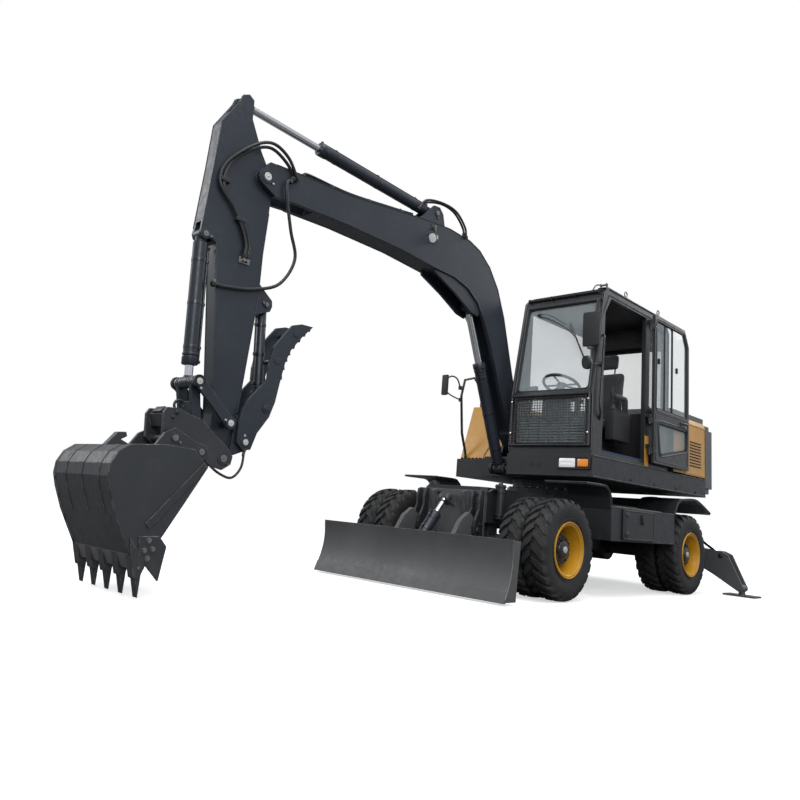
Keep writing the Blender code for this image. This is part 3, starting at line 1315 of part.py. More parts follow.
def engine_side_section(side):
    """The section of the bay's side panels, folded in a little along the top edge."""
    outer, inner = DECK_HALF_WIDTH, DECK_HALF_WIDTH - ENGINE_DOOR_THICKNESS
    section = [
        (inner, ENGINE_DOOR_BOTTOM),
        (outer, ENGINE_DOOR_BOTTOM),
        (outer, ENGINE_DOOR_TOP - ENGINE_DOOR_BEND),
        (outer - ENGINE_DOOR_BEND / 3, ENGINE_DOOR_TOP),
        (inner - ENGINE_DOOR_BEND / 3, ENGINE_DOOR_TOP),
        (inner, ENGINE_DOOR_TOP - ENGINE_DOOR_BEND),
    ]
    return [(side * x, z) for x, z in section]


def engine_door(side):
    return plate(engine_side_section(side), ENGINE_DOOR_FRONT_Y, ENGINE_DOOR_REAR_Y, "Y")


def tank_cover():
    """The yellow box over the tanks on the right, its front sloping back."""
    low = DECK_TOP + SEAT_GAP
    shares = [(0, 0), (0, TANK_FRONT_HEIGHT_SHARE), (TANK_SLOPE_SHARE, 1), (1, 1), (1, 0)]
    outline = scaled(shares, (TANK_FRONT_Y, low), (TANK_REAR_Y, TANK_TOP))
    return plate(outline, TANK_OUTER_X, TANK_INNER_X)


def engine_block():
    low = DECK_TOP + SEAT_GAP
    return box((-ENGINE_HALF_WIDTH, ENGINE_FRONT_Y, low), (ENGINE_HALF_WIDTH, ENGINE_REAR_Y, low + ENGINE_HEIGHT))


# The hand rail in front of the tank cover: shares from the deck to the rail's top
rail_shares = [(0, 0), (0, 0.06), (-0.38, 0.30), (-0.60, 0.74), (-0.40, 0.94), (0.35, 1.0), (1.0, 0.86), (1.0, 0.66)]
RAIL_FOOT_Y = -0.436
RAIL_END_Y = -0.190
RAIL_TOP = 2.290


def grab_rail():
    """A bent tube from the deck's edge over the slope to the top of the tank cover."""
    foot_z = DECK_TOP + SEAT_GAP
    line = scaled(rail_shares[:-1], (RAIL_FOOT_Y, foot_z), (RAIL_END_Y, RAIL_TOP))
    end = (RAIL_END_Y, TANK_TOP + SEAT_GAP)
    return tube([(RAIL_X, y, z) for y, z in [*line, end]], RAIL_RADIUS)


node("upper_frame", combine(upper_frame(), engine_bay()), upper, "dark_grey")
node("cab_shell", cab_shell(), upper, "cab_black")
node("seat", seat(), upper, "seat")
node("cab_console", cab_console(), upper, "dark_grey")
door_body = body("cab_door_body", (DOOR_HINGE_X, DOOR_HINGE_Y, DOOR_BOTTOM), upper)
node("cab_door", cab_door(), door_body, "cab_black")
node("counterweight", counterweight(), upper, "weight_grey")
hood_body = body("hood_body", (0, HOOD_FRONT_Y, HOOD_TOP), upper)
node("engine_hood", engine_hood(), hood_body, "dark_grey")
node("tank_cover", tank_cover(), upper, "yellow")
node("engine_block", engine_block(), upper, "iron")
node("grab_rail", grab_rail(), upper, "dark_grey")
for word, side in (("left", 1), ("right", -1)):
    door_body = body(f"engine_door_{word}_body", engine_door_hinge(side), upper)
    node(f"engine_door_{word}", engine_door(side), door_body, "yellow")


# Boom, arm and their cylinders. X places are measured from the boom's middle plane.

BOOM_LENGTH = 4.010
BOOM_ANGLE = 24.1
BOOM_FORK_HALF_GAP = 0.070
BOOM_FORK_DEPTH = 0.520
BOOM_BELLY_HALF_GAP = 0.076
BOOM_BELLY_EAR_WIDTH = 0.022
ARM_PIN_RADIUS = 0.030
ARM_HALF_WIDTH = 0.060
ARM_BOSS_RADIUS = 0.075
ARM_EAR_HALF_GAP = 0.034
ARM_TIP = (-4.360, 0.896)
BOOM_ROD_RADIUS = 0.037
BOOM_CLOSED_LENGTH = 1.190
ARM_CYLINDER_RADIUS = 0.052
ARM_ROD_RADIUS = 0.030
ARM_CYLINDER_PIN = 0.026
ARM_CLOSED_LENGTH = 1.520
ARM_CYLINDER_EYE_HALF = 0.050
ARM_ROD_EYE_HALF = 0.028

BUCKET_PIN_RADIUS = 0.028
SIDE_LINK_WIDTH = 0.022
THUMB_PLATE_WIDTH = 0.022

# Shares of the line from the boom's foot to the arm's pivot; the second column is upwards
boom_top_shares = [
    (1.010, 0.030), (0.925, 0.075), (0.827, 0.125), (0.696, 0.206), (0.607, 0.260), (0.542, 0.296),
    (0.467, 0.325), (0.422, 0.331), (0.367, 0.321), (0.311, 0.293), (0.252, 0.244), (0.148, 0.133),
    (0.080, 0.065), (0.020, 0.028),
]
boom_bottom_shares = [
    (0.090, 0.010), (0.163, 0.059), (0.263, 0.147), (0.313, 0.183), (0.361, 0.207), (0.412, 0.214),
    (0.466, 0.204), (0.525, 0.179), (0.651, 0.132), (0.806, 0.063), (0.914, 0.009), (0.965, -0.020),
]
boom_belly_shares = [
    (0.545, 0.195), (0.525, 0.170), (0.445, 0.174), (0.370, 0.172), (0.340, 0.180), (0.345, 0.215), (0.400, 0.240),
    (0.500, 0.220),
]
# The channel under the boom that the boom cylinder swings into at either end of its range
boom_channel_shares = [
    (0.065, -0.050), (0.065, 0.014), (0.100, 0.041), (0.185, 0.113), (0.280, 0.197), (0.340, 0.244), (0.370, 0.244),
    (0.400, 0.220), (0.420, 0.190), (0.420, 0.100), (0.300, 0.050), (0.160, -0.020),
]
BOOM_ROD_SHARE = (0.364, 0.198)
ARM_BASE_SHARE = (0.590, 0.305)
# Ears on the boom's back for the arm cylinder's base
boom_back_shares = [(0.540, 0.280), (0.572, 0.318), (0.590, 0.324), (0.608, 0.314), (0.640, 0.225)]

boom_angle = math.radians(BOOM_ANGLE)
ARM_PIVOT = (BOOM_FOOT[0] - BOOM_LENGTH * math.cos(boom_angle), BOOM_FOOT[1] + BOOM_LENGTH * math.sin(boom_angle))


def on_line(share, origin, toward):
    return framed([share], origin, toward)[0]


def boom_frame(shares):
    return framed(shares, BOOM_FOOT, ARM_PIVOT)


def arm_frame(shares):
    return framed(shares, ARM_PIVOT, ARM_TIP)


def boom_plate(outline, low, high):
    """A plate in the boom's own planes, between two distances from its middle plane."""
    return plate(outline, BOOM_X + low, BOOM_X + high)


def cross_pin(place, half, radius):
    return rod((BOOM_X - half, *place), (BOOM_X + half, *place), radius)


def cross_bore(place, half, pin_radius):
    return bore((BOOM_X - half, *place), (BOOM_X + half, *place), pin_radius)


def side_plates(outline, inner, width):
    """The same plate on both sides of the middle plane."""
    return [boom_plate(outline, *span(side, inner, inner + width)) for side in (-1, 1)]


boom_rod_pin = on_line(BOOM_ROD_SHARE, BOOM_FOOT, ARM_PIVOT)
arm_base_pin = on_line(ARM_BASE_SHARE, BOOM_FOOT, ARM_PIVOT)


def boom():
    """The bent box boom with a round foot, a forked nose, belly ears and back ears for the cylinders."""
    foot = arc(BOOM_FOOT, BOOM_BRACKET_RADIUS - CLEAR, 90 - BOOM_ANGLE, -90 - BOOM_ANGLE, 8)
    nose = arc(ARM_PIVOT, ARM_BOSS_RADIUS, 265 - BOOM_ANGLE, 135 - BOOM_ANGLE, 6)
    outline = boom_frame(boom_top_shares) + foot + boom_frame(boom_bottom_shares) + nose
    shape = boom_plate(outline, -BOOM_HALF_WIDTH, BOOM_HALF_WIDTH)
    back = boom_frame(boom_back_shares)
    inner = ARM_CYLINDER_RADIUS + CLEAR / 2
    joined = side_plates(boom_frame(boom_belly_shares), BOOM_BELLY_HALF_GAP, BOOM_BELLY_EAR_WIDTH)
    joined += side_plates(back, inner, BOOM_BELLY_EAR_WIDTH)
    joined.append(cross_pin(arm_base_pin, inner + BOOM_BELLY_EAR_WIDTH + PIN_HEAD, ARM_CYLINDER_PIN))
    fork = boom_plate(fork_outline(), -BOOM_FORK_HALF_GAP, BOOM_FORK_HALF_GAP)
    half = BOOM_BELLY_HALF_GAP - PIN_HEAD / 2
    channel = boom_plate(boom_frame(boom_channel_shares), -half, half)
    shape = cut(combine(shape, joined[:4]), [fork, channel])
    pins = [joined[4], cross_pin(ARM_PIVOT, BOOM_HALF_WIDTH + PIN_HEAD, ARM_PIN_RADIUS)]
    return cut(combine(shape, pins), [cross_bore(BOOM_FOOT, BOOM_HALF_WIDTH * 2, BOOM_PIN_RADIUS)])


def fork_outline():
    """The slot at the boom's nose in which the arm turns."""
    depth = BOOM_FORK_DEPTH / BOOM_LENGTH
    return boom_frame([(1 - depth, -0.1), (1 - depth * 0.9, 0.2), (1.1, 0.2), (1.1, -0.1)])


# Shares of the line from the arm's pivot to its tip; the second column is forwards
arm_shares = [
    (-0.275, 0.112), (-0.262, 0.135), (-0.235, 0.143), (-0.199, 0.161), (-0.125, 0.199), (0.042, 0.199),
    (0.262, 0.203), (0.283, 0.205), (0.298, 0.198),
    (0.302, 0.185), (0.290, 0.160), (0.300, 0.140), (0.489, 0.108), (0.698, 0.074), (0.860, 0.048), (0.935, 0.045),
    (0.998, 0.040), (1.024, 0.000), (1.000, -0.040), (0.921, -0.056), (0.841, -0.045), (0.598, -0.051),
    (0.436, -0.055), (0.275, -0.045), (0.120, -0.044), (-0.004, -0.040), (-0.089, 0.026), (-0.191, 0.084),
    (-0.262, 0.090),
]
ARM_ROD_SHARE = (-0.243, 0.112)
BUCKET_BASE_SHARE = (0.283, 0.185)
ROCKER_SHARE = (0.886, 0.004)
THUMB_BASE_SHARE = (0.445, -0.095)
THUMB_PIVOT_SHARE = (0.935, -0.078)
BUCKET_TIP_HALF = 0.100
ARM_TIP_BOSS = 0.048
ROCKER_BOSS_HALF = 0.128
ROCKER_PIN_RADIUS = 0.024
THUMB_EAR_HALF = 0.088
THUMB_PIN_RADIUS = 0.024
THUMB_CYLINDER_PIN = 0.018
THUMB_EYE_HALF = 0.034
BUCKET_CYLINDER_PIN = 0.024
BUCKET_EYE_HALF = 0.028
BUCKET_ROD_EYE_HALF = 0.050

arm_rod_pin = on_line(ARM_ROD_SHARE, ARM_PIVOT, ARM_TIP)
bucket_base_pin = on_line(BUCKET_BASE_SHARE, ARM_PIVOT, ARM_TIP)
rocker_pin = on_line(ROCKER_SHARE, ARM_PIVOT, ARM_TIP)
thumb_base_pin = on_line(THUMB_BASE_SHARE, ARM_PIVOT, ARM_TIP)
thumb_pivot = on_line(THUMB_PIVOT_SHARE, ARM_PIVOT, ARM_TIP)


def around(share, before, above, after, below):
    """A four-cornered slot about a place, in shares of the same line."""
    s, t = share
    return [(s - before, t - below), (s - before, t + above), (s + after, t + above), (s + after, t - below)]


# Clearance slots about the arm cylinder's rod eye and the bucket cylinder's base eye: before, above, after, below
ARM_TOP_SLOT_SHARES = (0.10, 0.10, 0.062, 0.10)
ARM_FRONT_SLOT_SHARES = (0.040, 0.10, 0.22, 0.035)
thumb_base_ear_shares = [(0.375, -0.045), (0.425, -0.116), (0.445, -0.120), (0.465, -0.114), (0.500, -0.045)]
thumb_ear_shares = [(0.850, -0.035), (0.900, -0.095), (0.930, -0.106), (0.960, -0.095), (0.990, -0.030)]


def arm():
    """The box arm: forked at the top for its own cylinder, with front ears for the bucket cylinder."""
    shape = boom_plate(arm_frame(arm_shares), -ARM_HALF_WIDTH, ARM_HALF_WIDTH)
    slots = []
    for share, sizes in ((ARM_ROD_SHARE, ARM_TOP_SLOT_SHARES), (BUCKET_BASE_SHARE, ARM_FRONT_SLOT_SHARES)):
        slots.append(boom_plate(arm_frame(around(share, *sizes)), -ARM_EAR_HALF_GAP, ARM_EAR_HALF_GAP))
    shape = cut(shape, slots)
    ear = THUMB_CYLINDER_RADIUS + CLEAR / 2
    joined = side_plates(arm_frame(thumb_base_ear_shares), ear, ARM_HALF_WIDTH - ear - PIN_HEAD)
    joined.append(cross_pin(thumb_base_pin, ARM_HALF_WIDTH + PIN_HEAD, THUMB_CYLINDER_PIN))
    joined.append(cross_pin(bucket_base_pin, ARM_HALF_WIDTH + PIN_HEAD, BUCKET_CYLINDER_PIN))
    joined.append(cross_pin(ARM_PIVOT, BOOM_FORK_HALF_GAP - CLEAR / 2, ARM_BOSS_RADIUS))
    joined.append(cross_pin(ARM_TIP, BUCKET_TIP_HALF, ARM_TIP_BOSS))
    joined.append(cross_pin(rocker_pin, ROCKER_BOSS_HALF, ROCKER_PIN_RADIUS + EYE_RING / 2))
    joined += side_plates(arm_frame(thumb_ear_shares), ARM_HALF_WIDTH - OVERRUN, THUMB_EAR_HALF - ARM_HALF_WIDTH + OVERRUN)
    holes = [
        cross_bore(ARM_PIVOT, BOOM_HALF_WIDTH * 2, ARM_PIN_RADIUS),
        cross_bore(ARM_TIP, BOOM_HALF_WIDTH * 2, BUCKET_PIN_RADIUS),
    ]
    shape = cut(combine(shape, joined), holes)
    reach = ROCKER_BOSS_HALF + SIDE_LINK_WIDTH + CLEAR * 2
    pins = [cross_pin(rocker_pin, reach, ROCKER_PIN_RADIUS)]
    pins.append(cross_pin(thumb_pivot, THUMB_EAR_HALF + THUMB_PLATE_WIDTH + CLEAR, THUMB_PIN_RADIUS))
    return combine(shape, pins)


# Rocker links, quick hitch, bucket and thumb

ROCKER_TOP = (-4.642, 1.392)
TOOTH_REACH = (-0.636, -0.880)
TOOTH_TIP = (ARM_TIP[0] + TOOTH_REACH[0], ARM_TIP[1] + TOOTH_REACH[1])
SIDE_LINK_RADIUS = 0.046
SIDE_LINK_WAIST = 0.034
LINK_STUB_INNER = 0.066
PUSH_LINK_INNER = 0.070
PUSH_LINK_WIDTH = 0.030
PUSH_LINK_RADIUS = 0.042
PUSH_LINK_BRIDGE = 0.090
HITCH_INNER = 0.106
HITCH_WIDTH = 0.022
HITCH_PIN_RADIUS = 0.024
HITCH_PIN_HALF = 0.195
HITCH_LINK_SHARE = (-0.017, 0.263)
HITCH_REAR_PIN_SHARE = (0.159, 0.363)
HITCH_FRONT_PIN_SHARE = (0.100, 0.171)
BUCKET_HALF_WIDTH = 0.400
BUCKET_SIDE_PLATE = 0.022
BUCKET_SHELL = 0.024
BUCKET_EAR_INNER = 0.166
BUCKET_EAR_WIDTH = 0.024
HOOK_HALF_WIDTH = 0.026
TOOTH_COUNT = 5
TOOTH_HALF_WIDTH = 0.028
CUTTER_WIDTH = 0.020
THUMB_ROD_SHARE = (0.278, 0.004)
THUMB_REACH = (0.500, 0.976)
THUMB_BAR_RADIUS = 0.020
BUCKET_CYLINDER_RADIUS = 0.052
BUCKET_ROD_RADIUS = 0.030
BUCKET_CLOSED_LENGTH = 1.000
THUMB_CYLINDER_RADIUS = 0.036
THUMB_ROD_RADIUS = 0.020
THUMB_CLOSED_LENGTH = 0.750

# Shares of the line from the bucket's pivot to its middle tooth; the second column is towards its back
bucket_wrap_shares = [
    (0.212, 0.162), (0.196, 0.299), (0.303, 0.459), (0.442, 0.612), (0.514, 0.635), (0.588, 0.623),
    (0.646, 0.586), (0.694, 0.523), (0.766, 0.404), (0.816, 0.299), (0.885, 0.150),
]
bucket_mouth_shares = [(0.855, 0.108), (0.678, 0.112)]
tooth_shares = [(0.845, 0.200), (1.0, 0.0), (0.850, 0.105)]
bucket_ear_shares = [
    (0.300, 0.430), (0.182, 0.434), (0.115, 0.403), (0.092, 0.300), (0.080, 0.239), (0.050, 0.174),
    (0.080, 0.120), (0.150, 0.125), (0.240, 0.186), (0.260, 0.300),
]
hook_shares = [
    (0.443, 0.600), (0.368, 0.597), (0.327, 0.596), (0.294, 0.560), (0.309, 0.537), (0.347, 0.552),
    (0.335, 0.500), (0.470, 0.590),
]
cutter_shares = [(0.766, 0.227), (0.690, 0.129), (0.704, 0.057), (0.869, -0.033), (0.850, 0.094), (0.833, 0.152)]
hitch_shares = [
    (0.081, 0.506), (0.040, 0.509), (-0.012, 0.448), (-0.033, 0.373), (-0.070, 0.283), (-0.067, 0.206),
    (-0.072, 0.018), (-0.055, -0.045), (-0.008, -0.068), (0.060, -0.043), (0.098, 0.042), (0.140, 0.170),
    (0.190, 0.320), (0.190, 0.410),
]
hitch_block_shares = [(0.074, 0.490), (0.030, 0.475), (0.070, 0.400), (0.118, 0.425)]
thumb_shares = [
    (1.0, 0.0), (0.951, -0.090), (0.892, -0.148), (0.782, -0.168), (0.659, -0.185), (0.531, -0.146),
    (0.448, -0.100), (0.246, -0.142), (0.164, -0.142), (0.077, -0.118), (-0.037, -0.055), (-0.055, 0.015),
    (-0.018, 0.060), (0.100, 0.041), (0.243, 0.059), (0.356, 0.041), (0.493, -0.005), (0.628, -0.047),
    (0.735, -0.059), (0.874, -0.036),
]
THUMB_BAR_SHARES = ((0.600, -0.110), (0.860, -0.090))


def tool_frame(shares):
    return framed(shares, ARM_TIP, TOOTH_TIP)


def link_outline(first, second, radius, waist):
    """A link's outline: a round eye at each end and straight sides between them."""
    first, second = Vector(first), Vector(second)
    angle = math.degrees(math.atan2(second.y - first.y, second.x - first.x))
    side = (second - first).normalized().orthogonal() * waist
    middle = (first + second) / 2
    near = arc(first, radius, angle + 60, angle + 300, 8)
    far = arc(second, radius, angle - 120, angle + 120, 8)
    return [*near, (middle.x - side.x, middle.y - side.y), *far, (middle.x + side.x, middle.y + side.y)]


hitch_link_pin = on_line(HITCH_LINK_SHARE, ARM_TIP, TOOTH_TIP)
SIDE_LINK_INNER = ROCKER_BOSS_HALF + CLEAR


def side_link(side):
    """One outer rocker link, with the stub pin that carries the push link."""
    low, high = span(side, SIDE_LINK_INNER, SIDE_LINK_INNER + SIDE_LINK_WIDTH)
    shape = boom_plate(link_outline(rocker_pin, ROCKER_TOP, SIDE_LINK_RADIUS, SIDE_LINK_WAIST), low, high)
    hole = cross_bore(rocker_pin, BOOM_HALF_WIDTH * 3, ROCKER_PIN_RADIUS)
    low, high = span(side, LINK_STUB_INNER, SIDE_LINK_INNER + SIDE_LINK_WIDTH / 2)
    y, z = ROCKER_TOP
    stub = rod((BOOM_X + low, y, z), (BOOM_X + high, y, z), ROCKER_PIN_RADIUS)
    return combine(cut(shape, [hole]), [stub])


def push_link():
    """Two plates joined by a bridge, from the rocker's stubs to the hitch."""
    outline = link_outline(ROCKER_TOP, hitch_link_pin, PUSH_LINK_RADIUS, PUSH_LINK_RADIUS * 0.8)
    first, second = side_plates(outline, PUSH_LINK_INNER, PUSH_LINK_WIDTH)
    top, bottom = Vector(ROCKER_TOP), Vector(hitch_link_pin)
    middle = top.lerp(bottom, 0.55)
    along = (bottom - top).normalized() * PUSH_LINK_BRIDGE / 2
    side = along.normalized().orthogonal() * PUSH_LINK_RADIUS * 0.6
    corners = [middle + along + side, middle - along + side, middle - along - side, middle + along - side]
    bridge = boom_plate([(p.x, p.y) for p in corners], -PUSH_LINK_INNER - OVERRUN, PUSH_LINK_INNER + OVERRUN)
    hole = cross_bore(ROCKER_TOP, BOOM_HALF_WIDTH * 2, ROCKER_PIN_RADIUS)
    return cut(combine(bridge, [first, second]), [hole])


def quick_hitch():
    """Two hitch plates with their block and the pins that the bucket hangs on."""
    outline = tool_frame(hitch_shares)
    first, second = side_plates(outline, HITCH_INNER, HITCH_WIDTH)
    block = boom_plate(tool_frame(hitch_block_shares), -HITCH_INNER - OVERRUN, HITCH_INNER + OVERRUN)
    pins = [cross_pin(ARM_TIP, HITCH_INNER + HITCH_WIDTH + CLEAR / 2, BUCKET_PIN_RADIUS)]
    for share in (HITCH_REAR_PIN_SHARE, HITCH_FRONT_PIN_SHARE):
        pins.append(cross_pin(on_line(share, ARM_TIP, TOOTH_TIP), HITCH_PIN_HALF, HITCH_PIN_RADIUS))
    return combine(block, [first, second, *pins])


def bucket():
    """A curved shell between two side plates, with ears for the hitch, a rear hook, side cutters and teeth."""
    wrap = thick_line(tool_frame(bucket_wrap_shares), BUCKET_SHELL, PIN_HEAD)
    wide = BUCKET_HALF_WIDTH
    shape = boom_plate(wrap, -wide + BUCKET_SIDE_PLATE / 2, wide - BUCKET_SIDE_PLATE / 2)
    sides = side_plates(tool_frame(bucket_wrap_shares + bucket_mouth_shares), wide - BUCKET_SIDE_PLATE, BUCKET_SIDE_PLATE)
    ears = side_plates(tool_frame(bucket_ear_shares), BUCKET_EAR_INNER, BUCKET_EAR_WIDTH)
    hook = boom_plate(tool_frame(hook_shares), -HOOK_HALF_WIDTH, HOOK_HALF_WIDTH)
    cutters = side_plates(tool_frame(cutter_shares), wide - BUCKET_SIDE_PLATE / 2, CUTTER_WIDTH)
    teeth = []
    step = 2 * (wide - TOOTH_HALF_WIDTH) / (TOOTH_COUNT - 1)
    for i in range(TOOTH_COUNT):
        x = TOOTH_HALF_WIDTH - wide + i * step
        teeth.append(boom_plate(tool_frame(tooth_shares), x - TOOTH_HALF_WIDTH, x + TOOTH_HALF_WIDTH))
    holes = []
    for share in (HITCH_REAR_PIN_SHARE, HITCH_FRONT_PIN_SHARE):
        holes.append(cross_bore(on_line(share, ARM_TIP, TOOTH_TIP), HITCH_PIN_HALF * 1.05, HITCH_PIN_RADIUS))
    shape = combine(shape, [*sides, hook, *teeth, *cutters])
    return cut(combine(shape, ears), holes)


THUMB_TIP = (thumb_pivot[0] + THUMB_REACH[0], thumb_pivot[1] + THUMB_REACH[1])
thumb_rod_pin = on_line(THUMB_ROD_SHARE, thumb_pivot, THUMB_TIP)


def thumb():
    """Two curved plates with cross bars, standing folded back along the arm."""
    inner = THUMB_EAR_HALF + CLEAR * 0.75
    plates = side_plates(framed(thumb_shares, thumb_pivot, THUMB_TIP), inner, THUMB_PLATE_WIDTH)
    bars = [cross_pin(on_line(share, thumb_pivot, THUMB_TIP), inner + OVERRUN, THUMB_BAR_RADIUS) for share in THUMB_BAR_SHARES]
    hole = cross_bore(thumb_pivot, BOOM_HALF_WIDTH * 2, THUMB_PIN_RADIUS)
    return cut(combine(bars[0], [bars[1], *plates]), [hole])


def on_boom_plane(place):
    return (BOOM_X, place[0], place[1])


boom_body = body("boom_body", on_boom_plane(BOOM_FOOT), upper)
node("boom", boom(), boom_body, "slate")
arm_body = body("arm_body", on_boom_plane(ARM_PIVOT), boom_body)
node("arm", arm(), arm_body, "slate")
rocker_body = body("rocker_body", on_boom_plane(rocker_pin), arm_body)
for word, side in (("left", 1), ("right", -1)):
    node(f"side_link_{word}", side_link(side), rocker_body, "slate")
push_body = body("push_link_body", on_boom_plane(ROCKER_TOP), rocker_body)
node("push_link", push_link(), push_body, "slate")
tool_body = body("bucket_body", on_boom_plane(ARM_TIP), arm_body)
node("quick_hitch", quick_hitch(), tool_body, "slate")
node("bucket", bucket(), tool_body, "bucket_grey")
thumb_body = body("thumb_body", on_boom_plane(thumb_pivot), arm_body)
node("thumb", thumb(), thumb_body, "slate")

# Columns: name, body that carries the base pin, base pin, rod pin, barrel, rod and pin radius, closed length, eyes' half widths
linkage_cylinders = (
    ("boom_cylinder", upper, BOOM_BASE_PIN, boom_rod_pin, BOOM_CYLINDER_RADIUS, BOOM_ROD_RADIUS,
     BOOM_CYLINDER_PIN, BOOM_CLOSED_LENGTH, (BOOM_CYLINDER_EYE_HALF, BOOM_CYLINDER_EYE_HALF)),
    ("arm_cylinder", boom_body, arm_base_pin, arm_rod_pin, ARM_CYLINDER_RADIUS, ARM_ROD_RADIUS,
     ARM_CYLINDER_PIN, ARM_CLOSED_LENGTH, (ARM_CYLINDER_EYE_HALF, ARM_ROD_EYE_HALF)),
    ("bucket_cylinder", arm_body, bucket_base_pin, ROCKER_TOP, BUCKET_CYLINDER_RADIUS, BUCKET_ROD_RADIUS,
     BUCKET_CYLINDER_PIN, BUCKET_CLOSED_LENGTH, (BUCKET_EYE_HALF, BUCKET_ROD_EYE_HALF)),
    ("thumb_cylinder", arm_body, thumb_base_pin, thumb_rod_pin, THUMB_CYLINDER_RADIUS, THUMB_ROD_RADIUS,
     THUMB_CYLINDER_PIN, THUMB_CLOSED_LENGTH, (THUMB_EYE_HALF, THUMB_EYE_HALF)),
)
for name, owner, base, tip, barrel, bar, pin, closed, eyes in linkage_cylinders:
    ends = (on_boom_plane(base), on_boom_plane(tip))
    add_cylinder(name, owner, ends, (barrel, bar, pin), closed, ACROSS_X, eyes)

# The machine stands over the middle of its length
front_y = min(y for y, z in tool_frame(bucket_wrap_shares))
machine.location.y = -(front_y + TAIL_RADIUS) / 2
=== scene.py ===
"""The finish of the wheeled excavator.

Materials, tyres, glass, hoses, pipes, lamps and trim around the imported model.
"""

import json
import math

import bmesh
import bpy
from mathutils import Matrix, Vector


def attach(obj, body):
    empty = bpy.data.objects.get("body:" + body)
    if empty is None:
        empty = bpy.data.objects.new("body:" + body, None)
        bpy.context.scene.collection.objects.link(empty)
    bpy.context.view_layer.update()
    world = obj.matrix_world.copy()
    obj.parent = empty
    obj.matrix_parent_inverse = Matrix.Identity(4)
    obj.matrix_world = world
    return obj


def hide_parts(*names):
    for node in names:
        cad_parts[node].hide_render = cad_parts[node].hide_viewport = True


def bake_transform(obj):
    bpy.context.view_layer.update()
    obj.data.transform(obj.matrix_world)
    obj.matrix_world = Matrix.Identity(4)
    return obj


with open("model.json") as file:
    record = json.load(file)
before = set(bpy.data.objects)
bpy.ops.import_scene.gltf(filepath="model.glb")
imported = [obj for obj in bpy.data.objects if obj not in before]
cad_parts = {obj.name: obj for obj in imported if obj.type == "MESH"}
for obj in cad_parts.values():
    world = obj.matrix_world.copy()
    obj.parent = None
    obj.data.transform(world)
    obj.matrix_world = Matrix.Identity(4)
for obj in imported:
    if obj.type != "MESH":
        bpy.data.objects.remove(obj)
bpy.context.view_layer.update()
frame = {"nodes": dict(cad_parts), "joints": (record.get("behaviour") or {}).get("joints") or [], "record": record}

# Joint places, from the frame

pins = {joint["name"]: Vector(joint["pos_m"]) for joint in frame["joints"] if "pos_m" in joint}
strokes = {joint["name"]: joint for joint in frame["joints"] if joint["type"] == "slide"}
MACHINE_Y = pins["swing"].y
BOOM_X = pins["boom_lift"].x


def at(x, y, z):
    """A place given from the swing axis, which is where the drawing starts."""
    return Vector((x, y + MACHINE_Y, z))


# Camera, fitted to the photograph

PHOTO_SIZE = 800
FOCAL_PIXELS = 725.4
CENTRE_PIXEL = (397.6, 361.4)
CAMERA_PLACE = (4.4285, -7.207, 0.649)
CAMERA_YAW = 0.7746
CAMERA_PITCH = 0.2009
CAMERA_ROLL = 0.0854


def make_camera():
    data = bpy.data.cameras.new("camera")
    data.sensor_width = 36
    data.lens = FOCAL_PIXELS / PHOTO_SIZE * data.sensor_width
    data.shift_x = (PHOTO_SIZE / 2 - CENTRE_PIXEL[0]) / PHOTO_SIZE
    data.shift_y = (CENTRE_PIXEL[1] - PHOTO_SIZE / 2) / PHOTO_SIZE
    camera = bpy.data.objects.new("camera", data)
    bpy.context.scene.collection.objects.link(camera)
    pitch, yaw = CAMERA_PITCH, CAMERA_YAW
    ahead = Vector((-math.sin(yaw) * math.cos(pitch), math.cos(yaw) * math.cos(pitch), math.sin(pitch)))
    right = ahead.cross(Vector((0, 0, 1))).normalized()
    up = right.cross(ahead)
    roll = Matrix.Rotation(CAMERA_ROLL, 3, -ahead)
    right, up = roll @ right, roll @ up
    turn = Matrix((right, up, -ahead)).transposed().to_4x4()
    camera.matrix_world = Matrix.Translation(at(*CAMERA_PLACE)) @ turn
    bpy.context.scene.camera = camera


make_camera()
bpy.context.scene.view_settings.view_transform = "Standard"

# Materials

EDGE_RADIUS = 0.006


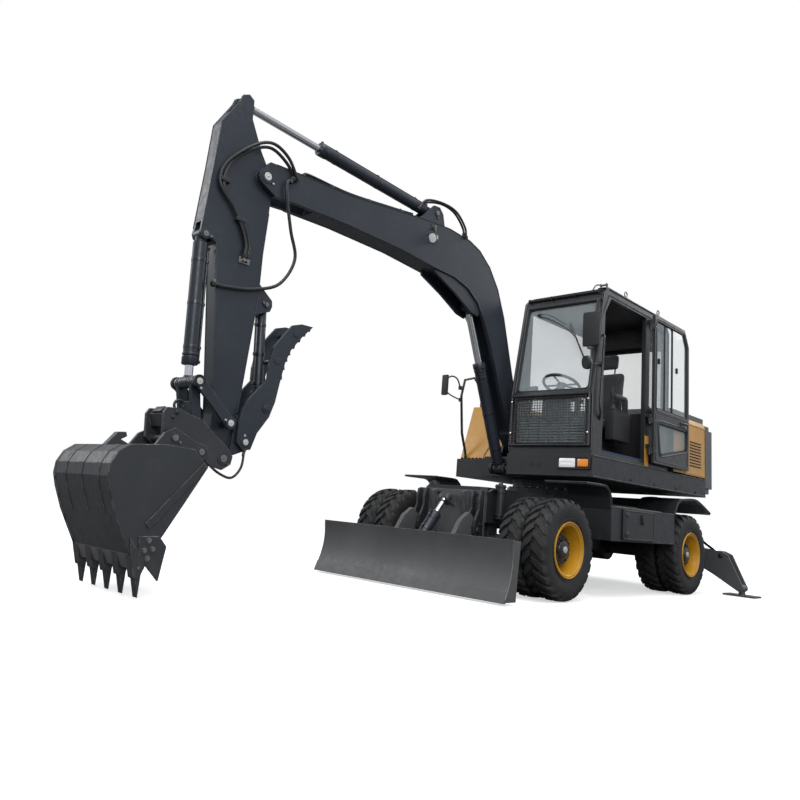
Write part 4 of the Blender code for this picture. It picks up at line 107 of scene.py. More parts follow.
class Look:
    """A material being made: its nodes, its links and its surface."""

    def __init__(self, name):
        self.material = bpy.data.materials.new(name)
        self.material.use_nodes = True
        self.nodes = self.material.node_tree.nodes
        self.links = self.material.node_tree.links
        self.surface = self.nodes["Principled BSDF"]

    def set(self, name, value):
        """Gives the surface a value, or links another node's output to it."""
        if isinstance(value, bpy.types.NodeSocket):
            self.links.new(value, self.surface.inputs[name])
        else:
            self.surface.inputs[name].default_value = value

    def noise(self, scale, detail=4, stretch=None):
        """A noise texture in the object's own space, optionally stretched along an axis."""
        places = self.nodes.new("ShaderNodeTexCoord").outputs["Object"]
        texture = self.nodes.new("ShaderNodeTexNoise")
        texture.inputs["Scale"].default_value = scale
        texture.inputs["Detail"].default_value = detail
        if stretch:
            mapping = self.nodes.new("ShaderNodeMapping")
            mapping.inputs["Scale"].default_value = stretch
            self.links.new(places, mapping.inputs["Vector"])
            places = mapping.outputs["Vector"]
        self.links.new(places, texture.inputs["Vector"])
        return texture.outputs["Fac"]

    def ramp(self, source, low, high, at_low=0, at_high=1):
        made = self.nodes.new("ShaderNodeMapRange")
        for name, value in (("From Min", low), ("From Max", high), ("To Min", at_low), ("To Max", at_high)):
            made.inputs[name].default_value = value
        self.links.new(source, made.inputs["Value"])
        return made.outputs["Result"]

    def times(self, first, second):
        made = self.nodes.new("ShaderNodeMath")
        made.operation = "MULTIPLY"
        made.use_clamp = True
        self.links.new(first, made.inputs[0])
        if isinstance(second, float):
            made.inputs[1].default_value = second
        else:
            self.links.new(second, made.inputs[1])
        return made.outputs[0]

    def mixed(self, factor, first, second):
        """Two colours, or a socket and a colour, mixed by a factor."""
        made = self.nodes.new("ShaderNodeMix")
        made.data_type = "RGBA"
        self.links.new(factor, made.inputs["Factor"])
        for socket, value in ((made.inputs[6], first), (made.inputs[7], second)):
            if isinstance(value, tuple):
                socket.default_value = (*value, 1)
            else:
                self.links.new(value, socket)
        return made.outputs[2]

    def edges(self, radius):
        """White along edges, where the rounded normal turns from the flat one, and the rounded normal."""
        rounded = self.nodes.new("ShaderNodeBevel")
        rounded.samples = 6
        rounded.inputs["Radius"].default_value = radius
        flat = self.nodes.new("ShaderNodeNewGeometry")
        dot = self.nodes.new("ShaderNodeVectorMath")
        dot.operation = "DOT_PRODUCT"
        self.links.new(rounded.outputs["Normal"], dot.inputs[0])
        self.links.new(flat.outputs["Normal"], dot.inputs[1])
        return self.ramp(dot.outputs["Value"], 0.99, 0.86), rounded.outputs["Normal"]

    def bumped(self, height, strength, distance, normal=None):
        made = self.nodes.new("ShaderNodeBump")
        made.inputs["Strength"].default_value = strength
        made.inputs["Distance"].default_value = distance
        self.links.new(height, made.inputs["Height"])
        if normal:
            self.links.new(normal, made.inputs["Normal"])
        return made.outputs["Normal"]


def darker(colour, share):
    return tuple(c * share for c in colour)


def paint(name, colour, roughness=0.4, dust=0.25, wear=0.5, worn=(0.20, 0.20, 0.20), coat=0.0, grime=None):
    """Painted steel: uneven gloss, dust in patches, grime, orange peel and edges worn to metal."""
    look = Look(name)
    edge, normal = look.edges(EDGE_RADIUS)
    broad = look.noise(2.2, 5)
    fine = look.noise(22, 7)
    streak = look.noise(7, 5, (1, 1, 0.10))
    base = look.mixed(look.ramp(broad, 0.35, 0.7), darker(colour, 0.80), colour)
    grime = grime or tuple(c * 0.45 + 0.02 for c in colour)
    base = look.mixed(look.ramp(streak, 0.56, 0.78, 0, 0.30), base, grime)
    dirty = look.times(look.ramp(broad, 0.48, 0.75), look.times(look.ramp(fine, 0.40, 0.80), dust))
    base = look.mixed(dirty, base, (0.22, 0.205, 0.185))
    chipped = look.times(look.times(edge, look.ramp(fine, 0.42, 0.6)), wear)
    look.set("Base Color", look.mixed(chipped, base, worn))
    look.set("Roughness", look.ramp(fine, 0.3, 0.8, roughness - 0.06, roughness + 0.12))
    look.set("Normal", look.bumped(fine, 0.05, 0.0015, normal))
    look.set("Coat Weight", coat)
    look.set("Coat Roughness", 0.15)
    return look.material


def metal(name, colour, roughness, brushed=0.05, scale=60):
    look = Look(name)
    look.set("Metallic", 1)
    lines = look.noise(scale, 3, (1, 1, 0.08))
    look.set("Base Color", look.mixed(lines, darker(colour, 0.85), colour))
    look.set("Roughness", look.ramp(lines, 0.3, 0.7, roughness, roughness + brushed))
    return look.material


def moulded(name, colour, roughness=0.55, grain=220, strength=0.25):
    """Moulded plastic or rubber with a fine grain."""
    look = Look(name)
    fine = look.noise(grain, 4)
    broad = look.noise(5, 4)
    look.set("Base Color", look.mixed(look.ramp(broad, 0.3, 0.7), darker(colour, 0.7), colour))
    look.set("Roughness", look.ramp(fine, 0.3, 0.7, roughness - 0.05, roughness + 0.1))
    look.set("Normal", look.bumped(fine, strength, 0.0015))
    return look.material


def tyre_rubber():
    """Black rubber with pale dust in its grain."""
    look = Look("tyre_rubber")
    fine = look.noise(120, 5)
    broad = look.noise(6, 5)
    base = look.mixed(look.ramp(broad, 0.35, 0.7), (0.012, 0.012, 0.013), (0.026, 0.025, 0.025))
    base = look.mixed(look.ramp(fine, 0.55, 0.8, 0, 0.35), base, (0.065, 0.061, 0.057))
    look.set("Base Color", base)
    look.set("Roughness", look.ramp(fine, 0.3, 0.7, 0.55, 0.8))
    look.set("Normal", look.bumped(fine, 0.2, 0.001))
    return look.material


def glass(name, tint, alpha):
    look = Look(name)
    smear = look.noise(7, 4)
    look.set("Base Color", (*tint, 1))
    look.set("Alpha", alpha)
    look.set("Specular IOR Level", 0.8)
    look.set("Roughness", look.ramp(smear, 0.4, 0.8, 0.02, 0.12))
    return look.material


def lamp_glass(name, colour, glow=0.15):
    look = Look(name)
    ribs = look.noise(90, 1, (1, 1, 4))
    look.set("Base Color", look.mixed(ribs, darker(colour, 0.7), colour))
    look.set("Roughness", 0.12)
    look.set("Emission Color", (*colour, 1))
    look.set("Emission Strength", glow)
    look.set("Coat Weight", 0.6)
    return look.material


def woven(name, colour):
    """Seat cloth: a small square weave."""
    look = Look(name)
    places = look.nodes.new("ShaderNodeTexCoord")
    weave = look.nodes.new("ShaderNodeTexChecker")
    weave.inputs["Scale"].default_value = 260
    look.links.new(places.outputs["Object"], weave.inputs["Vector"])
    broad = look.noise(8, 4)
    look.set("Base Color", look.mixed(look.ramp(broad, 0.3, 0.7), darker(colour, 0.7), colour))
    look.set("Roughness", 0.9)
    look.set("Sheen Weight", 0.3)
    look.set("Normal", look.bumped(weave.outputs["Fac"], 0.3, 0.0006))
    return look.material


BARE = (0.42, 0.41, 0.40)
slate = paint("slate_paint", (0.022, 0.028, 0.040), 0.36, 0.08, 0.30, (0.08, 0.09, 0.10))
bucket_grey = paint("bucket_paint", (0.036, 0.039, 0.043), 0.42, 0.16, 0.5, BARE)
blade_grey = paint("blade_paint", (0.090, 0.092, 0.095), 0.40, 0.10, 0.5, BARE)
frame_grey = paint("frame_paint", (0.020, 0.022, 0.026), 0.42, 0.14, 0.4, (0.12, 0.12, 0.12))
cab_grey = paint("cab_paint", (0.024, 0.025, 0.028), 0.34, 0.06, 0.30, (0.08, 0.08, 0.09), 0.1)
yellow = paint(
    "yellow_paint", (0.70, 0.34, 0.040), 0.34, 0.05, 0.25, (0.40, 0.22, 0.05), 0.15, (0.42, 0.17, 0.02)
)
rim_yellow = paint(
    "rim_paint", (0.64, 0.31, 0.012), 0.34, 0.10, 0.30, (0.30, 0.18, 0.04), 0.2, (0.34, 0.16, 0.02)
)
panel_grey = paint("panel_paint", (0.085, 0.088, 0.092), 0.38, 0.12, 0.30, (0.28, 0.28, 0.28), 0.1)
iron = paint("iron_paint", (0.040, 0.040, 0.043), 0.55, 0.45, 0.5, (0.15, 0.14, 0.13))
black_paint = paint("black_paint", (0.016, 0.016, 0.018), 0.30, 0.10, 0.3, (0.10, 0.10, 0.10), 0.3)
orange = paint("orange_paint", (0.85, 0.20, 0.02), 0.35, 0.08, 0.2, (0.5, 0.2, 0.05))
white_cap = paint("white_cap_paint", (0.62, 0.62, 0.60), 0.40, 0.12, 0.2, (0.4, 0.4, 0.4))
chrome = metal("chrome_plate", (0.80, 0.80, 0.82), 0.08, 0.06)
steel = metal("worn_steel", (0.30, 0.29, 0.285), 0.36, 0.14, 40)
mirror_face = metal("mirror_face", (0.85, 0.87, 0.88), 0.02, 0.02)
trim = moulded("cab_trim", (0.030, 0.030, 0.033))
hose_rubber = moulded("hose_rubber", (0.022, 0.022, 0.024), 0.42, 300, 0.4)
seal = moulded("window_seal", (0.012, 0.012, 0.013), 0.6)
cloth = woven("seat_cloth", (0.045, 0.046, 0.052))
rubber = tyre_rubber()
window = glass("window_glass", (0.60, 0.68, 0.70), 0.22)
clear_lamp = lamp_glass("clear_lamp", (0.80, 0.82, 0.82), 0.25)
amber_lamp = lamp_glass("amber_lamp", (0.90, 0.30, 0.03))
red_lamp = lamp_glass("red_lamp", (0.70, 0.03, 0.02))
blue_strip = moulded("blue_strip", (0.03, 0.12, 0.38), 0.35)
screen = moulded("dark_screen", (0.010, 0.012, 0.014), 0.15, 20, 0.0)

FINISHES = {
    "tyre": rubber, "rim_yellow": rim_yellow, "chrome_rod": chrome, "bucket_grey": bucket_grey,
    "slate_paint": slate, "blade_grey": blade_grey, "yellow_panel": yellow, "grey_panel": panel_grey,
    "cab_grey": cab_grey, "cab_trim": trim, "cast_iron": iron, "rail_black": black_paint,
    "frame_grey": frame_grey,
}
for part in frame["record"]["subparts"]:
    mesh = frame["nodes"][part["node"]].data
    mesh.materials.clear()
    mesh.materials.append(FINISHES[part["material_slot"]])

# Shapes


def places(*spots):
    """Places given from the swing axis, as a route."""
    return [at(*spot) for spot in spots]


def lerp(first, second, share):
    return first + (second - first) * share


def smooth_route(points, steps):
    """Points on a smooth curve through the route's own points."""
    points = [Vector(p) for p in points]
    ends = [points[0] * 2 - points[1], *points, points[-1] * 2 - points[-2]]
    route = []
    for i in range(1, len(ends) - 2):
        before, start, end, after = ends[i - 1 : i + 3]
        for k in range(steps):
            t = k / steps
            bend = (before * -1 + start * 3 - end * 3 + after) * t**3
            bow = (before * 2 - start * 5 + end * 4 - after) * t**2
            route.append((bend + bow + (end - before) * t + start * 2) / 2)
    route.append(points[-1])
    return route


def rounded(outline, radius, steps=4):
    """The outline with each corner turned into a small arc."""
    points = []
    for i, corner in enumerate(outline):
        corner = Vector(corner)
        before = (Vector(outline[i - 1]) - corner).normalized() * radius
        after = (Vector(outline[(i + 1) % len(outline)]) - corner).normalized() * radius
        for k in range(steps + 1):
            t = k / steps
            points.append(corner + before * (1 - t) ** 2 + after * t**2)
    return points


def span(side, near, far):
    """The two X places at these distances on one side, in order."""
    return sorted((side * near, side * far))


def side_name(side):
    return "left" if side > 0 else "right"


def round_x(angle):
    """A unit vector across X, at an angle round it."""
    return Vector((0, math.cos(angle), math.sin(angle)))


class Piece:
    """A mesh that collects shapes and then becomes one object on a body."""

    def __init__(self):
        self.work = bmesh.new()

    def soften(self, verts, bevel):
        """Rounds the edges between the given points."""
        edges = {edge for vert in verts for edge in vert.link_edges}
        bmesh.ops.bevel(self.work, geom=list(edges), offset=bevel, segments=2, affect="EDGES", profile=0.6)

    def box(self, low, high, bevel=0.0, turn=None):
        low, high = Vector(low), Vector(high)
        middle = (low + high) / 2
        size = Matrix.Diagonal((*(high - low), 1))
        place = Matrix.Translation(middle) @ (turn.to_4x4() if turn else Matrix.Identity(4)) @ size
        verts = bmesh.ops.create_cube(self.work, size=1, matrix=place)["verts"]
        if bevel:
            self.soften(verts, bevel)
        return self

    def rod(self, start, end, radius, sides=24, end_radius=None):
        start, end = Vector(start), Vector(end)
        turn = (end - start).to_track_quat("Z", "Y").to_matrix().to_4x4()
        bmesh.ops.create_cone(
            self.work,
            cap_ends=True,
            segments=sides,
            radius1=radius,
            radius2=radius if end_radius is None else end_radius,
            depth=(end - start).length,
            matrix=Matrix.Translation((start + end) / 2) @ turn,
        )
        return self

    def ball(self, centre, radius, squash=(1, 1, 1)):
        place = Matrix.Translation(Vector(centre)) @ Matrix.Diagonal((*squash, 1))
        bmesh.ops.create_uvsphere(self.work, u_segments=20, v_segments=12, radius=radius, matrix=place)
        return self

    def rings(self, rings, closed=False):
        """A skin over rings of points, each with as many points as the next."""
        made = [[self.work.verts.new(point) for point in ring] for ring in rings]
        pairs = list(zip(made, made[1:])) + ([(made[-1], made[0])] if closed else [])
        for first, second in pairs:
            for i in range(len(first)):
                k = (i + 1) % len(first)
                self.work.faces.new((first[i], first[k], second[k], second[i]))
        if not closed:
            self.work.faces.new(reversed(made[0]))
            self.work.faces.new(made[-1])
        return self

    def tube(self, points, radius, sides=12, steps=8, closed=False, straight=False):
        """A round tube along a smooth curve through the points, or straight between them."""
        route = [Vector(p) for p in points] if straight else smooth_route(points, steps)
        side = None
        rings = []
        for i, point in enumerate(route):
            ahead = (route[min(i + 1, len(route) - 1)] - route[max(i - 1, 0)]).normalized()
            if side is None:
                side = ahead.orthogonal().normalized()
            side = (side - ahead * side.dot(ahead)).normalized()
            across = ahead.cross(side)
            turns = [math.tau * k / sides for k in range(sides)]
            rings.append([point + (side * math.cos(a) + across * math.sin(a)) * radius for a in turns])
        return self.rings(rings, closed)

    def loop(self, points, radius, sides=6):
        """A round tube straight from point to point and back to the first."""
        return self.tube(points, radius, sides, closed=True, straight=True)

    def seam(self, outline, x, corner, radius, sides=6, steps=4):
        """A bead round a YZ outline with rounded corners, given from the swing axis."""
        points = rounded([(x, y, z) for y, z in outline], corner, steps)
        return self.loop([at(*point) for point in points], radius, sides)

    def slab(self, corners, low, high):
        """A block over corners in the plane of the boom, between two X places measured from them."""
        return self.rings([[corner + Vector((x, 0, 0)) for corner in corners] for x in (low, high)])

    def plate(self, outline, low, high, bevel=0.0):
        """A plate of a YZ outline, given from the swing axis, between two X places."""
        flats = [[at(x, y, z) for y, z in outline] for x in (low, high)]
        before = set(self.work.verts)
        self.rings(flats)
        if bevel:
            self.soften([vert for vert in self.work.verts if vert not in before], bevel)
        return self

    def turned(self, profile, origin, toward, steps=64):
        """A shape turned from a closed profile of points: the distance along the axis and the radius."""
        origin, toward = Vector(origin), Vector(toward).normalized()
        side = toward.orthogonal().normalized()
        across = toward.cross(side)
        rings = []
        for k in range(steps):
            angle = math.tau * k / steps
            out = side * math.cos(angle) + across * math.sin(angle)
            rings.append([origin + toward * along + out * radius for along, radius in profile])
        return self.rings(rings, closed=True)

    def box_at(self, place, size, angle):
        """A small block turned about X."""
        half = Vector(size) / 2
        return self.box(Vector(place) - half, Vector(place) + half, 0.0, Matrix.Rotation(angle, 3, "X"))

    def bolt(self, place, toward, size=0.012, height=0.009):
        """A hexagon head on a washer."""
        place, toward = Vector(place), Vector(toward).normalized()
        self.rod(place, place + toward * height * 0.25, size * 1.35, 20)
        return self.rod(place + toward * height * 0.25, place + toward * height, size, 6)

    def make(self, name, body, finish, slot, replaces=(), smooth=35):
        bmesh.ops.recalc_face_normals(self.work, faces=self.work.faces)
        mesh = bpy.data.meshes.new(name)
        self.work.to_mesh(mesh)
        self.work.free()
        mesh.materials.append(finish)
        mesh.shade_smooth()
        mesh.set_sharp_from_angle(angle=math.radians(smooth))
        made = bpy.data.objects.new(name, mesh)
        bpy.context.scene.collection.objects.link(made)
        if body:
            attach(made, body)
        if replaces:
            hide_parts(*replaces)
        return made


# Wheels

TYRE_RADIUS = 0.4325
TYRE_WIDTH = 0.235
TWIN_STEP = 0.245
BEAD_RADIUS = 0.2125
LUGS_ROUND = 24
LUG_HALF_WIDTH = 0.034
RIM_DEPTH = 0.20
WHEEL_WIDTH = TWIN_STEP + TYRE_WIDTH
HUB_RADIUS = 0.118
HUB_INSET = 0.050
WHEEL_NUTS = 10
NUT_CIRCLE = 0.148
HUB_BOLTS = 12

# Half of a tyre's section: shares of its width, and of its wall's height
tyre_shares = [
    (0.080, 0.00), (0.070, 0.06), (0.075, 0.10), (0.030, 0.24), (0.006, 0.42), (0.000, 0.56), (0.010, 0.70),
    (0.040, 0.80), (0.075, 0.85), (0.120, 0.880), (0.200, 0.890), (0.350, 0.895),
]
# A lug's stations: share of the tyre's width, depths of its top and foot, turn and spread
lug_shares = [
    (0.510, 0.000, 0.034, 0.000, 0.66), (0.620, 0.000, 0.034, 0.052, 0.86),
    (0.720, 0.001, 0.034, 0.076, 1.00), (0.830, 0.004, 0.038, 0.150, 1.02),
    (0.910, 0.010, 0.046, 0.196, 1.06), (0.960, 0.026, 0.056, 0.215, 1.04),
    (0.988, 0.062, 0.082, 0.225, 0.92),
]


def tyre_section():
    wall = TYRE_RADIUS - BEAD_RADIUS
    rising = [(TYRE_WIDTH * a, BEAD_RADIUS + wall * r) for a, r in tyre_shares]
    return rising + [(TYRE_WIDTH - a, r) for a, r in reversed(rising)]


def add_tread(piece, start, out, phase):
    """Two rows of slanting lugs, half a step apart, from the middle of the tread over each shoulder."""
    for row in (0, 1):
        for k in range(LUGS_ROUND):
            centre = math.tau * (k + row / 2 + phase) / LUGS_ROUND
            rings = []
            for share, top, foot, slant, wide in lug_shares:
                along = share if row else 1 - share
                spread = LUG_HALF_WIDTH / TYRE_RADIUS * wide
                ring = []
                for turn, depth in ((-1, foot), (1, foot), (0.86, top), (-0.86, top)):
                    angle = centre + slant + spread * turn
                    radius = TYRE_RADIUS - 0.0005 - depth
                    across = round_x(angle) * radius
                    ring.append(start + out * (TYRE_WIDTH * along) + across)
                rings.append(ring)
            piece.rings(rings)


def rim_section():
    """The wheel's section from its inner flange out, down into the dish and back."""
    seat = BEAD_RADIUS - 0.002
    face = WHEEL_WIDTH - RIM_DEPTH
    return [
        (0.000, 0.237), (0.010, 0.240), (0.016, 0.236), (0.016, seat), (WHEEL_WIDTH - 0.016, seat),
        (WHEEL_WIDTH - 0.016, 0.236), (WHEEL_WIDTH - 0.010, 0.240), (WHEEL_WIDTH, 0.237),
        (WHEEL_WIDTH, 0.229), (WHEEL_WIDTH - 0.010, 0.226), (WHEEL_WIDTH - 0.014, 0.205),
        (WHEEL_WIDTH - 0.045, 0.200), (WHEEL_WIDTH - 0.060, 0.194), (face + 0.060, 0.190),
        (face + 0.030, 0.184), (face + 0.012, 0.172), (face + 0.004, 0.155), (face, 0.135), (face, 0.020),
        (face - 0.022, 0.020), (face - 0.022, 0.165), (face - 0.040, 0.190), (0.020, 0.196),
        (0.000, 0.228),
    ]


def make_wheel(place, side):
    """Twin tyres with their tread, a dished rim with its hub, nuts and cap."""
    word = side_name(side)
    body = f"wheel_{place}_{word}"
    centre = pins[f"{body}_spin"]
    out = Vector((side, 0, 0))
    tyres = Piece()
    for k in (0, 1):
        start = centre + out * TWIN_STEP * k
        tyres.turned(tyre_section(), start, out, 96)
        add_tread(tyres, start, out, 0.3 * k)
        for ring_radius, height in ((0.262, 0.0035), (0.345, 0.003)):
            for end in (0, 1):
                face = start + out * (TYRE_WIDTH * end)
                sign = 1 if end else -1
                ridge = [
                    (-0.006 * sign, ring_radius - 0.006), (height * sign * 0.4, ring_radius),
                    (-0.006 * sign, ring_radius + 0.006),
                ]
                tyres.turned(ridge, face - out * 0.004 * sign, out, 72)
    tyres.make(f"{place}_{word}_tyres", body, rubber, "tyre", [f"tyre_{place}_{word}"])
    rim = Piece().turned(rim_section(), centre, out, 80)
    lock_ring = [
        (WHEEL_WIDTH - 0.020, 0.208), (WHEEL_WIDTH - 0.009, 0.213), (WHEEL_WIDTH - 0.007, 0.222),
        (WHEEL_WIDTH - 0.020, 0.222),
    ]
    rim.turned(lock_ring, centre, out, 80)
    rim.make(f"{place}_{word}_rim", body, rim_yellow, "rim_yellow", [f"rim_{place}_{word}"])
    face = WHEEL_WIDTH - RIM_DEPTH
    end = WHEEL_WIDTH - HUB_INSET
    hub = Piece()
    hub_profile = [
        (face - 0.080, 0.055), (face - 0.080, HUB_RADIUS), (face + 0.010, HUB_RADIUS),
        (face + 0.016, HUB_RADIUS + 0.012), (end - 0.034, HUB_RADIUS + 0.010),
        (end - 0.026, HUB_RADIUS + 0.002), (end - 0.026, 0.084), (end - 0.010, 0.080),
        (end - 0.004, 0.074), (end, 0.060), (end, 0.028), (end - 0.010, 0.020),
    ]
    hub.turned(hub_profile, centre, out, 64)
    for k in range(HUB_BOLTS):
        angle = math.tau * k / HUB_BOLTS
        across = round_x(angle)
        hub.bolt(centre + out * (end - 0.027) + across * 0.103, out, 0.0085, 0.014)
        hub.box_at(
            centre + out * (end - 0.060) + across * (HUB_RADIUS + 0.012), (0.030, 0.005, 0.008), angle
        )
    hub.make(f"{place}_{word}_hub", body, black_paint, "frame_grey")
    cap = Piece().rod(centre + out * (end - 0.012), centre + out * (end + 0.010), 0.030, 32, 0.027)
    cap.rod(centre + out * (end + 0.010), centre + out * (end + 0.016), 0.012, 6)
    cap.make(f"{place}_{word}_hub_cap", body, white_cap, "rim_yellow")
    nuts = Piece()
    for k in range(WHEEL_NUTS):
        angle = math.tau * (k + 0.5) / WHEEL_NUTS
        across = round_x(angle) * NUT_CIRCLE
        foot = centre + out * face + across
        nuts.rod(foot - out * 0.004, foot + out * 0.006, 0.017, 20, 0.015)
        nuts.rod(foot + out * 0.006, foot + out * 0.026, 0.0145, 6)
        nuts.rod(foot + out * 0.026, foot + out * 0.040, 0.008, 12)
    nuts.make(f"{place}_{word}_nuts", body, steel, "cast_iron")
    valve = centre + out * (face + 0.030) + Vector((0, 0, 0.172))
    stem = Piece().tube([valve, valve + out * 0.03 - Vector((0, 0, 0.006)), valve + out * 0.07], 0.004, 8)
    stem.make(f"{place}_{word}_valve", body, steel, "chrome_rod")


for place in ("front", "rear"):
    for side in (1, -1):
        make_wheel(place, side)

# Hydraulic cylinders

# Name: barrel, rod and pin radii, half width of the rod's eye, and the side that the pipe is on
CYLINDERS = {
    "boom_cylinder": (0.060, 0.037, 0.030, 0.056, -1),
    "arm_cylinder": (0.052, 0.030, 0.026, 0.028, 1),
    "bucket_cylinder": (0.052, 0.030, 0.024, 0.050, -1),
    "thumb_cylinder": (0.036, 0.020, 0.018, 0.034, 1),
    "blade_cylinder": (0.050, 0.026, 0.018, 0.028, -1),
    "outrigger_cylinder_left": (0.046, 0.024, 0.018, 0.028, 1),
    "outrigger_cylinder_right": (0.046, 0.024, 0.018, 0.028, 1),
}
EYE_RING = 0.020


def reach_of(node, base, along, furthest=max):
    """How far a node goes along an axis from a place, at its furthest or its nearest."""
    return furthest((vert.co - base).dot(along) for vert in frame["nodes"][node].data.vertices)


def make_cylinder(name, barrel, rod, pin, eye_half, pipe_side):
    """A barrel with its gland, base eye and feed pipe, and a chromed rod with its eye."""
    base = pins[f"{name}_swing"]
    along = Vector(strokes[f"{name}_stroke"]["axis"]).normalized()
    across = Vector((0, 1, 0)) if "outrigger" in name else Vector((1, 0, 0))
    out = along.cross(across).normalized() * pipe_side
    length = reach_of(f"{name}_barrel", base, along)
    tip = base + along * (reach_of(f"{name}_rod", base, along) - pin - EYE_RING)
    eye = pin + EYE_RING
    tube = Piece()
    section = [
        (eye + 0.006, barrel * 0.86), (eye + 0.014, barrel), (length - 0.085, barrel),
        (length - 0.083, barrel + 0.0045), (length - 0.070, barrel + 0.0045),
        (length - 0.066, barrel - 0.002), (length - 0.060, barrel - 0.002),
        (length - 0.058, barrel + 0.005), (length - 0.008, barrel + 0.005),
        (length - 0.002, barrel + 0.001), (length, barrel - 0.012), (length, rod + 0.006),
        (length + 0.003, rod + 0.004), (length + 0.003, rod + 0.0006), (length - 0.050, rod + 0.0006),
    ]
    tube.turned(section, base, along, 40)
    tube.rod(base + along * (eye * 0.5), base + along * (eye + 0.012), barrel * 0.80, 24)
    half = 0.9 * eye_half if name != "arm_cylinder" else 0.045
    ring = [
        (-half, pin + 0.001), (-half, eye - 0.003), (-half + 0.003, eye), (half - 0.003, eye),
        (half, eye - 0.003), (half, pin + 0.001),
    ]
    tube.turned(ring, base, across, 40)
    tube.make(f"{name}_tube", f"{name}_barrel", slate, "slate_paint", [f"{name}_barrel"])
    feed = Piece()
    low, high = eye + 0.045, length - 0.030
    away = barrel + 0.014
    pipe = 0.0075 if barrel > 0.04 else 0.006
    route = [
        along * low + out * (barrel - 0.004),
        along * low + out * away,
        along * (low + 0.03) + out * away,
        along * (high - 0.03) + out * away,
        along * high + out * away,
        along * high + out * (barrel - 0.004),
    ]
    feed.tube([base + p for p in route], pipe, 10, straight=True)
    for share in (0.12, 0.5, 0.88):
        spot = lerp(low, high, share)
        strap = [
            (spot - 0.012, barrel - 0.001), (spot - 0.012, barrel + 0.0025),
            (spot + 0.012, barrel + 0.0025), (spot + 0.012, barrel - 0.001),
        ]
        feed.turned(strap, base, along, 32)
        feed.rod(
            base + along * (spot - 0.010) + out * away,
            base + along * (spot + 0.010) + out * away,
            pipe + 0.005, 12,
        )
    for spot in (low, high):
        feed.rod(
            base + along * spot + out * (barrel - 0.006),
            base + along * spot + out * (away + 0.010),
            0.014, 6,
        )
    feed.make(f"{name}_feed", f"{name}_barrel", black_paint, "frame_grey")
    inner_end = reach_of(f"{name}_rod", base, along, min)
    bar = Piece().rod(base + along * inner_end, tip - along * eye * 0.7, rod, 40)
    bar.make(f"{name}_bar", f"{name}_rod", chrome, "chrome_rod", [f"{name}_rod"])
    head = Piece()
    ring = [
        (-eye_half, pin * 0.30), (-eye_half, eye - 0.004), (-eye_half + 0.004, eye),
        (eye_half - 0.004, eye), (eye_half, eye - 0.004), (eye_half, pin * 0.30),
    ]
    head.turned(ring, tip, across, 40)
    shank = 0.003 if name == "bucket_cylinder" else 0.030
    head.rod(
        tip - along * (eye + shank), tip - along * eye * 0.6, rod + 0.002, 32, min(eye_half, eye) * 0.85
    )
    head.make(f"{name}_eye", f"{name}_rod", slate, "slate_paint")


for name, sizes in CYLINDERS.items():
    make_cylinder(name, *sizes)

# Cab glass and seals

CAB = (0.105, 1.030)
CAB_FACE_Y = -1.060
CAB_BEND_Z = 1.900
CAB_RAKE = 0.1748
GLASS = (0.163, 0.972)
LEAF = (1.079, 1.109)


def face_y(z, inset=0.0):
    """The cab's front face, upright below its bend and raked above it."""
    return CAB_FACE_Y + max(0, z - CAB_BEND_Z) * CAB_RAKE + inset


def side_pane(name, body, outline, x, radius, seal_radius=0.009):
    """Glass in a YZ outline with a rubber seal round it."""
    shape = [(p.y, p.z) for p in rounded([(0, y, z) for y, z in outline], radius)]
    Piece().plate(shape, x - 0.003, x + 0.003).make(f"{name}_glass", body, window, "glass")
    bead = Piece().loop([at(x, y, z) for y, z in shape], seal_radius, 8)
    bead.make(f"{name}_seal", body, seal, "cab_trim")


def cross_pane(name, low, high, radius, pane_y, seal_face):
    """Glass across the cab between two heights, with a seal round its front or its rear face."""
    corners = [(GLASS[0], 0, low), (GLASS[1], 0, low), (GLASS[1], 0, high), (GLASS[0], 0, high)]
    outline = rounded(corners, radius)
    faces = [[at(p.x, pane_y(p.z) + step, p.z) for p in outline] for step in (0, 0.006)]
    Piece().rings(faces).make(f"{name}_glass", "upper", window, "glass")
    Piece().loop(faces[seal_face], 0.010, 8).make(f"{name}_seal", "upper", seal, "cab_trim")


def front_glass_y(z):
    return face_y(z, 0.016)


def rear_glass_y(_):
    return 0.594


right_side = [(-0.795, 1.755), (0.515, 1.755), (0.515, 2.845), (-0.795, 2.845)]
quarter = [(0.145, 1.935), (0.515, 1.935), (0.515, 2.845), (0.145, 2.845)]
cross_pane("windscreen", 1.936, 2.850, 0.05, front_glass_y, 0)
cross_pane("lower_front", 1.405, 1.856, 0.05, front_glass_y, 0)
side_pane("right_side", "upper", right_side, CAB[0] + 0.018, 0.07)
side_pane("quarter", "upper", quarter, CAB[1] - 0.018, 0.07)
cross_pane("rear", 1.935, 2.670, 0.06, rear_glass_y, 1)

# Door

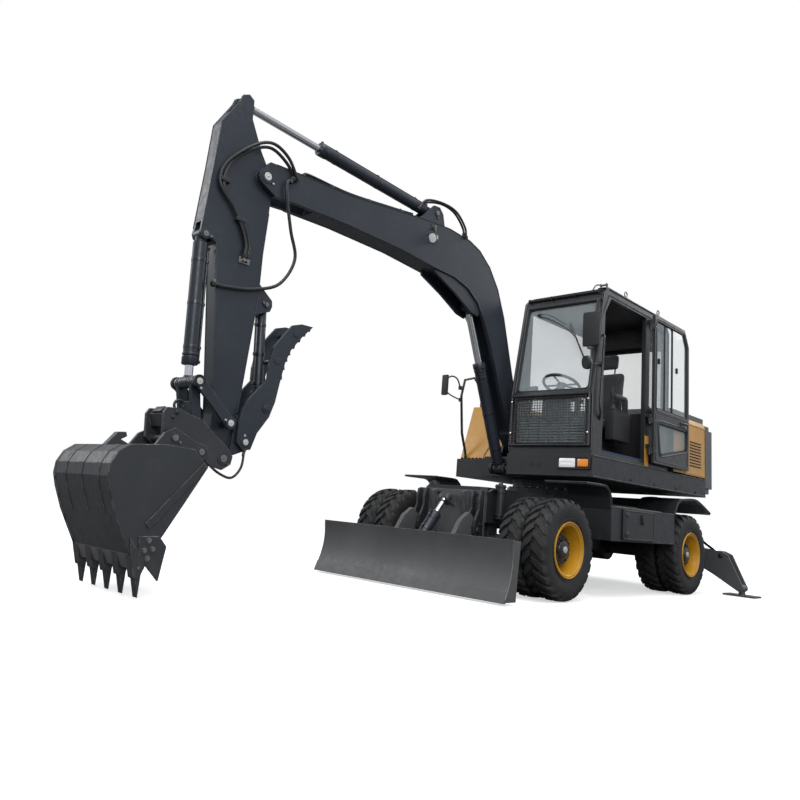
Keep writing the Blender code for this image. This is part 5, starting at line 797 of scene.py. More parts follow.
DOOR_LOW = 1.928
DOOR_HIGH = 2.890
front_leaf = [(0.560, DOOR_LOW), (0.935, DOOR_LOW), (0.935, 2.750), (0.862, DOOR_HIGH), (0.560, DOOR_HIGH)]
rear_leaf = [(0.165, DOOR_LOW), (0.575, DOOR_LOW), (0.575, DOOR_HIGH), (0.165, DOOR_HIGH)]
lower_leaf = [(0.285, 1.448), (0.935, 1.565), (0.935, 1.775), (0.225, 1.775)]
side_pane("door_front", "cab_door", front_leaf, 1.094, 0.045)
side_pane("door_rear", "cab_door", rear_leaf, 1.088, 0.045)
side_pane("door_lower", "cab_door", lower_leaf, 1.094, 0.055, 0.010)
door = Piece()
door.seam([(0.135, 1.378), (0.965, 1.378), (0.965, 1.888), (0.135, 1.888)], LEAF[1] + 0.001, 0.04, 0.005)
door.seam([(0.245, 1.418), (0.962, 1.545), (0.962, 1.806), (0.185, 1.806)], LEAF[1], 0.06, 0.008, 8)
upper_rim = [(0.140, 1.905), (0.960, 1.905), (0.960, 2.765), (0.880, 2.912), (0.140, 2.912)]
door.seam(upper_rim, LEAF[1], 0.05, 0.006, 8)
edge = [(0.106, 1.351), (0.994, 1.351), (0.994, 2.768), (0.878, 2.944), (0.106, 2.944)]
door.seam(edge, LEAF[0] + 0.004, 0.03, 0.008, 8)
door.make("door_pressings", "cab_door", cab_grey, "cab_grey")
bars = Piece()
for y in (0.366, 0.566):
    bars.box(at(1.086, y, 1.930), at(1.100, y + 0.016, 2.886), 0.003)
bars.box(at(1.088, 0.160, 1.921), at(1.104, 0.940, 1.937), 0.003)
bars.box(at(1.100, 0.180, 2.415), at(1.118, 0.215, 2.475), 0.004)
bars.box(at(1.100, 0.640, 2.398), at(1.118, 0.675, 2.458), 0.004)
bars.make("door_sashes", "cab_door", seal, "cab_trim")
lock = Piece()
lock.box(at(1.106, 0.770, 1.800), at(1.118, 0.930, 1.872), 0.006)
pull = places((1.114, 0.785, 1.850), (1.140, 0.800, 1.852), (1.142, 0.890, 1.852), (1.114, 0.905, 1.850))
lock.tube(pull, 0.008, 10)
lock.rod(at(1.112, 0.855, 1.820), at(1.122, 0.855, 1.820), 0.014, 20)
pull = places((1.076, 0.860, 1.900), (1.050, 0.840, 1.900), (1.050, 0.700, 1.900), (1.076, 0.680, 1.900))
lock.tube(pull, 0.009, 10)
lock.box(at(LEAF[0] - 0.001, 0.990, 1.760), at(LEAF[1] - 0.004, 1.006, 1.880), 0.003)
lock.make("door_lock", "cab_door", black_paint, "rail_black")
for z in (1.440, 1.760, 2.780):
    hinge = Piece()
    for y in (0.085, 0.125):
        hinge.bolt(at(LEAF[1] - 0.001, y + 0.035, z + 0.030), (1, 0, 0), 0.008, 0.008)
    hinge.rod(at(1.073, 0.070, z - 0.006), at(1.073, 0.070, z + 0.001), 0.014, 16)
    hinge.make(f"door_hinge_bolts_{round(z * 1000)}", "cab_door", steel, "cast_iron")

# Cab outside

trims = Piece()
for x in (CAB[0] + 0.004, CAB[1] - 0.004):
    post = [at(x, face_y(z, 0.004), z) for z in (1.33, 1.90, 2.925)]
    roof_edge = [at(x, y, z) for y, z in ((-0.806, 2.992), (0.495, 2.992), (0.612, 2.850), (0.612, 1.32))]
    trims.tube(post + roof_edge, 0.014, 12, straight=True)
low = at(GLASS[0] - 0.030, face_y(1.895, -0.006), 1.876)
high = at(GLASS[1] + 0.030, face_y(1.895, 0.010), 1.912)
trims.box(low, high, 0.004)
trims.box(at(0.140, -0.780, 3.000), at(0.995, 0.480, 3.008), 0.004)
for x in (0.330, 0.565, 0.800):
    trims.box(at(x - 0.030, -0.720, 3.004), at(x + 0.030, 0.430, 3.016), 0.005)
trims.make("cab_trims", "upper", cab_grey, "cab_grey")
frame_light = Piece()
inner, outer = GLASS[0] - 0.018, GLASS[1] + 0.018
posts = [((x, 1.93), (x, 2.870)) for x in (inner, outer)]
for line in (*posts, ((inner, 2.870), (outer, 2.870))):
    frame_light.tube([at(x, face_y(z, -0.003), z) for x, z in line], 0.006, 8, straight=True)
frame_light.make("windscreen_frame", "upper", panel_grey, "grey_panel")
visor = Piece()
for k in range(7):
    y = -0.900 + 0.018 * k
    z = 2.945 + 0.0085 * k
    visor.box(at(0.150, y - 0.007, z - 0.004), at(0.985, y + 0.007, z + 0.012), 0.002)
for x in (0.155, 0.430, 0.705, 0.975):
    visor.box(at(x, -0.915, 2.925), at(x + 0.010, -0.785, 2.968), 0.003)
visor.make("roof_visor", "upper", seal, "cab_trim")
gutter = Piece()
line = [at(1.029, y, z) for y, z in ((-0.905, 2.700), (-0.790, 2.925), (0.060, 2.925), (0.480, 2.925))]
gutter.tube(line, 0.006, 8, straight=True)
gutter.make("roof_gutter", "upper", seal, "cab_trim")
bracket = Piece()
bracket.box(at(0.925, -0.835, 2.998), at(1.005, -0.755, 3.006), 0.002)
bracket.box(at(0.930, -0.800, 3.000), at(0.936, -0.760, 3.060), 0.002)
bracket.box(at(0.994, -0.800, 3.000), at(1.000, -0.760, 3.060), 0.002)
bracket.tube(places((0.930, -0.780, 3.052), (0.915, -0.850, 3.030), (0.905, -0.905, 2.960)), 0.007, 8)
bracket.rod(at(0.926, -0.780, 3.045), at(1.004, -0.780, 3.045), 0.010, 16)
bracket.make("roof_bracket", "upper", panel_grey, "grey_panel")
for y in (-0.375, 0.402):
    ring = Piece()
    ring.rod(at(1.000, y, 2.990), at(1.000, y, 3.026), 0.014, 16)
    turns = [math.tau * k / 20 for k in range(20)]
    loop = [at(1.000, y + 0.028 * math.cos(a), 3.052 + 0.028 * math.sin(a)) for a in turns]
    ring.loop(loop, 0.0065, 10)
    ring.make(f"lifting_ring_{'front' if y < 0 else 'rear'}", "upper", steel, "chrome_rod")

# Guard grille over the lower front window

GRILLE_Y = -1.088
GRILLE_LOW = 1.388
GRILLE_HIGH = 1.882
GRILLE_FEET = [(x, z) for x in (0.140, 1.006) for z in (1.505, 1.825)]
grille = Piece()
corners = [(0.135, GRILLE_LOW), (1.012, GRILLE_LOW), (1.012, GRILLE_HIGH), (0.135, GRILLE_HIGH)]
ring = [at(x, GRILLE_Y, z) for x, z in corners]
for i in range(4):
    grille.rod(ring[i], ring[(i + 1) % 4], 0.014, 12)
for spot in ring:
    grille.ball(spot, 0.014)
for x in (0.175, 0.975):
    grille.rod(at(x, GRILLE_Y, GRILLE_LOW), at(x, GRILLE_Y, GRILLE_HIGH), 0.007, 8)
for k in range(26):
    x = 0.200 + 0.030 * k
    grille.box(at(x - 0.003, GRILLE_Y - 0.003, 1.640), at(x + 0.003, GRILLE_Y + 0.001, 1.870))
for k in range(9):
    z = 1.650 + 0.026 * k
    grille.box(at(0.180, GRILLE_Y - 0.001, z - 0.003), at(0.970, GRILLE_Y + 0.003, z + 0.003))
for k in range(9):
    z = 1.410 + 0.027 * k
    grille.rod(at(0.140, GRILLE_Y, z), at(1.008, GRILLE_Y, z), 0.0045, 8)
for k in range(7):
    x = 0.230 + 0.115 * k
    grille.rod(at(x, GRILLE_Y + 0.006, GRILLE_LOW), at(x, GRILLE_Y + 0.006, 1.640), 0.003, 8)
for x, z in GRILLE_FEET:
    grille.rod(at(x, GRILLE_Y - 0.004, z), at(x, CAB_FACE_Y + 0.004, z), 0.010, 12)
grille.make("guard_grille", "upper", black_paint, "rail_black")
knobs = Piece()
for x, z in GRILLE_FEET:
    knobs.ball(at(x, GRILLE_Y - 0.010, z), 0.013)
knobs.make("grille_knobs", "upper", chrome, "chrome_rod")

# Fascia in front of the deck, with lamps and vents

DECK_FACE_Y = -1.080
fascia = Piece()
fascia.box(at(0.690, DECK_FACE_Y - 0.012, 1.158), at(1.045, DECK_FACE_Y + 0.006, 1.282), 0.010)
for x in (0.375, 0.455):
    for z in (1.175, 1.193, 1.211):
        fascia.box(at(x, DECK_FACE_Y - 0.002, z), at(x + 0.052, DECK_FACE_Y + 0.003, z + 0.008), 0.002)
fascia.make("lamp_housing", "upper", seal, "cab_trim")
lamp = Piece().box(at(0.715, DECK_FACE_Y - 0.018, 1.178), at(0.885, DECK_FACE_Y - 0.006, 1.262), 0.010)
lamp.box(at(0.735, DECK_FACE_Y - 0.020, 1.188), at(0.865, DECK_FACE_Y - 0.014, 1.216), 0.004)
lamp.box(at(0.735, DECK_FACE_Y - 0.020, 1.224), at(0.865, DECK_FACE_Y - 0.014, 1.252), 0.004)
lamp.make("head_lamp", "upper", clear_lamp, "glass")
lamp = Piece().box(at(0.910, DECK_FACE_Y - 0.018, 1.186), at(1.020, DECK_FACE_Y - 0.006, 1.256), 0.008)
lamp.make("turn_lamp", "upper", amber_lamp, "glass")
frame_line = rounded([(0.700, 0, 1.166), (1.036, 0, 1.166), (1.036, 0, 1.274), (0.700, 0, 1.274)], 0.02)
bezel = Piece().loop([at(p.x, DECK_FACE_Y - 0.012, p.z) for p in frame_line], 0.006, 8)
bezel.make("lamp_bezel", "upper", trim, "cab_trim")

# Mirrors and the front hand rail

mirror = Piece()
mirror.box(at(0.905, -1.078, 2.345), at(1.080, -1.034, 2.690), 0.022)
stay = places(
    (1.000, -1.030, 2.640), (1.000, -0.990, 2.720), (1.000, -0.955, 2.840), (1.014, -0.880, 2.862)
)
mirror.tube(stay, 0.009, 10)
mirror.tube(places((1.000, -1.030, 2.500), (1.010, -1.000, 2.620), (1.022, -0.930, 2.760)), 0.007, 10)
mirror.rod(at(1.000, -0.965, 2.700), at(1.000, -1.045, 2.640), 0.013, 12)
mirror.box(at(0.995, -0.905, 2.835), at(1.030, -0.860, 2.885), 0.006)
mirror.make("left_mirror", "upper", trim, "cab_trim")
face = Piece().box(at(0.918, -1.036, 2.362), at(1.067, -1.031, 2.673), 0.002)
face.make("left_mirror_face", "upper", mirror_face, "glass")
disc = Piece().rod(at(1.050, -1.255, 2.140), at(1.062, -1.232, 2.144), 0.062, 40, 0.066)
stay = places(
    (1.056, -1.236, 2.142), (1.062, -1.120, 2.150), (1.052, -0.990, 2.180), (1.034, -0.925, 2.187)
)
disc.tube(stay, 0.007, 10)
disc.box(at(1.026, -0.945, 2.165), at(1.042, -0.905, 2.210), 0.004)
disc.make("round_mirror", "upper", trim, "cab_trim")
face = Piece().rod(at(1.0625, -1.2315, 2.144), at(1.0645, -1.227, 2.1446), 0.058, 40)
face.make("round_mirror_face", "upper", mirror_face, "glass")
grip = places(
    (1.026, -0.880, 2.500), (1.052, -0.905, 2.470), (1.060, -0.925, 2.390), (1.060, -0.965, 1.840),
    (1.056, -0.950, 1.720), (1.028, -0.915, 1.650),
)
handle = Piece().tube(grip, 0.011, 12)
handle.make("door_grab_handle", "upper", black_paint, "rail_black")
wiper = Piece()


def by_glass(x, z, inset):
    """A place in front of the windscreen's face, or behind it."""
    return at(x, face_y(z, inset), z)


arm_line = [(0.300, 2.760, -0.010), (0.430, 2.715, -0.034), (0.640, 2.600, -0.034), (0.800, 2.455, -0.026)]
stay_line = [(0.300, 2.790, -0.010), (0.450, 2.750, -0.032), (0.660, 2.620, -0.032)]
wiper.tube([by_glass(*spot) for spot in arm_line], 0.006, 8)
wiper.tube([by_glass(*spot) for spot in stay_line], 0.004, 8)
wiper.rod(by_glass(0.300, 2.775, -0.020), by_glass(0.300, 2.775, 0.012), 0.016, 16)
wiper.rod(by_glass(0.690, 2.640, -0.016), by_glass(0.905, 2.230, -0.016), 0.006, 8)
wiper.rod(by_glass(0.690, 2.640, -0.006), by_glass(0.905, 2.230, -0.006), 0.007, 6)
wiper.make("windscreen_wiper", "upper", black_paint, "rail_black")
strip = Piece().box(at(1.0304, 0.046, 1.305), at(1.036, 0.132, 1.625), 0.002)
strip.make("pillar_strip", "upper", yellow, "yellow_panel")
strip = Piece().box(at(0.992, -0.846, 1.3604), at(1.0345, -0.030, 1.3665), 0.002)
strip.make("sill_strip", "upper", blue_strip, "cab_trim")

# Boom, arm and tool: places by shares of each one's own line


def line_frame(origin, reach):
    """A function that places a share along a line and a share across it, in the plane of the boom."""
    along = Vector((0, reach.y, reach.z))
    across = Vector((0, reach.z, -reach.y))

    def place(share, side=0.0, lift=0.0):
        middle = Vector((BOOM_X + side, origin.y, origin.z))
        return middle + along * share[0] + across * share[1] + across.normalized() * lift

    return place


TOOTH_REACH = Vector((0, -0.636, -0.880))
THUMB_REACH = Vector((0, 0.500, 0.976))
on_boom = line_frame(pins["boom_lift"], pins["arm_crowd"] - pins["boom_lift"])
on_arm = line_frame(pins["arm_crowd"], pins["bucket_curl"] - pins["arm_crowd"])
on_tool = line_frame(pins["bucket_curl"], TOOTH_REACH)
on_thumb = line_frame(pins["thumb_close"], THUMB_REACH)

boom_top = [
    (0.996, 0.037), (0.925, 0.075), (0.827, 0.125), (0.696, 0.206), (0.607, 0.260), (0.542, 0.296),
    (0.467, 0.325), (0.422, 0.331), (0.367, 0.321), (0.311, 0.293), (0.252, 0.244), (0.148, 0.133),
    (0.080, 0.065),
]
boom_under = [
    (0.100, 0.018), (0.163, 0.059), (0.263, 0.147), (0.313, 0.183), (0.361, 0.207), (0.412, 0.214),
    (0.466, 0.204), (0.525, 0.179), (0.651, 0.132), (0.806, 0.063), (0.914, 0.009),
]
arm_front = [
    (-0.262, 0.135), (-0.235, 0.143), (-0.199, 0.161), (-0.125, 0.199), (0.042, 0.199), (0.262, 0.203),
]
arm_lower = [(0.300, 0.140), (0.489, 0.108), (0.698, 0.074), (0.860, 0.048), (0.935, 0.045)]
arm_back = [(0.841, -0.045), (0.598, -0.051), (0.436, -0.055), (0.275, -0.045), (0.120, -0.044)]
wrap = [
    (0.212, 0.162), (0.196, 0.299), (0.303, 0.459), (0.442, 0.612), (0.514, 0.635), (0.588, 0.623),
    (0.646, 0.586), (0.694, 0.523), (0.766, 0.404), (0.816, 0.299), (0.885, 0.150),
]


def beads(name, body, place, lines, half, radius, finish, slot_name, lift=0.0):
    """Weld beads along both side plates' edges."""
    made = Piece()
    for line in lines:
        for side in (-half, half):
            made.tube([place(share, side, lift) for share in line], radius, 6, straight=True)
    made.make(name, body, finish, slot_name)


beads("boom_welds", "boom", on_boom, (boom_top, boom_under), 0.110, 0.0045, slate, "slate_paint")
beads("arm_welds", "arm", on_arm, (arm_front, arm_lower, arm_back), 0.060, 0.004, slate, "slate_paint")


def pin_ends(name, body, centre, half, radius, finish=steel, keeper=(0.0, 1.0), collar=1.55):
    """Both ends of a cross pin: a collar, the pin's end with its grease nipple, and a bolted keeper."""
    centre = Vector((BOOM_X, centre.y, centre.z))
    collars, ends = Piece(), Piece()
    for side in (-1, 1):
        out = Vector((side, 0, 0))
        face = centre + out * half
        collars.rod(face - out * 0.010, face + out * 0.002, radius * collar, 32)
        ends.rod(face, face + out * 0.007, radius * 0.92, 32, radius * 0.86)
        ends.rod(face + out * 0.007, face + out * 0.012, 0.005, 8)
        way = Vector((0, keeper[0], keeper[1])).normalized()
        half_keeper = Vector((0.004, 0.012, 0.012))
        near, far = face + way * radius * 1.2, face + way * radius * 2.1
        collars.box(near - half_keeper, far + half_keeper, 0.002)
        ends.bolt(face + way * radius * 1.9 + out * 0.003, out, 0.007, 0.008)
    collars.make(f"{name}_collars", body, slate, "slate_paint")
    ends.make(f"{name}_ends", body, finish, "chrome_rod")


pin_ends("arm_pivot_pin", "boom", pins["arm_crowd"], 0.112, 0.036, white_cap, (0.8, -0.6))
pin_ends("arm_base_pin", "boom", on_boom((0.590, 0.305)), 0.080, 0.026, steel, (0.2, -1))
pin_ends("boom_foot_pin", "upper", pins["boom_lift"], 0.148, 0.034, white_cap, (0.3, 1))
pin_ends("boom_base_pin", "upper", pins["boom_cylinder_swing"], 0.096, 0.030, steel, (1, 0.2))
pin_ends("bucket_base_pin", "arm", pins["bucket_cylinder_swing"], 0.062, 0.024, steel, (0.9, -0.2))
pin_ends("thumb_base_pin", "arm", pins["thumb_cylinder_swing"], 0.062, 0.018, steel, (-1, 0.2))
pin_ends("rocker_pin", "arm", on_arm((0.886, 0.004)), 0.164, 0.026, white_cap, (-0.9, 0.3))
pin_ends("thumb_pin", "arm", pins["thumb_close"], 0.117, 0.025, white_cap, (-0.3, 0.9))
pin_ends("rocker_top_pin", "rocker", pins["push_link_turn"], 0.156, 0.026, white_cap, (0.3, -0.9), 1.75)
pin_ends("hitch_link_pin", "push_link", on_tool((-0.017, 0.263)), 0.098, 0.020, steel, (0.6, 0.8), 1.4)
pin_ends("tool_pin", "bucket", pins["bucket_curl"], 0.130, 0.030, steel, (0.7, -0.7))
pin_ends("hitch_rear_pin", "bucket", on_tool((0.159, 0.363)), 0.190, 0.024, steel, (0.8, -0.6), 1.5)
pin_ends("hitch_front_pin", "bucket", on_tool((0.100, 0.171)), 0.190, 0.024, steel, (-0.7, -0.7), 1.5)
spacers = Piece()
for side in (-1, 1):
    for start, end, radius in (
        (0.055, 0.062, 0.040), (0.064, 0.068, 0.038), (0.102, 0.112, 0.040), (0.118, 0.128, 0.037),
    ):
        middle = pins["push_link_turn"]
        low, high = BOOM_X + side * start, BOOM_X + side * end
        spacers.rod((low, middle.y, middle.z), (high, middle.y, middle.z), radius, 28)
spacers.make("rocker_spacers", "rocker", steel, "cast_iron")

# Boom pipes, lamp and hoses

pipes = Piece()
for side in (-0.075, -0.045, 0.045, 0.075):
    line = [(0.935, 0.074), (0.925, 0.085), (0.827, 0.132), (0.720, 0.197), (0.655, 0.238)]
    pipes.tube([on_boom(share, side, 0.004) for share in line], 0.011, 10, 6)
for share in ((0.690, 0.2165), (0.775, 0.163), (0.870, 0.110)):
    spot = on_boom(share)
    for side in (-0.060, 0.060):
        low, high = Vector((side - 0.036, -0.020, -0.022)), Vector((side + 0.036, 0.020, 0.006))
        pipes.box(spot + low, spot + high, 0.004, Matrix.Rotation(-0.18, 3, "X"))
pipes.make("boom_pipes", "boom", black_paint, "frame_grey")
side_pipes = Piece()
for lift in (0.0, -0.034):
    line = [
        (0.110, 0.085), (0.165, 0.128), (0.262, 0.222), (0.325, 0.278), (0.380, 0.303), (0.425, 0.311),
        (0.470, 0.303), (0.545, 0.272), (0.620, 0.232),
    ]
    side_pipes.tube([on_boom(share, -0.124, lift) for share in line], 0.010, 10, 6)
for share in ((0.180, 0.137), (0.300, 0.252), (0.430, 0.306), (0.560, 0.260)):
    spot = on_boom(share, -0.118, -0.017)
    side_pipes.box(spot - Vector((0.010, 0.022, 0.038)), spot + Vector((0.010, 0.022, 0.038)), 0.004)
side_pipes.make("boom_side_pipes", "boom", black_paint, "frame_grey")
LAMP_PLACE = at(0.048, -2.385, 3.200)
LAMP_AIM = (0, -0.85, -0.5)
lamp = Piece()
lamp.box(at(0.008, -2.395, 3.290), at(0.014, -2.320, 3.350), 0.002)
lamp.tube(places((0.012, -2.357, 3.320), (0.040, -2.365, 3.300), (0.045, -2.370, 3.240)), 0.008, 10)
shell = [(-0.040, 0.002), (-0.040, 0.026), (-0.010, 0.048), (0.018, 0.052), (0.018, 0.002)]
lamp.turned(shell, LAMP_PLACE, LAMP_AIM, 32)
lamp.make("boom_work_lamp", "boom", black_paint, "frame_grey")
lens = Piece().turned(
    [(0.016, 0.001), (0.016, 0.046), (0.021, 0.044), (0.024, 0.001)], LAMP_PLACE, LAMP_AIM, 32
)
lens.make("boom_work_lamp_glass", "boom", clear_lamp, "glass")


def hose(name, start_body, end_body, points, radius):
    """A hose with a crimped fitting at each end; between two bodies it is tied to neither and stays where it is
    made.
    """
    made = Piece().tube(points, radius, 10, 8)
    for first, second in ((points[0], points[1]), (points[-1], points[-2])):
        way = (Vector(second) - Vector(first)).normalized()
        foot = Vector(first)
        made.rod(foot - way * 0.004, foot + way * 0.050, radius * 1.22, 14)
        made.rod(foot - way * 0.012, foot + way * 0.014, radius * 1.7, 6)
    piece = made.make(name, start_body if end_body == start_body else None, hose_rubber, "cab_trim")
    if end_body != start_body:
        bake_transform(piece)


for k, x in enumerate((0.022, 0.048)):
    step = 0.030 * k
    route = places(
        (x - 0.010, -4.020, 3.130), (x, -4.140, 3.235 + step), (x, -4.300, 3.285 + step),
        (x - 0.006, -4.470, 3.190 + step), (-0.018, -4.600 - step, 3.030), (-0.018, -4.625 - step, 2.860),
        (-0.018, -4.520, 2.720), (-0.018, -4.400 - step, 2.600), (-0.018, -4.345 - step, 2.480),
        (-0.018, -4.345 - step, 2.390),
    )
    hose(f"arm_hose_{k + 1}", "boom", "arm", route, 0.013)
route = places(
    (0.030, -4.060, 3.120), (0.040, -4.120, 3.030), (0.020, -4.020, 2.720), (0.000, -3.930, 2.500),
    (-0.010, -4.040, 2.270), (-0.018, -4.260, 2.165), (-0.018, -4.480, 2.120), (-0.024, -4.600, 2.110),
)
hose("bucket_feed_hose", "boom", "arm", route, 0.013)
route = places(
    (0.036, -4.552, 0.905), (0.060, -4.500, 0.850), (0.060, -4.400, 0.790), (0.050, -4.290, 0.770),
    (0.020, -4.200, 0.850), (0.004, -4.180, 0.980),
)
hose("hitch_hose", "bucket", "arm", route, 0.009)
for k, x in enumerate((-0.150, -0.100, -0.050)):
    route = places(
        (x, -0.330, 1.325), (x, -0.340, 1.480), (x, -0.395, 1.620), (x, -0.560, 1.720 - 0.02 * k),
        (x * 0.6 - 0.04, -0.760, 1.735),
    )
    hose(f"boom_hose_{k + 1}", "upper", "boom", route, 0.015)
for k, x in enumerate((-0.030, 0.000)):
    route = places(
        (x - 0.050, -2.520, 3.470), (x - 0.030, -2.440, 3.560 + 0.02 * k), (x + 0.010, -2.250, 3.610),
        (x + 0.020, -2.050, 3.590), (x + 0.020, -1.900, 3.480), (x + 0.020, -1.870, 3.380),
    )
    hose(f"arm_cylinder_hose_{k + 1}", "boom", "boom", route, 0.011)
fittings = Piece()
for x, y, z in ((-0.018, -4.345, 2.360), (-0.018, -4.375, 2.360), (-0.024, -4.590, 2.108)):
    fittings.rod(at(x - 0.024, y, z), at(x + 0.010, y, z), 0.015, 6)
    fittings.rod(at(x, y, z - 0.010), at(x, y, z + 0.040), 0.011, 6)
fittings.box(at(-0.040, -4.410, 2.335), at(-0.030, -4.315, 2.385), 0.003)
fittings.make("arm_hose_fittings", "arm", steel, "chrome_rod")
clamps = Piece()
for y, z in ((-4.622, 2.900), (-4.450, 2.650)):
    clamps.box(at(-0.042, y - 0.040, z - 0.016), at(0.000, y + 0.040, z + 0.016), 0.004)
clamps.make("arm_hose_clamps", "arm", black_paint, "frame_grey")
for k in range(2):
    line = [(0.300, 0.120), (0.330, 0.095), (0.480, 0.060), (0.640, 0.040), (0.800, 0.020), (0.845, 0.016)]
    pipe = Piece().tube([on_arm(share, -0.070, 0.020 * k) for share in line], 0.008, 8)
    pipe.make(f"arm_pipe_{k + 1}", "arm", black_paint, "frame_grey")

# Bucket, hitch and thumb

straps = Piece()
for side in (-0.235, 0.0, 0.235):
    outer = [on_tool(share) for share in wrap[1:9]]
    inner = [on_tool((share[0] * 0.985 + 0.006, share[1] * 0.975)) for share in wrap[1:9]]
    for k in range(len(outer) - 1):
        corners = (outer[k], outer[k + 1], inner[k + 1], inner[k])
        straps.slab(corners, side - 0.030, side + 0.030)
straps.make("bucket_wear_straps", "bucket", bucket_grey, "bucket_grey")
corners = [on_tool(share) for share in ((0.862, 0.196), (0.905, 0.122), (0.893, 0.108), (0.846, 0.178))]
lip = Piece().slab(corners, -0.398, 0.398)
lip.make("bucket_lip", "bucket", steel, "bucket_grey")
ADAPTER = [(0.800, 0.262), (0.870, 0.186), (0.940, 0.094), (0.934, 0.066), (0.850, 0.086), (0.828, 0.160)]
adapters = Piece()
tooth_pins = Piece()
for i in range(5):
    x = -0.372 + 0.186 * i
    corners = [on_tool(share) for share in ADAPTER]
    adapters.slab(corners, x - 0.036, x + 0.036)
    spot = on_tool((0.885, 0.110), x)
    tooth_pins.rod(spot - Vector((0.040, 0, 0)), spot + Vector((0.040, 0, 0)), 0.010, 14)
adapters.make("tooth_adapters", "bucket", bucket_grey, "bucket_grey")
tooth_pins.make("tooth_pins", "bucket", steel, "cast_iron")
plates = Piece()
cutter_bolts = Piece()
for side in (-1, 1):
    x = side * 0.400
    corners = [on_tool(share) for share in ((0.215, 0.205), (0.225, 0.165), (0.700, 0.205), (0.690, 0.245))]
    plates.slab(corners, x - side * 0.004, x + side * 0.008)
    for share in ((0.745, 0.165), (0.800, 0.150), (0.765, 0.115), (0.820, 0.105)):
        spot = on_tool(share, side * 0.4085)
        cutter_bolts.bolt(spot, (side, 0, 0), 0.013, 0.014)
plates.make("bucket_side_strips", "bucket", bucket_grey, "bucket_grey")
cutter_bolts.make("side_cutter_bolts", "bucket", steel, "cast_iron")
beads("bucket_welds", "bucket", on_tool, (wrap,), 0.388, 0.004, bucket_grey, "bucket_grey", -0.002)
ear_welds = Piece()
for side in (-0.202, -0.154, 0.154, 0.202):
    line = [
        on_tool(share, side) for share in ((0.300, 0.452), (0.222, 0.345), (0.210, 0.240), (0.224, 0.170))
    ]
    ear_welds.tube(line, 0.006, 8, straight=True)
ear_welds.make("bucket_ear_welds", "bucket", bucket_grey, "bucket_grey")
hook = Piece()
hook_centre = Vector((BOOM_X + 0.070, MACHINE_Y - 4.722, 1.215))
loop = [hook_centre + round_x(math.radians(-20 + 260 * k / 14)) * 0.036 for k in range(15)]
hook.tube(loop, 0.010, 10, straight=True)
hook.rod(at(BOOM_X + 0.070, -4.722, 1.180), at(BOOM_X + 0.070, -4.700, 1.150), 0.012, 12)
hook.make("hitch_lifting_hook", "push_link", slate, "slate_paint")
latch = Piece()
spot = on_tool((0.052, 0.455))
low, high = Vector((-0.060, -0.045, -0.010)), Vector((0.060, 0.030, 0.040))
latch.box(spot + low, spot + high, 0.006, Matrix.Rotation(-0.7, 3, "X"))
for side in (-0.070, 0.070):
    latch.bolt(on_tool((0.045, 0.480), side), (0, -0.8, 0.6), 0.010, 0.012)
latch.rod(on_tool((0.090, 0.330), -0.100), on_tool((0.090, 0.330), 0.100), 0.020, 20)
for side in (-0.1295, 0.1295):
    sign = math.copysign(1, side)
    latch.bolt(on_tool((0.020, 0.440), side), (sign, 0, 0), 0.012, 0.010)
    latch.bolt(on_tool((0.060, 0.440), side), (sign, 0, 0), 0.009, 0.008)
latch.make("hitch_latch", "bucket", slate, "slate_paint")
TEETH_PER_STRETCH = 2
serrations = Piece()
edge = [(0.990, -0.006), (0.874, -0.036), (0.735, -0.059), (0.628, -0.047), (0.493, -0.005)]
for first, second in zip(edge, edge[1:]):
    for k in range(TEETH_PER_STRETCH):
        a = [lerp(first[i], second[i], k / TEETH_PER_STRETCH) for i in (0, 1)]
        b = [lerp(first[i], second[i], (k + 0.8) / TEETH_PER_STRETCH) for i in (0, 1)]
        tip = (lerp(a[0], b[0], 0.75), lerp(a[1], b[1], 0.75) + 0.012)
        for side in (-0.105, 0.105):
            corners = [on_thumb((a[0], a[1] - 0.006)), on_thumb(tip), on_thumb((b[0], b[1] - 0.006))]
            serrations.slab(corners, side - 0.010, side + 0.010)
serrations.make("thumb_teeth", "thumb", slate, "slate_paint")
thumb_trim = Piece()
for share in ((0.600, -0.110), (0.860, -0.090)):
    for side in (-0.117, 0.117):
        sign = math.copysign(1, side)
        thumb_trim.rod(
            on_thumb(share, side - sign * 0.004), on_thumb(share, side + sign * 0.004), 0.026, 24
        )
for side in (-0.117, 0.117):
    sign = math.copysign(1, side)
    boss = (0.278, 0.004)
    thumb_trim.rod(on_thumb(boss, side - sign * 0.002), on_thumb(boss, side + sign * 0.006), 0.034, 24)
    thumb_trim.rod(on_thumb(boss, side), on_thumb(boss, side + sign * 0.012), 0.019, 20)
thumb_trim.make("thumb_bosses", "thumb", slate, "slate_paint")

# Blade: a smooth hollow face with its edge, end plates, ribs, arms and ears

BLADE_HALF = 1.113
BLADE_ARM = [
    (-2.346, 0.409), (-2.193, 0.444), (-2.088, 0.610), (-1.978, 0.684), (-1.862, 0.604),
    (-1.818, 0.512), (-1.868, 0.471), (-2.063, 0.326), (-2.362, 0.203),
]
BLADE_EAR = [
    (-2.350, 0.375), (-2.300, 0.340), (-2.270, 0.325), (-2.262, 0.300), (-2.270, 0.275), (-2.300, 0.262),
    (-2.362, 0.215),
]
blade_top, blade_foot = Vector((-2.376, 0.494)), Vector((-2.455, 0.018))


def blade_line(depth, steps=16):
    """Points down the blade's face, set back by a depth."""
    points = []
    for k in range(steps + 1):
        t = 1 - k / steps
        spot = blade_foot.lerp(blade_top, t)
        points.append((spot.x + 0.200 * t * (1 - t) + depth, spot.y))
    return points


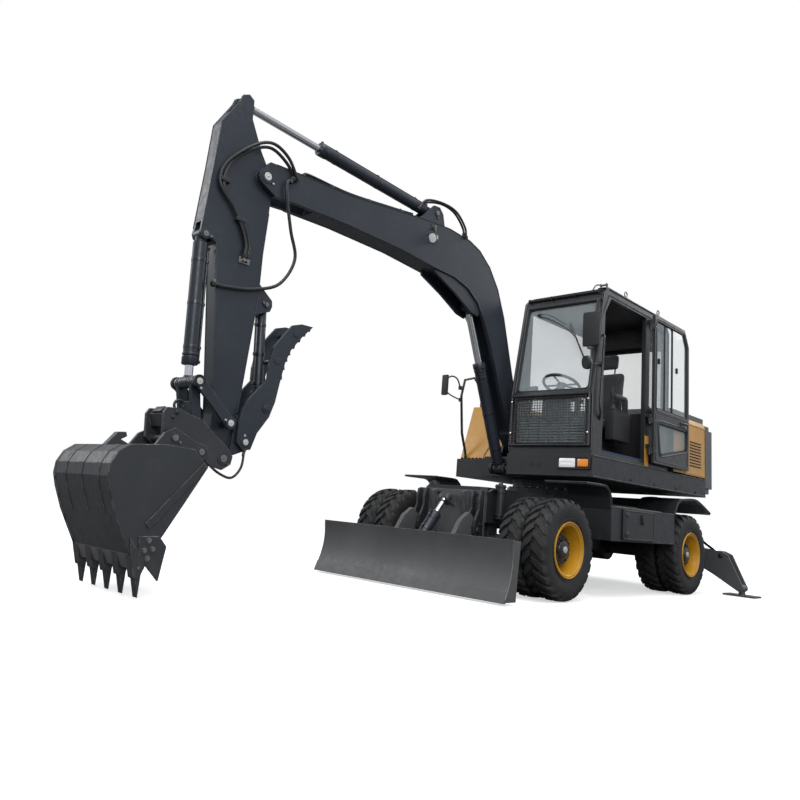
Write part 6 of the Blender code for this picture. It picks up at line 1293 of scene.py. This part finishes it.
skin = Piece().plate(blade_line(0.0) + blade_line(0.020)[::-1], -BLADE_HALF, BLADE_HALF)
for side in (-1, 1):
    outline = [
        (-2.437, 0.026), *blade_line(0.004)[1:-1][::-1], (-2.370, 0.490), (-2.262, 0.484), (-2.282, 0.300),
        (-2.300, 0.026),
    ]
    low, high = span(side, BLADE_HALF - 0.020, BLADE_HALF + 0.001)
    skin.plate(outline, low, high)
    low, high = span(side, 0.318, 0.362)
    skin.plate(BLADE_ARM, low, high, 0.003)
    low, high = span(side, 0.032, 0.052)
    skin.plate(BLADE_EAR, low, high, 0.002)
    for x in (0.600, 0.850):
        low, high = span(side, x, x + 0.016)
        skin.plate([*blade_line(0.012)[1:-2], (-2.350, 0.080), (-2.325, 0.120), (-2.315, 0.440)], low, high)
skin.plate(
    [(-2.360, 0.486), (-2.366, 0.466), (-2.320, 0.452), (-2.312, 0.470)],
    -BLADE_HALF + 0.01, BLADE_HALF - 0.01, 0.002,
)
skin.box(at(-BLADE_HALF + 0.02, -2.395, 0.092), at(BLADE_HALF - 0.02, -2.345, 0.112), 0.003)
skin.make("blade_body", "blade", blade_grey, "blade_grey", ["blade"])
BLADE_SIDE = BLADE_HALF - 0.002
cutting = Piece().plate(
    [(-2.4545, 0.0185), (-2.420, 0.110), (-2.411, 0.110), (-2.438, 0.0185)], -BLADE_SIDE, BLADE_SIDE
)
cutting.make("blade_edge", "blade", blade_grey, "blade_grey")
bolts = Piece()
for k in range(9):
    bolts.bolt(at(-0.980 + 0.245 * k, -2.398, 0.075), (0, 1, -0.2), 0.013, 0.016)
bolts.make("blade_edge_bolts", "blade", bucket_grey, "cast_iron")
rolled = Piece()
rolled.tube(places((-BLADE_HALF, -2.370, 0.490), (BLADE_HALF, -2.370, 0.490)), 0.0035, 8, straight=True)
for side in (-1, 1):
    rolled.tube(
        [at(side * BLADE_SIDE, y, z) for y, z in blade_line(-0.0005)[1:-1]], 0.0035, 8, straight=True
    )
rolled.make("blade_rim", "blade", steel, "blade_grey")
pin = Piece()
for side in (-1, 1):
    middle = side * 0.340
    pin.rod(at(middle - 0.052, -1.880, 0.530), at(middle + 0.052, -1.880, 0.530), 0.020, 24)
    for end in (-0.050, 0.050):
        pin.bolt(at(middle + end, -1.880, 0.530), (end, 0, 0), 0.018, 0.012)
        pin.bolt(at(middle + end * 0.96, -1.850, 0.585), (end, 0, 0), 0.008, 0.008)
for side in (-1, 1):
    pin.rod(at(side * 0.034, -1.885, 0.800), at(side * 0.062, -1.885, 0.800), 0.020, 20)
pin.make("bracket_pins", "chassis", steel, "chrome_rod")
BRACKET_PLATE = [
    (-1.806, 0.880), (-1.850, 0.872), (-1.868, 0.800), (-1.862, 0.720), (-1.920, 0.610), (-1.938, 0.560),
    (-1.938, 0.505), (-1.905, 0.470), (-1.806, 0.462),
]
BRACKET_WELD = [(-1.810, 0.882), (-1.848, 0.874), (-1.866, 0.800), (-1.864, 0.720), (-1.918, 0.612)]
bracket = Piece()
for side in (-1, 1):
    for inner in (0.276, 0.364):
        low, high = span(side, inner, inner + 0.024)
        bracket.plate(BRACKET_PLATE, low, high, 0.002)
        bracket.tube([at((low + high) / 2, y, z) for y, z in BRACKET_WELD], 0.005, 8, straight=True)
for x in (-0.300, -0.150, 0.150, 0.300):
    for z in (0.480, 0.850):
        bracket.bolt(at(x, -1.8055, z), (0, -1, 0), 0.012, 0.012)
bracket.make("bracket_plates", "chassis", frame_grey, "frame_grey")
locks = Piece()
for side in (-1, 1):
    for z in (0.665, 0.880, 0.930):
        locks.rod(at(side * 0.405, -1.585, z), at(side * 0.405, -1.585, z + 0.016), 0.053, 28)
    locks.bolt(at(side * 0.405, -1.585, 0.9545), (0, 0, 1), 0.020, 0.016)
    feed = ((0.405, -1.630, 0.900), (0.400, -1.700, 0.900), (0.360, -1.740, 0.860), (0.330, -1.750, 0.800))
    locks.tube([at(side * x, y, z) for x, y, z in feed], 0.009, 8)
locks.make("axle_lock_cylinders", "chassis", black_paint, "frame_grey")

# Chassis, fenders and tool boxes

TOOLBOX_FACE_X = 1.1375
ring_bolts = Piece()
for k in range(32):
    angle = math.tau * k / 32
    ring_bolts.bolt(at(0.490 * math.cos(angle), 0.490 * math.sin(angle), 1.0005), (0, 0, 1), 0.010, 0.014)
ring_bolts.make("slew_ring_bolts", "chassis", steel, "cast_iron")
for side in (-1, 1):
    word = side_name(side)
    fender = Piece()
    outer, inner = side * 1.1135, side * 0.682
    front = [(-1.270, 1.030), (-0.950, 1.030), (-0.880, 1.012), (-0.818, 0.955), (-0.790, 0.860)]
    rear = [(0.625, 0.850), (0.715, 0.978), (0.812, 1.018), (1.160, 1.040), (1.345, 1.004), (1.618, 0.912)]
    for x in (outer, inner):
        fender.tube([at(x, y, z) for y, z in front], 0.008, 8, 4)
        fender.tube([at(x, y, z) for y, z in rear], 0.008, 8, 4)
    fender.tube(places((outer, -1.266, 1.030), (inner, -1.266, 1.030)), 0.008, 8, straight=True)
    fender.tube(places((outer, 1.614, 0.913), (inner, 1.614, 0.913)), 0.008, 8, straight=True)
    frame_line = [(-0.792, 0.540), (0.612, 0.540), (0.612, 0.842), (-0.792, 0.842)]
    fender.seam(frame_line, side * 1.1145, 0.012, 0.004, steps=2)
    for y in (-1.150, -1.000):
        for x in (0.760, 1.040):
            fender.bolt(at(side * x, y, 1.0355), (0, 0, 1), 0.011, 0.009)
    fender.make(f"fender_edges_{word}", "chassis", frame_grey, "frame_grey")
    tread = Piece()
    for k in range(2):
        x0, x1 = span(side, 0.760 + 0.180 * k, 0.900 + 0.180 * k)
        tread.box(at(x0, -0.640, 0.8502), at(x1, 0.380, 0.858), 0.003)
        for m in range(24):
            tread.box(at(x0 + 0.010, -0.620 + 0.042 * m, 0.857), at(x1 - 0.010, -0.610 + 0.042 * m, 0.861))
    tread.make(f"toolbox_treads_{word}", "chassis", panel_grey, "grey_panel")
    body = f"toolbox_{word}"
    face = side * TOOLBOX_FACE_X
    seam = [(-0.545, 0.556), (0.062, 0.556), (0.062, 0.824), (-0.545, 0.824)]
    panel = Piece().seam(seam, face, 0.02, 0.0045, steps=3)
    for z in (0.580, 0.760):
        x0, x1 = span(side, TOOLBOX_FACE_X, 1.1425)
        panel.box(at(x0, -0.560, z), at(x1, -0.480, z + 0.045), 0.002)
        for y in (-0.535, -0.500):
            panel.bolt(at(side * 1.1415, y, z + 0.022), (side, 0, 0), 0.006, 0.005)
    panel.make(f"toolbox_seam_{word}", body, frame_grey, "frame_grey")
    catch = Piece()
    x0, x1 = span(side, 1.137, 1.146)
    catch.box(at(x0, -0.230, 0.700), at(x1, -0.180, 0.800), 0.004)
    catch.rod(at(side * 1.146, -0.205, 0.775), at(side * 1.150, -0.205, 0.775), 0.014, 20)
    x0, x1 = span(side, 1.146, 1.154)
    catch.box(at(x0, -0.213, 0.705), at(x1, -0.197, 0.760), 0.003)
    catch.make(f"toolbox_catch_{word}", body, seal, "rail_black")
    key = Piece().rod(at(side * 1.150, -0.205, 0.775), at(side * 1.1515, -0.205, 0.775), 0.006, 12)
    key.make(f"toolbox_key_{word}", body, steel, "chrome_rod")
    hinge = Piece()
    x = side * 1.1263
    for z in (0.560, 0.740):
        hinge.rod(at(x, -0.575, z), at(x, -0.575, z + 0.060), 0.0118, 12)
    hinge.make(f"toolbox_hinge_{word}", body, black_paint, "frame_grey")
under = Piece()
for x in (-0.240, -0.200, 0.200, 0.240):
    line = ((x, -1.700, 0.595), (x, -1.300, 0.590), (x * 0.8, -0.800, 0.590), (x * 0.9, 0.000, 0.592))
    under.tube(places(*line), 0.012, 8)
for y in (-1.530, 1.0625):
    for side in (-1, 1):
        bend = ((0.560, 0.060, 0.500), (0.470, 0.150, 0.560), (0.380, 0.180, 0.600))
        under.tube([at(side * x, y + back, z) for x, back, z in bend], 0.010, 8)
under.make("chassis_hoses", "chassis", hose_rubber, "cab_trim")

# Outrigger pins and feet

LEG_FACES = ((1.873, -1), (2.037, 1))
for side in (-1, 1):
    word = side_name(side)
    ends = Piece()
    for x, z, radius in ((0.450, 0.420, 0.026), (1.135, 0.436, 0.020)):
        for y, way in LEG_FACES:
            ends.rod(at(side * x, y - way * 0.006, z), at(side * x, y + way * 0.003, z), radius * 1.4, 28)
            ends.bolt(at(side * x, y + way * 0.003, z), (0, way, 0), radius * 0.6, 0.008)
    ends.make(f"outrigger_pins_{word}", f"outrigger_{word}", black_paint, "frame_grey")
    ends = Piece()
    for y, way in LEG_FACES:
        ends.bolt(at(side * 1.346, y - way * 0.001, 0.092), (0, way, 0), 0.014, 0.008)
    ends.make(f"foot_pins_{word}", f"outrigger_{word}", steel, "cast_iron")
    grip = Piece()
    for k in range(5):
        x = side * (1.346 - 0.130 + 0.065 * k)
        grip.box(at(x - 0.004, 1.850, 0.0045), at(x + 0.004, 2.060, 0.024), 0.001)
    grip.make(f"foot_ribs_{word}", f"foot_{word}", frame_grey, "frame_grey")

# Deck, engine doors, covers and counterweight

HOUSE_SIDE_X = 1.0605
TAIL_RADIUS = 2.100
TAIL_SEAM_RADIUS = 2.0985


def tail_y(x, radius=TAIL_RADIUS):
    """How far back the counterweight's round face lies, from the swing axis."""
    return math.sqrt(radius**2 - x**2)


deck = Piece()
for side in (-1, 1):
    x = side * HOUSE_SIDE_X
    front = -1.070 if side > 0 else -0.440
    deck.tube(places((x, front, 1.100), (x, 1.610, 1.100)), 0.007, 8, straight=True)
    deck.tube(places((x, front, 1.293), (x, 1.610, 1.293)), 0.005, 8, straight=True)
    for y in (-0.300, 0.240, 0.780, 1.320):
        deck.bolt(at(x - side * 0.001, y, 1.135), (side, 0, 0), 0.011, 0.009)
deck.tube(places((0.105, -1.0795, 1.100), (1.055, -1.0795, 1.100)), 0.007, 8, straight=True)
deck.make("deck_edges", "upper", frame_grey, "frame_grey")
for side in (-1, 1):
    word = side_name(side)
    x = side * HOUSE_SIDE_X
    seams = Piece()
    seams.seam([(1.040, 1.335), (1.578, 1.335), (1.578, 1.895), (1.040, 1.895)], x, 0.03, 0.0045)
    seams.make(f"engine_door_edge_{word}", f"engine_door_{word}", yellow, "yellow_panel")
    louvres = Piece()
    for k in range(9):
        z = 1.420 + 0.034 * k
        x0, x1 = sorted((x - side * 0.002, x + side * 0.006))
        louvres.box(at(x0, 1.150, z), at(x1, 1.470, z + 0.012), 0.002, Matrix.Rotation(0.25 * side, 3, "Y"))
    x0, x1 = sorted((x - side * 0.001, x + side * 0.006))
    louvres.box(at(x0, 1.058, 1.590), at(x1, 1.092, 1.690), 0.004)
    louvres.rod(at(x + side * 0.006, 1.075, 1.665), at(x + side * 0.010, 1.075, 1.665), 0.011, 20)
    louvres.make(f"engine_door_louvres_{word}", f"engine_door_{word}", seal, "cab_trim")
    joint = Piece()
    for y in (0.700, 1.006):
        line = places(
            (x - side * 0.001, y, 1.320), (x - side * 0.001, y, 1.905), (x - side * 0.016, y, 1.950)
        )
        joint.tube(line, 0.004, 6, straight=True)
    joint.make(f"side_panel_seams_{word}", "upper", seal, "cab_trim")
    x0, x1 = span(side, 1.0595, 1.0612)
    skin = Piece().box(at(x0, 0.700, 1.318), at(x1, 1.006, 1.902))
    skin.make(f"side_panel_{word}", "upper", yellow, "yellow_panel")
cover = Piece()
cover.seam([(-0.210, 1.340), (0.640, 1.340), (0.640, 1.900), (-0.150, 1.900)], -1.0305, 0.05, 0.005)
curve = [
    (-0.700, -0.415, 1.330), (-0.640, -0.372, 1.480), (-0.600, -0.326, 1.640), (-0.640, -0.280, 1.800),
    (-0.760, -0.246, 1.925),
]
cover.tube([at(x, y - 0.004, z) for x, y, z in curve], 0.005, 8)
cover.make("cover_seams", "upper", yellow, "yellow_panel")
black = Piece()
strip = [
    (-0.430, 1.306), (-0.425, 1.330), (-0.236, 1.948), (-0.180, 1.953), (-0.180, 1.930), (-0.230, 1.900),
    (-0.405, 1.320),
]
black.plate(strip, -0.440, -0.412, 0.003)
for k in range(11):
    black.box(at(-1.020 + 0.054 * k, -0.434, 1.3005), at(-0.994 + 0.054 * k, -0.420, 1.318), 0.002)
black.box(at(-0.560, -0.468, 1.130), at(-0.440, -0.4505, 1.270), 0.005)
black.rod(at(-0.700, 0.150, 1.950), at(-0.700, 0.150, 1.975), 0.055, 32, 0.050)
black.rod(at(-0.860, 0.520, 1.950), at(-0.860, 0.520, 1.966), 0.045, 32, 0.042)
black.make("cover_trim", "upper", seal, "cab_trim")
marker = Piece().box(at(-0.430, -0.452, 1.285), at(-0.395, -0.4508, 1.330), 0.002)
marker.make("cover_marker", "upper", orange, "yellow_panel")
lid = Piece()
for k in range(14):
    y = 0.860 + 0.052 * k
    lid.box(at(-0.420, y, 2.0245), at(0.420, y + 0.022, 2.030), 0.002, Matrix.Rotation(0.15, 3, "X"))
for x in (-0.560, 0.560):
    handle = places((x, 1.480, 2.024), (x, 1.480, 2.055), (x, 1.580, 2.055), (x, 1.580, 2.024))
    lid.tube(handle, 0.008, 10, straight=True)
corners = [(x, y, 2.0255) for x, y in ((-0.960, 0.770), (0.960, 0.770), (0.960, 1.600), (-0.960, 1.600))]
lid.loop([at(*point) for point in rounded(corners, 0.05)], 0.005)
lid.make("hood_vents", "hood", black_paint, "rail_black")
tail = Piece()
for side in (-1, 1):
    for z in (1.260, 1.830):
        x = side * 0.780
        y = tail_y(x)
        tail.bolt(at(x, y - 0.002, z), (x, y, 0), 0.030, 0.002)
seams = [at(x, tail_y(x, TAIL_SEAM_RADIUS), 1.340) for x in (-0.9, -0.6, -0.3, 0.0, 0.3, 0.6, 0.9)]
tail.tube(seams, 0.003, 8, 4)
tail.tube([p + Vector((0, 0, 0.430)) for p in seams], 0.003, 8, 4)
tail.make("counterweight_seams", "upper", seal, "cab_trim")
lamps = Piece()
for side in (-1, 1):
    x = side * 0.860
    y = tail_y(x) - 0.006
    turn = Matrix.Rotation(-math.atan2(x, y), 3, "Z")
    lamps.box(at(x - 0.070, y - 0.010, 1.395), at(x + 0.070, y + 0.004, 1.455), 0.005, turn)
lamps.make("tail_lamps", "upper", red_lamp, "glass")

# Seat and controls

PAD_STEPS = 20
PAD_PRESSURE = 4
PAD_SMOOTH = 60
WIDE_PAD = 0.4


def settled(piece):
    """Turns what the modifiers show into the piece's own mesh."""
    shown = piece.evaluated_get(bpy.context.evaluated_depsgraph_get())
    before = piece.data
    piece.data = bpy.data.meshes.new_from_object(shown)
    piece.modifiers.clear()
    bpy.data.meshes.remove(before)


def stuffed(pad, voxel, cap):
    """Swells a cushion by a short cloth simulation; no point moves further than the cap."""
    fine = pad.modifiers.new("fine", "REMESH")
    fine.mode = "VOXEL"
    fine.voxel_size = voxel
    fine.use_smooth_shade = True
    settled(pad)
    start = [vert.co.copy() for vert in pad.data.vertices]
    swell = pad.modifiers.new("swell", "CLOTH")
    swell.settings.use_pressure = True
    swell.settings.uniform_pressure_force = PAD_PRESSURE
    swell.settings.effector_weights.gravity = 0
    for step in range(1, PAD_STEPS + 1):
        bpy.context.scene.frame_set(step)
    settled(pad)
    for vert, place in zip(pad.data.vertices, start):
        moved = vert.co - place
        if moved.length > cap:
            vert.co = place + moved * (cap / moved.length)
    bpy.context.scene.frame_set(1)
    pad.modifiers.new("smooth", "SUBSURF").levels = 1
    settled(pad)
    pad.data.shade_smooth()


def upholstered(piece, name, replaces=()):
    return piece.make(name, "upper", cloth, "cab_trim", replaces, PAD_SMOOTH)


pads = []
cushion = Piece().box(at(0.342, -0.378, 1.664), at(0.778, 0.076, 1.752), 0.030)
for x in (0.368, 0.752):
    cushion.tube(places((x, -0.345, 1.730), (x, -0.150, 1.748), (x, 0.040, 1.740)), 0.024, 12)
pads.append(upholstered(cushion, "seat_cushion", ["seat"]))
lean = Matrix.Rotation(-0.14, 3, "X")
back = Piece().box(at(0.352, 0.020, 1.745), at(0.768, 0.104, 2.325), 0.030, lean)
for x in (0.378, 0.742):
    back.tube(places((x, 0.006, 1.800), (x, 0.010, 2.020), (x, 0.070, 2.280)), 0.026, 12)
pads.append(upholstered(back, "seat_back"))
head = Piece().box(at(0.445, 0.085, 2.375), at(0.675, 0.165, 2.540), 0.035, lean)
pads.append(upholstered(head, "head_rest"))
for x, name in ((0.300, "arm_rest_inner"), (0.820, "arm_rest_outer")):
    rest = Piece().box(at(x - 0.036, -0.260, 1.985), at(x + 0.036, 0.010, 2.030), 0.018)
    pads.append(upholstered(rest, name))
for pad in pads:
    wide = max(pad.dimensions) > WIDE_PAD
    stuffed(pad, 0.010 if wide else 0.006, 0.012 if wide else 0.006)
base = Piece().box(at(0.370, -0.315, 1.346), at(0.750, 0.040, 1.420), 0.010)
for k in range(7):
    step = 0.012 * (k % 2)
    base.box(
        at(0.400 + step, -0.290 + step, 1.420 + 0.033 * k),
        at(0.720 - step, 0.020 - step, 1.453 + 0.033 * k), 0.008,
    )
base.box(at(0.345, -0.380, 1.640), at(0.775, 0.070, 1.662), 0.008)
for x in (0.480, 0.640):
    base.rod(at(x, 0.118, 2.320), at(x, 0.130, 2.400), 0.008, 12)
base.box(at(0.330, 0.060, 1.640), at(0.790, 0.110, 1.780), 0.010)
base.make("seat_base", "upper", black_paint, "cab_trim")
controls = Piece()
for side, inner in ((-1, 0.330), (1, 0.790)):
    low, high = sorted((inner, inner + side * 0.105))
    controls.box(at(low, -0.366, 1.530), at(high, 0.000, 1.842), 0.022)
    controls.box(at(low + 0.010, -0.356, 1.838), at(high - 0.010, -0.030, 1.858), 0.008)
    controls.box(at(low + 0.030, -0.060, 1.840), at(high - 0.030, 0.000, 2.000), 0.008)
    x, y = (low + high) / 2, -0.295
    for k in range(4):
        controls.rod(
            at(x, y, 1.856 + 0.012 * k), at(x, y, 1.870 + 0.012 * k), 0.036 - 0.006 * k, 20,
            0.030 - 0.006 * k,
        )
    controls.tube(places((x, y, 1.900), (x, y - 0.010, 1.950), (x, y - 0.016, 1.990)), 0.009, 10)
    controls.tube(places((x, y - 0.014, 1.975), (x, y - 0.022, 2.020), (x, y - 0.012, 2.070)), 0.021, 14)
    controls.ball(at(x, y - 0.012, 2.076), 0.023, (1, 1, 0.7))
for x in (0.470, 0.650):
    controls.box(
        at(x - 0.045, -0.930, 1.430), at(x + 0.045, -0.915, 1.560), 0.006, Matrix.Rotation(0.5, 3, "X")
    )
    controls.rod(at(x, -0.905, 1.470), at(x, -0.905, 1.760), 0.008, 12)
    controls.ball(at(x, -0.905, 1.765), 0.016)
controls.make("seat_consoles", "upper", trim, "cab_trim")
shelf = Piece()
shelf.box(at(0.155, 0.300, 1.346), at(0.980, 0.570, 1.900), 0.015)
shelf.box(at(0.160, -0.720, 2.885), at(0.975, 0.440, 2.932), 0.012)
shelf.box(at(0.160, 0.330, 2.700), at(0.975, 0.560, 2.900), 0.020)
shelf.box(at(0.250, 0.326, 2.740), at(0.520, 0.334, 2.850), 0.004)
shelf.box(at(0.152, -0.985, 1.345), at(0.983, 0.560, 1.352), 0.001)
shelf.make("cab_lining", "upper", trim, "cab_trim")
STEERING_RADIUS = 0.185
dash = Piece().box(at(0.440, -0.975, 1.850), at(0.680, -0.880, 1.905), 0.015)
lean = Vector((0, 0.45, 1)).normalized()
hub = at(0.560, -0.925, 1.8555) + lean * STEERING_RADIUS
dash.rod(hub - lean * 0.090, hub + lean * 0.012, 0.030, 24, 0.045)
dash.ball(hub + lean * 0.010, 0.050, (1, 1, 0.4))
tilted = Vector((1, 0, 0)).cross(lean)


def round_steering(turn):
    """A unit vector in the steering wheel's plane."""
    return Vector((math.cos(turn), 0, 0)) + tilted * math.sin(turn)


rim = [hub + round_steering(math.tau * k / 40) * STEERING_RADIUS for k in range(40)]
dash.loop(rim, 0.0155, 12)
for turn in (90, 210, 330):
    dash.rod(hub, hub + round_steering(math.radians(turn)) * 0.180, 0.010, 10)
dash.make("steering_wheel", "upper", trim, "cab_trim")
monitor = Piece().box(
    at(0.190, -0.960, 1.900), at(0.330, -0.925, 2.010), 0.008, Matrix.Rotation(-0.25, 3, "X")
)
monitor.tube(places((0.260, -0.930, 1.900), (0.240, -0.930, 1.700), (0.200, -0.950, 1.400)), 0.014, 10)
monitor.make("monitor", "upper", screen, "cab_trim")

# Right mirror on the hand rail

far = Piece().box(at(-0.990, -0.915, 1.985), at(-0.905, -0.880, 2.225), 0.016)
upper_stay = ((-0.880, 2.180), (-0.780, 2.230), (-0.680, 2.215), (-0.612, 2.120))
lower_stay = ((-0.880, 2.040), (-0.800, 2.010), (-0.700, 1.990), (-0.596, 1.980))
far.tube([at(-0.950, y, z) for y, z in upper_stay], 0.009, 10)
far.tube([at(-0.950, y, z) for y, z in lower_stay], 0.008, 10)
for y, z in ((-0.612, 2.120), (-0.594, 1.980)):
    far.rod(at(-0.950, y, z - 0.020), at(-0.950, y, z + 0.020), 0.024, 20)
far.make("right_mirror", "upper", trim, "cab_trim")
face = Piece().box(at(-0.980, -0.882, 1.998), at(-0.915, -0.877, 2.212), 0.001)
face.make("right_mirror_face", "upper", mirror_face, "glass")

# Stage: a pale floor and soft lamps; the camera alone sees the white ground around the machine

FLOOR_BOUNCE = 0.16
FLOOR_SEEN = 0.82
FLOOR_GLOW = 0.54
AMBIENT = 0.62


def camera_ray(nodes):
    """The light path's switch that is one on rays from the camera."""
    return nodes.new("ShaderNodeLightPath").outputs["Is Camera Ray"]


bpy.ops.mesh.primitive_plane_add(size=160, location=(0, 0, -0.001))
floor = bpy.context.object
floor.name = "floor"
look = Look("floor_finish")
seen = camera_ray(look.nodes)
look.set("Base Color", look.mixed(seen, (FLOOR_BOUNCE,) * 3, (FLOOR_SEEN,) * 3))
look.set("Roughness", 0.9)
look.set("Specular IOR Level", 0.1)
look.set("Emission Color", (1, 1, 1, 1))
look.set("Emission Strength", look.times(seen, FLOOR_GLOW))
floor.data.materials.append(look.material)

world = bpy.data.worlds.new("studio")
bpy.context.scene.world = world
world.use_nodes = True
nodes, links = world.node_tree.nodes, world.node_tree.links
ambient = nodes["Background"]
ambient.inputs["Color"].default_value = (0.90, 0.95, 1.0, 1)
ambient.inputs["Strength"].default_value = AMBIENT
ground = nodes.new("ShaderNodeBackground")
ground.inputs["Color"].default_value = (1, 1, 1, 1)
ground.inputs["Strength"].default_value = 1.0
choice = nodes.new("ShaderNodeMixShader")
links.new(camera_ray(nodes), choice.inputs[0])
links.new(ambient.outputs[0], choice.inputs[1])
links.new(ground.outputs[0], choice.inputs[2])
links.new(choice.outputs[0], nodes["World Output"].inputs["Surface"])

SOFTBOXES = [((3, -3, 12), 9, 900), ((10, -9, 6), 5, 520), ((-10, -8, 7), 5, 260), ((2, 11, 8), 6, 300)]
for place, size, power in SOFTBOXES:
    light = bpy.data.lights.new("softbox", "AREA")
    light.size = size
    light.energy = power
    lamp = bpy.data.objects.new("softbox", light)
    bpy.context.scene.collection.objects.link(lamp)
    lamp.location = place
    lamp.rotation_euler = (Vector((0, 0, 1)) - lamp.location).to_track_quat("-Z", "Y").to_euler()
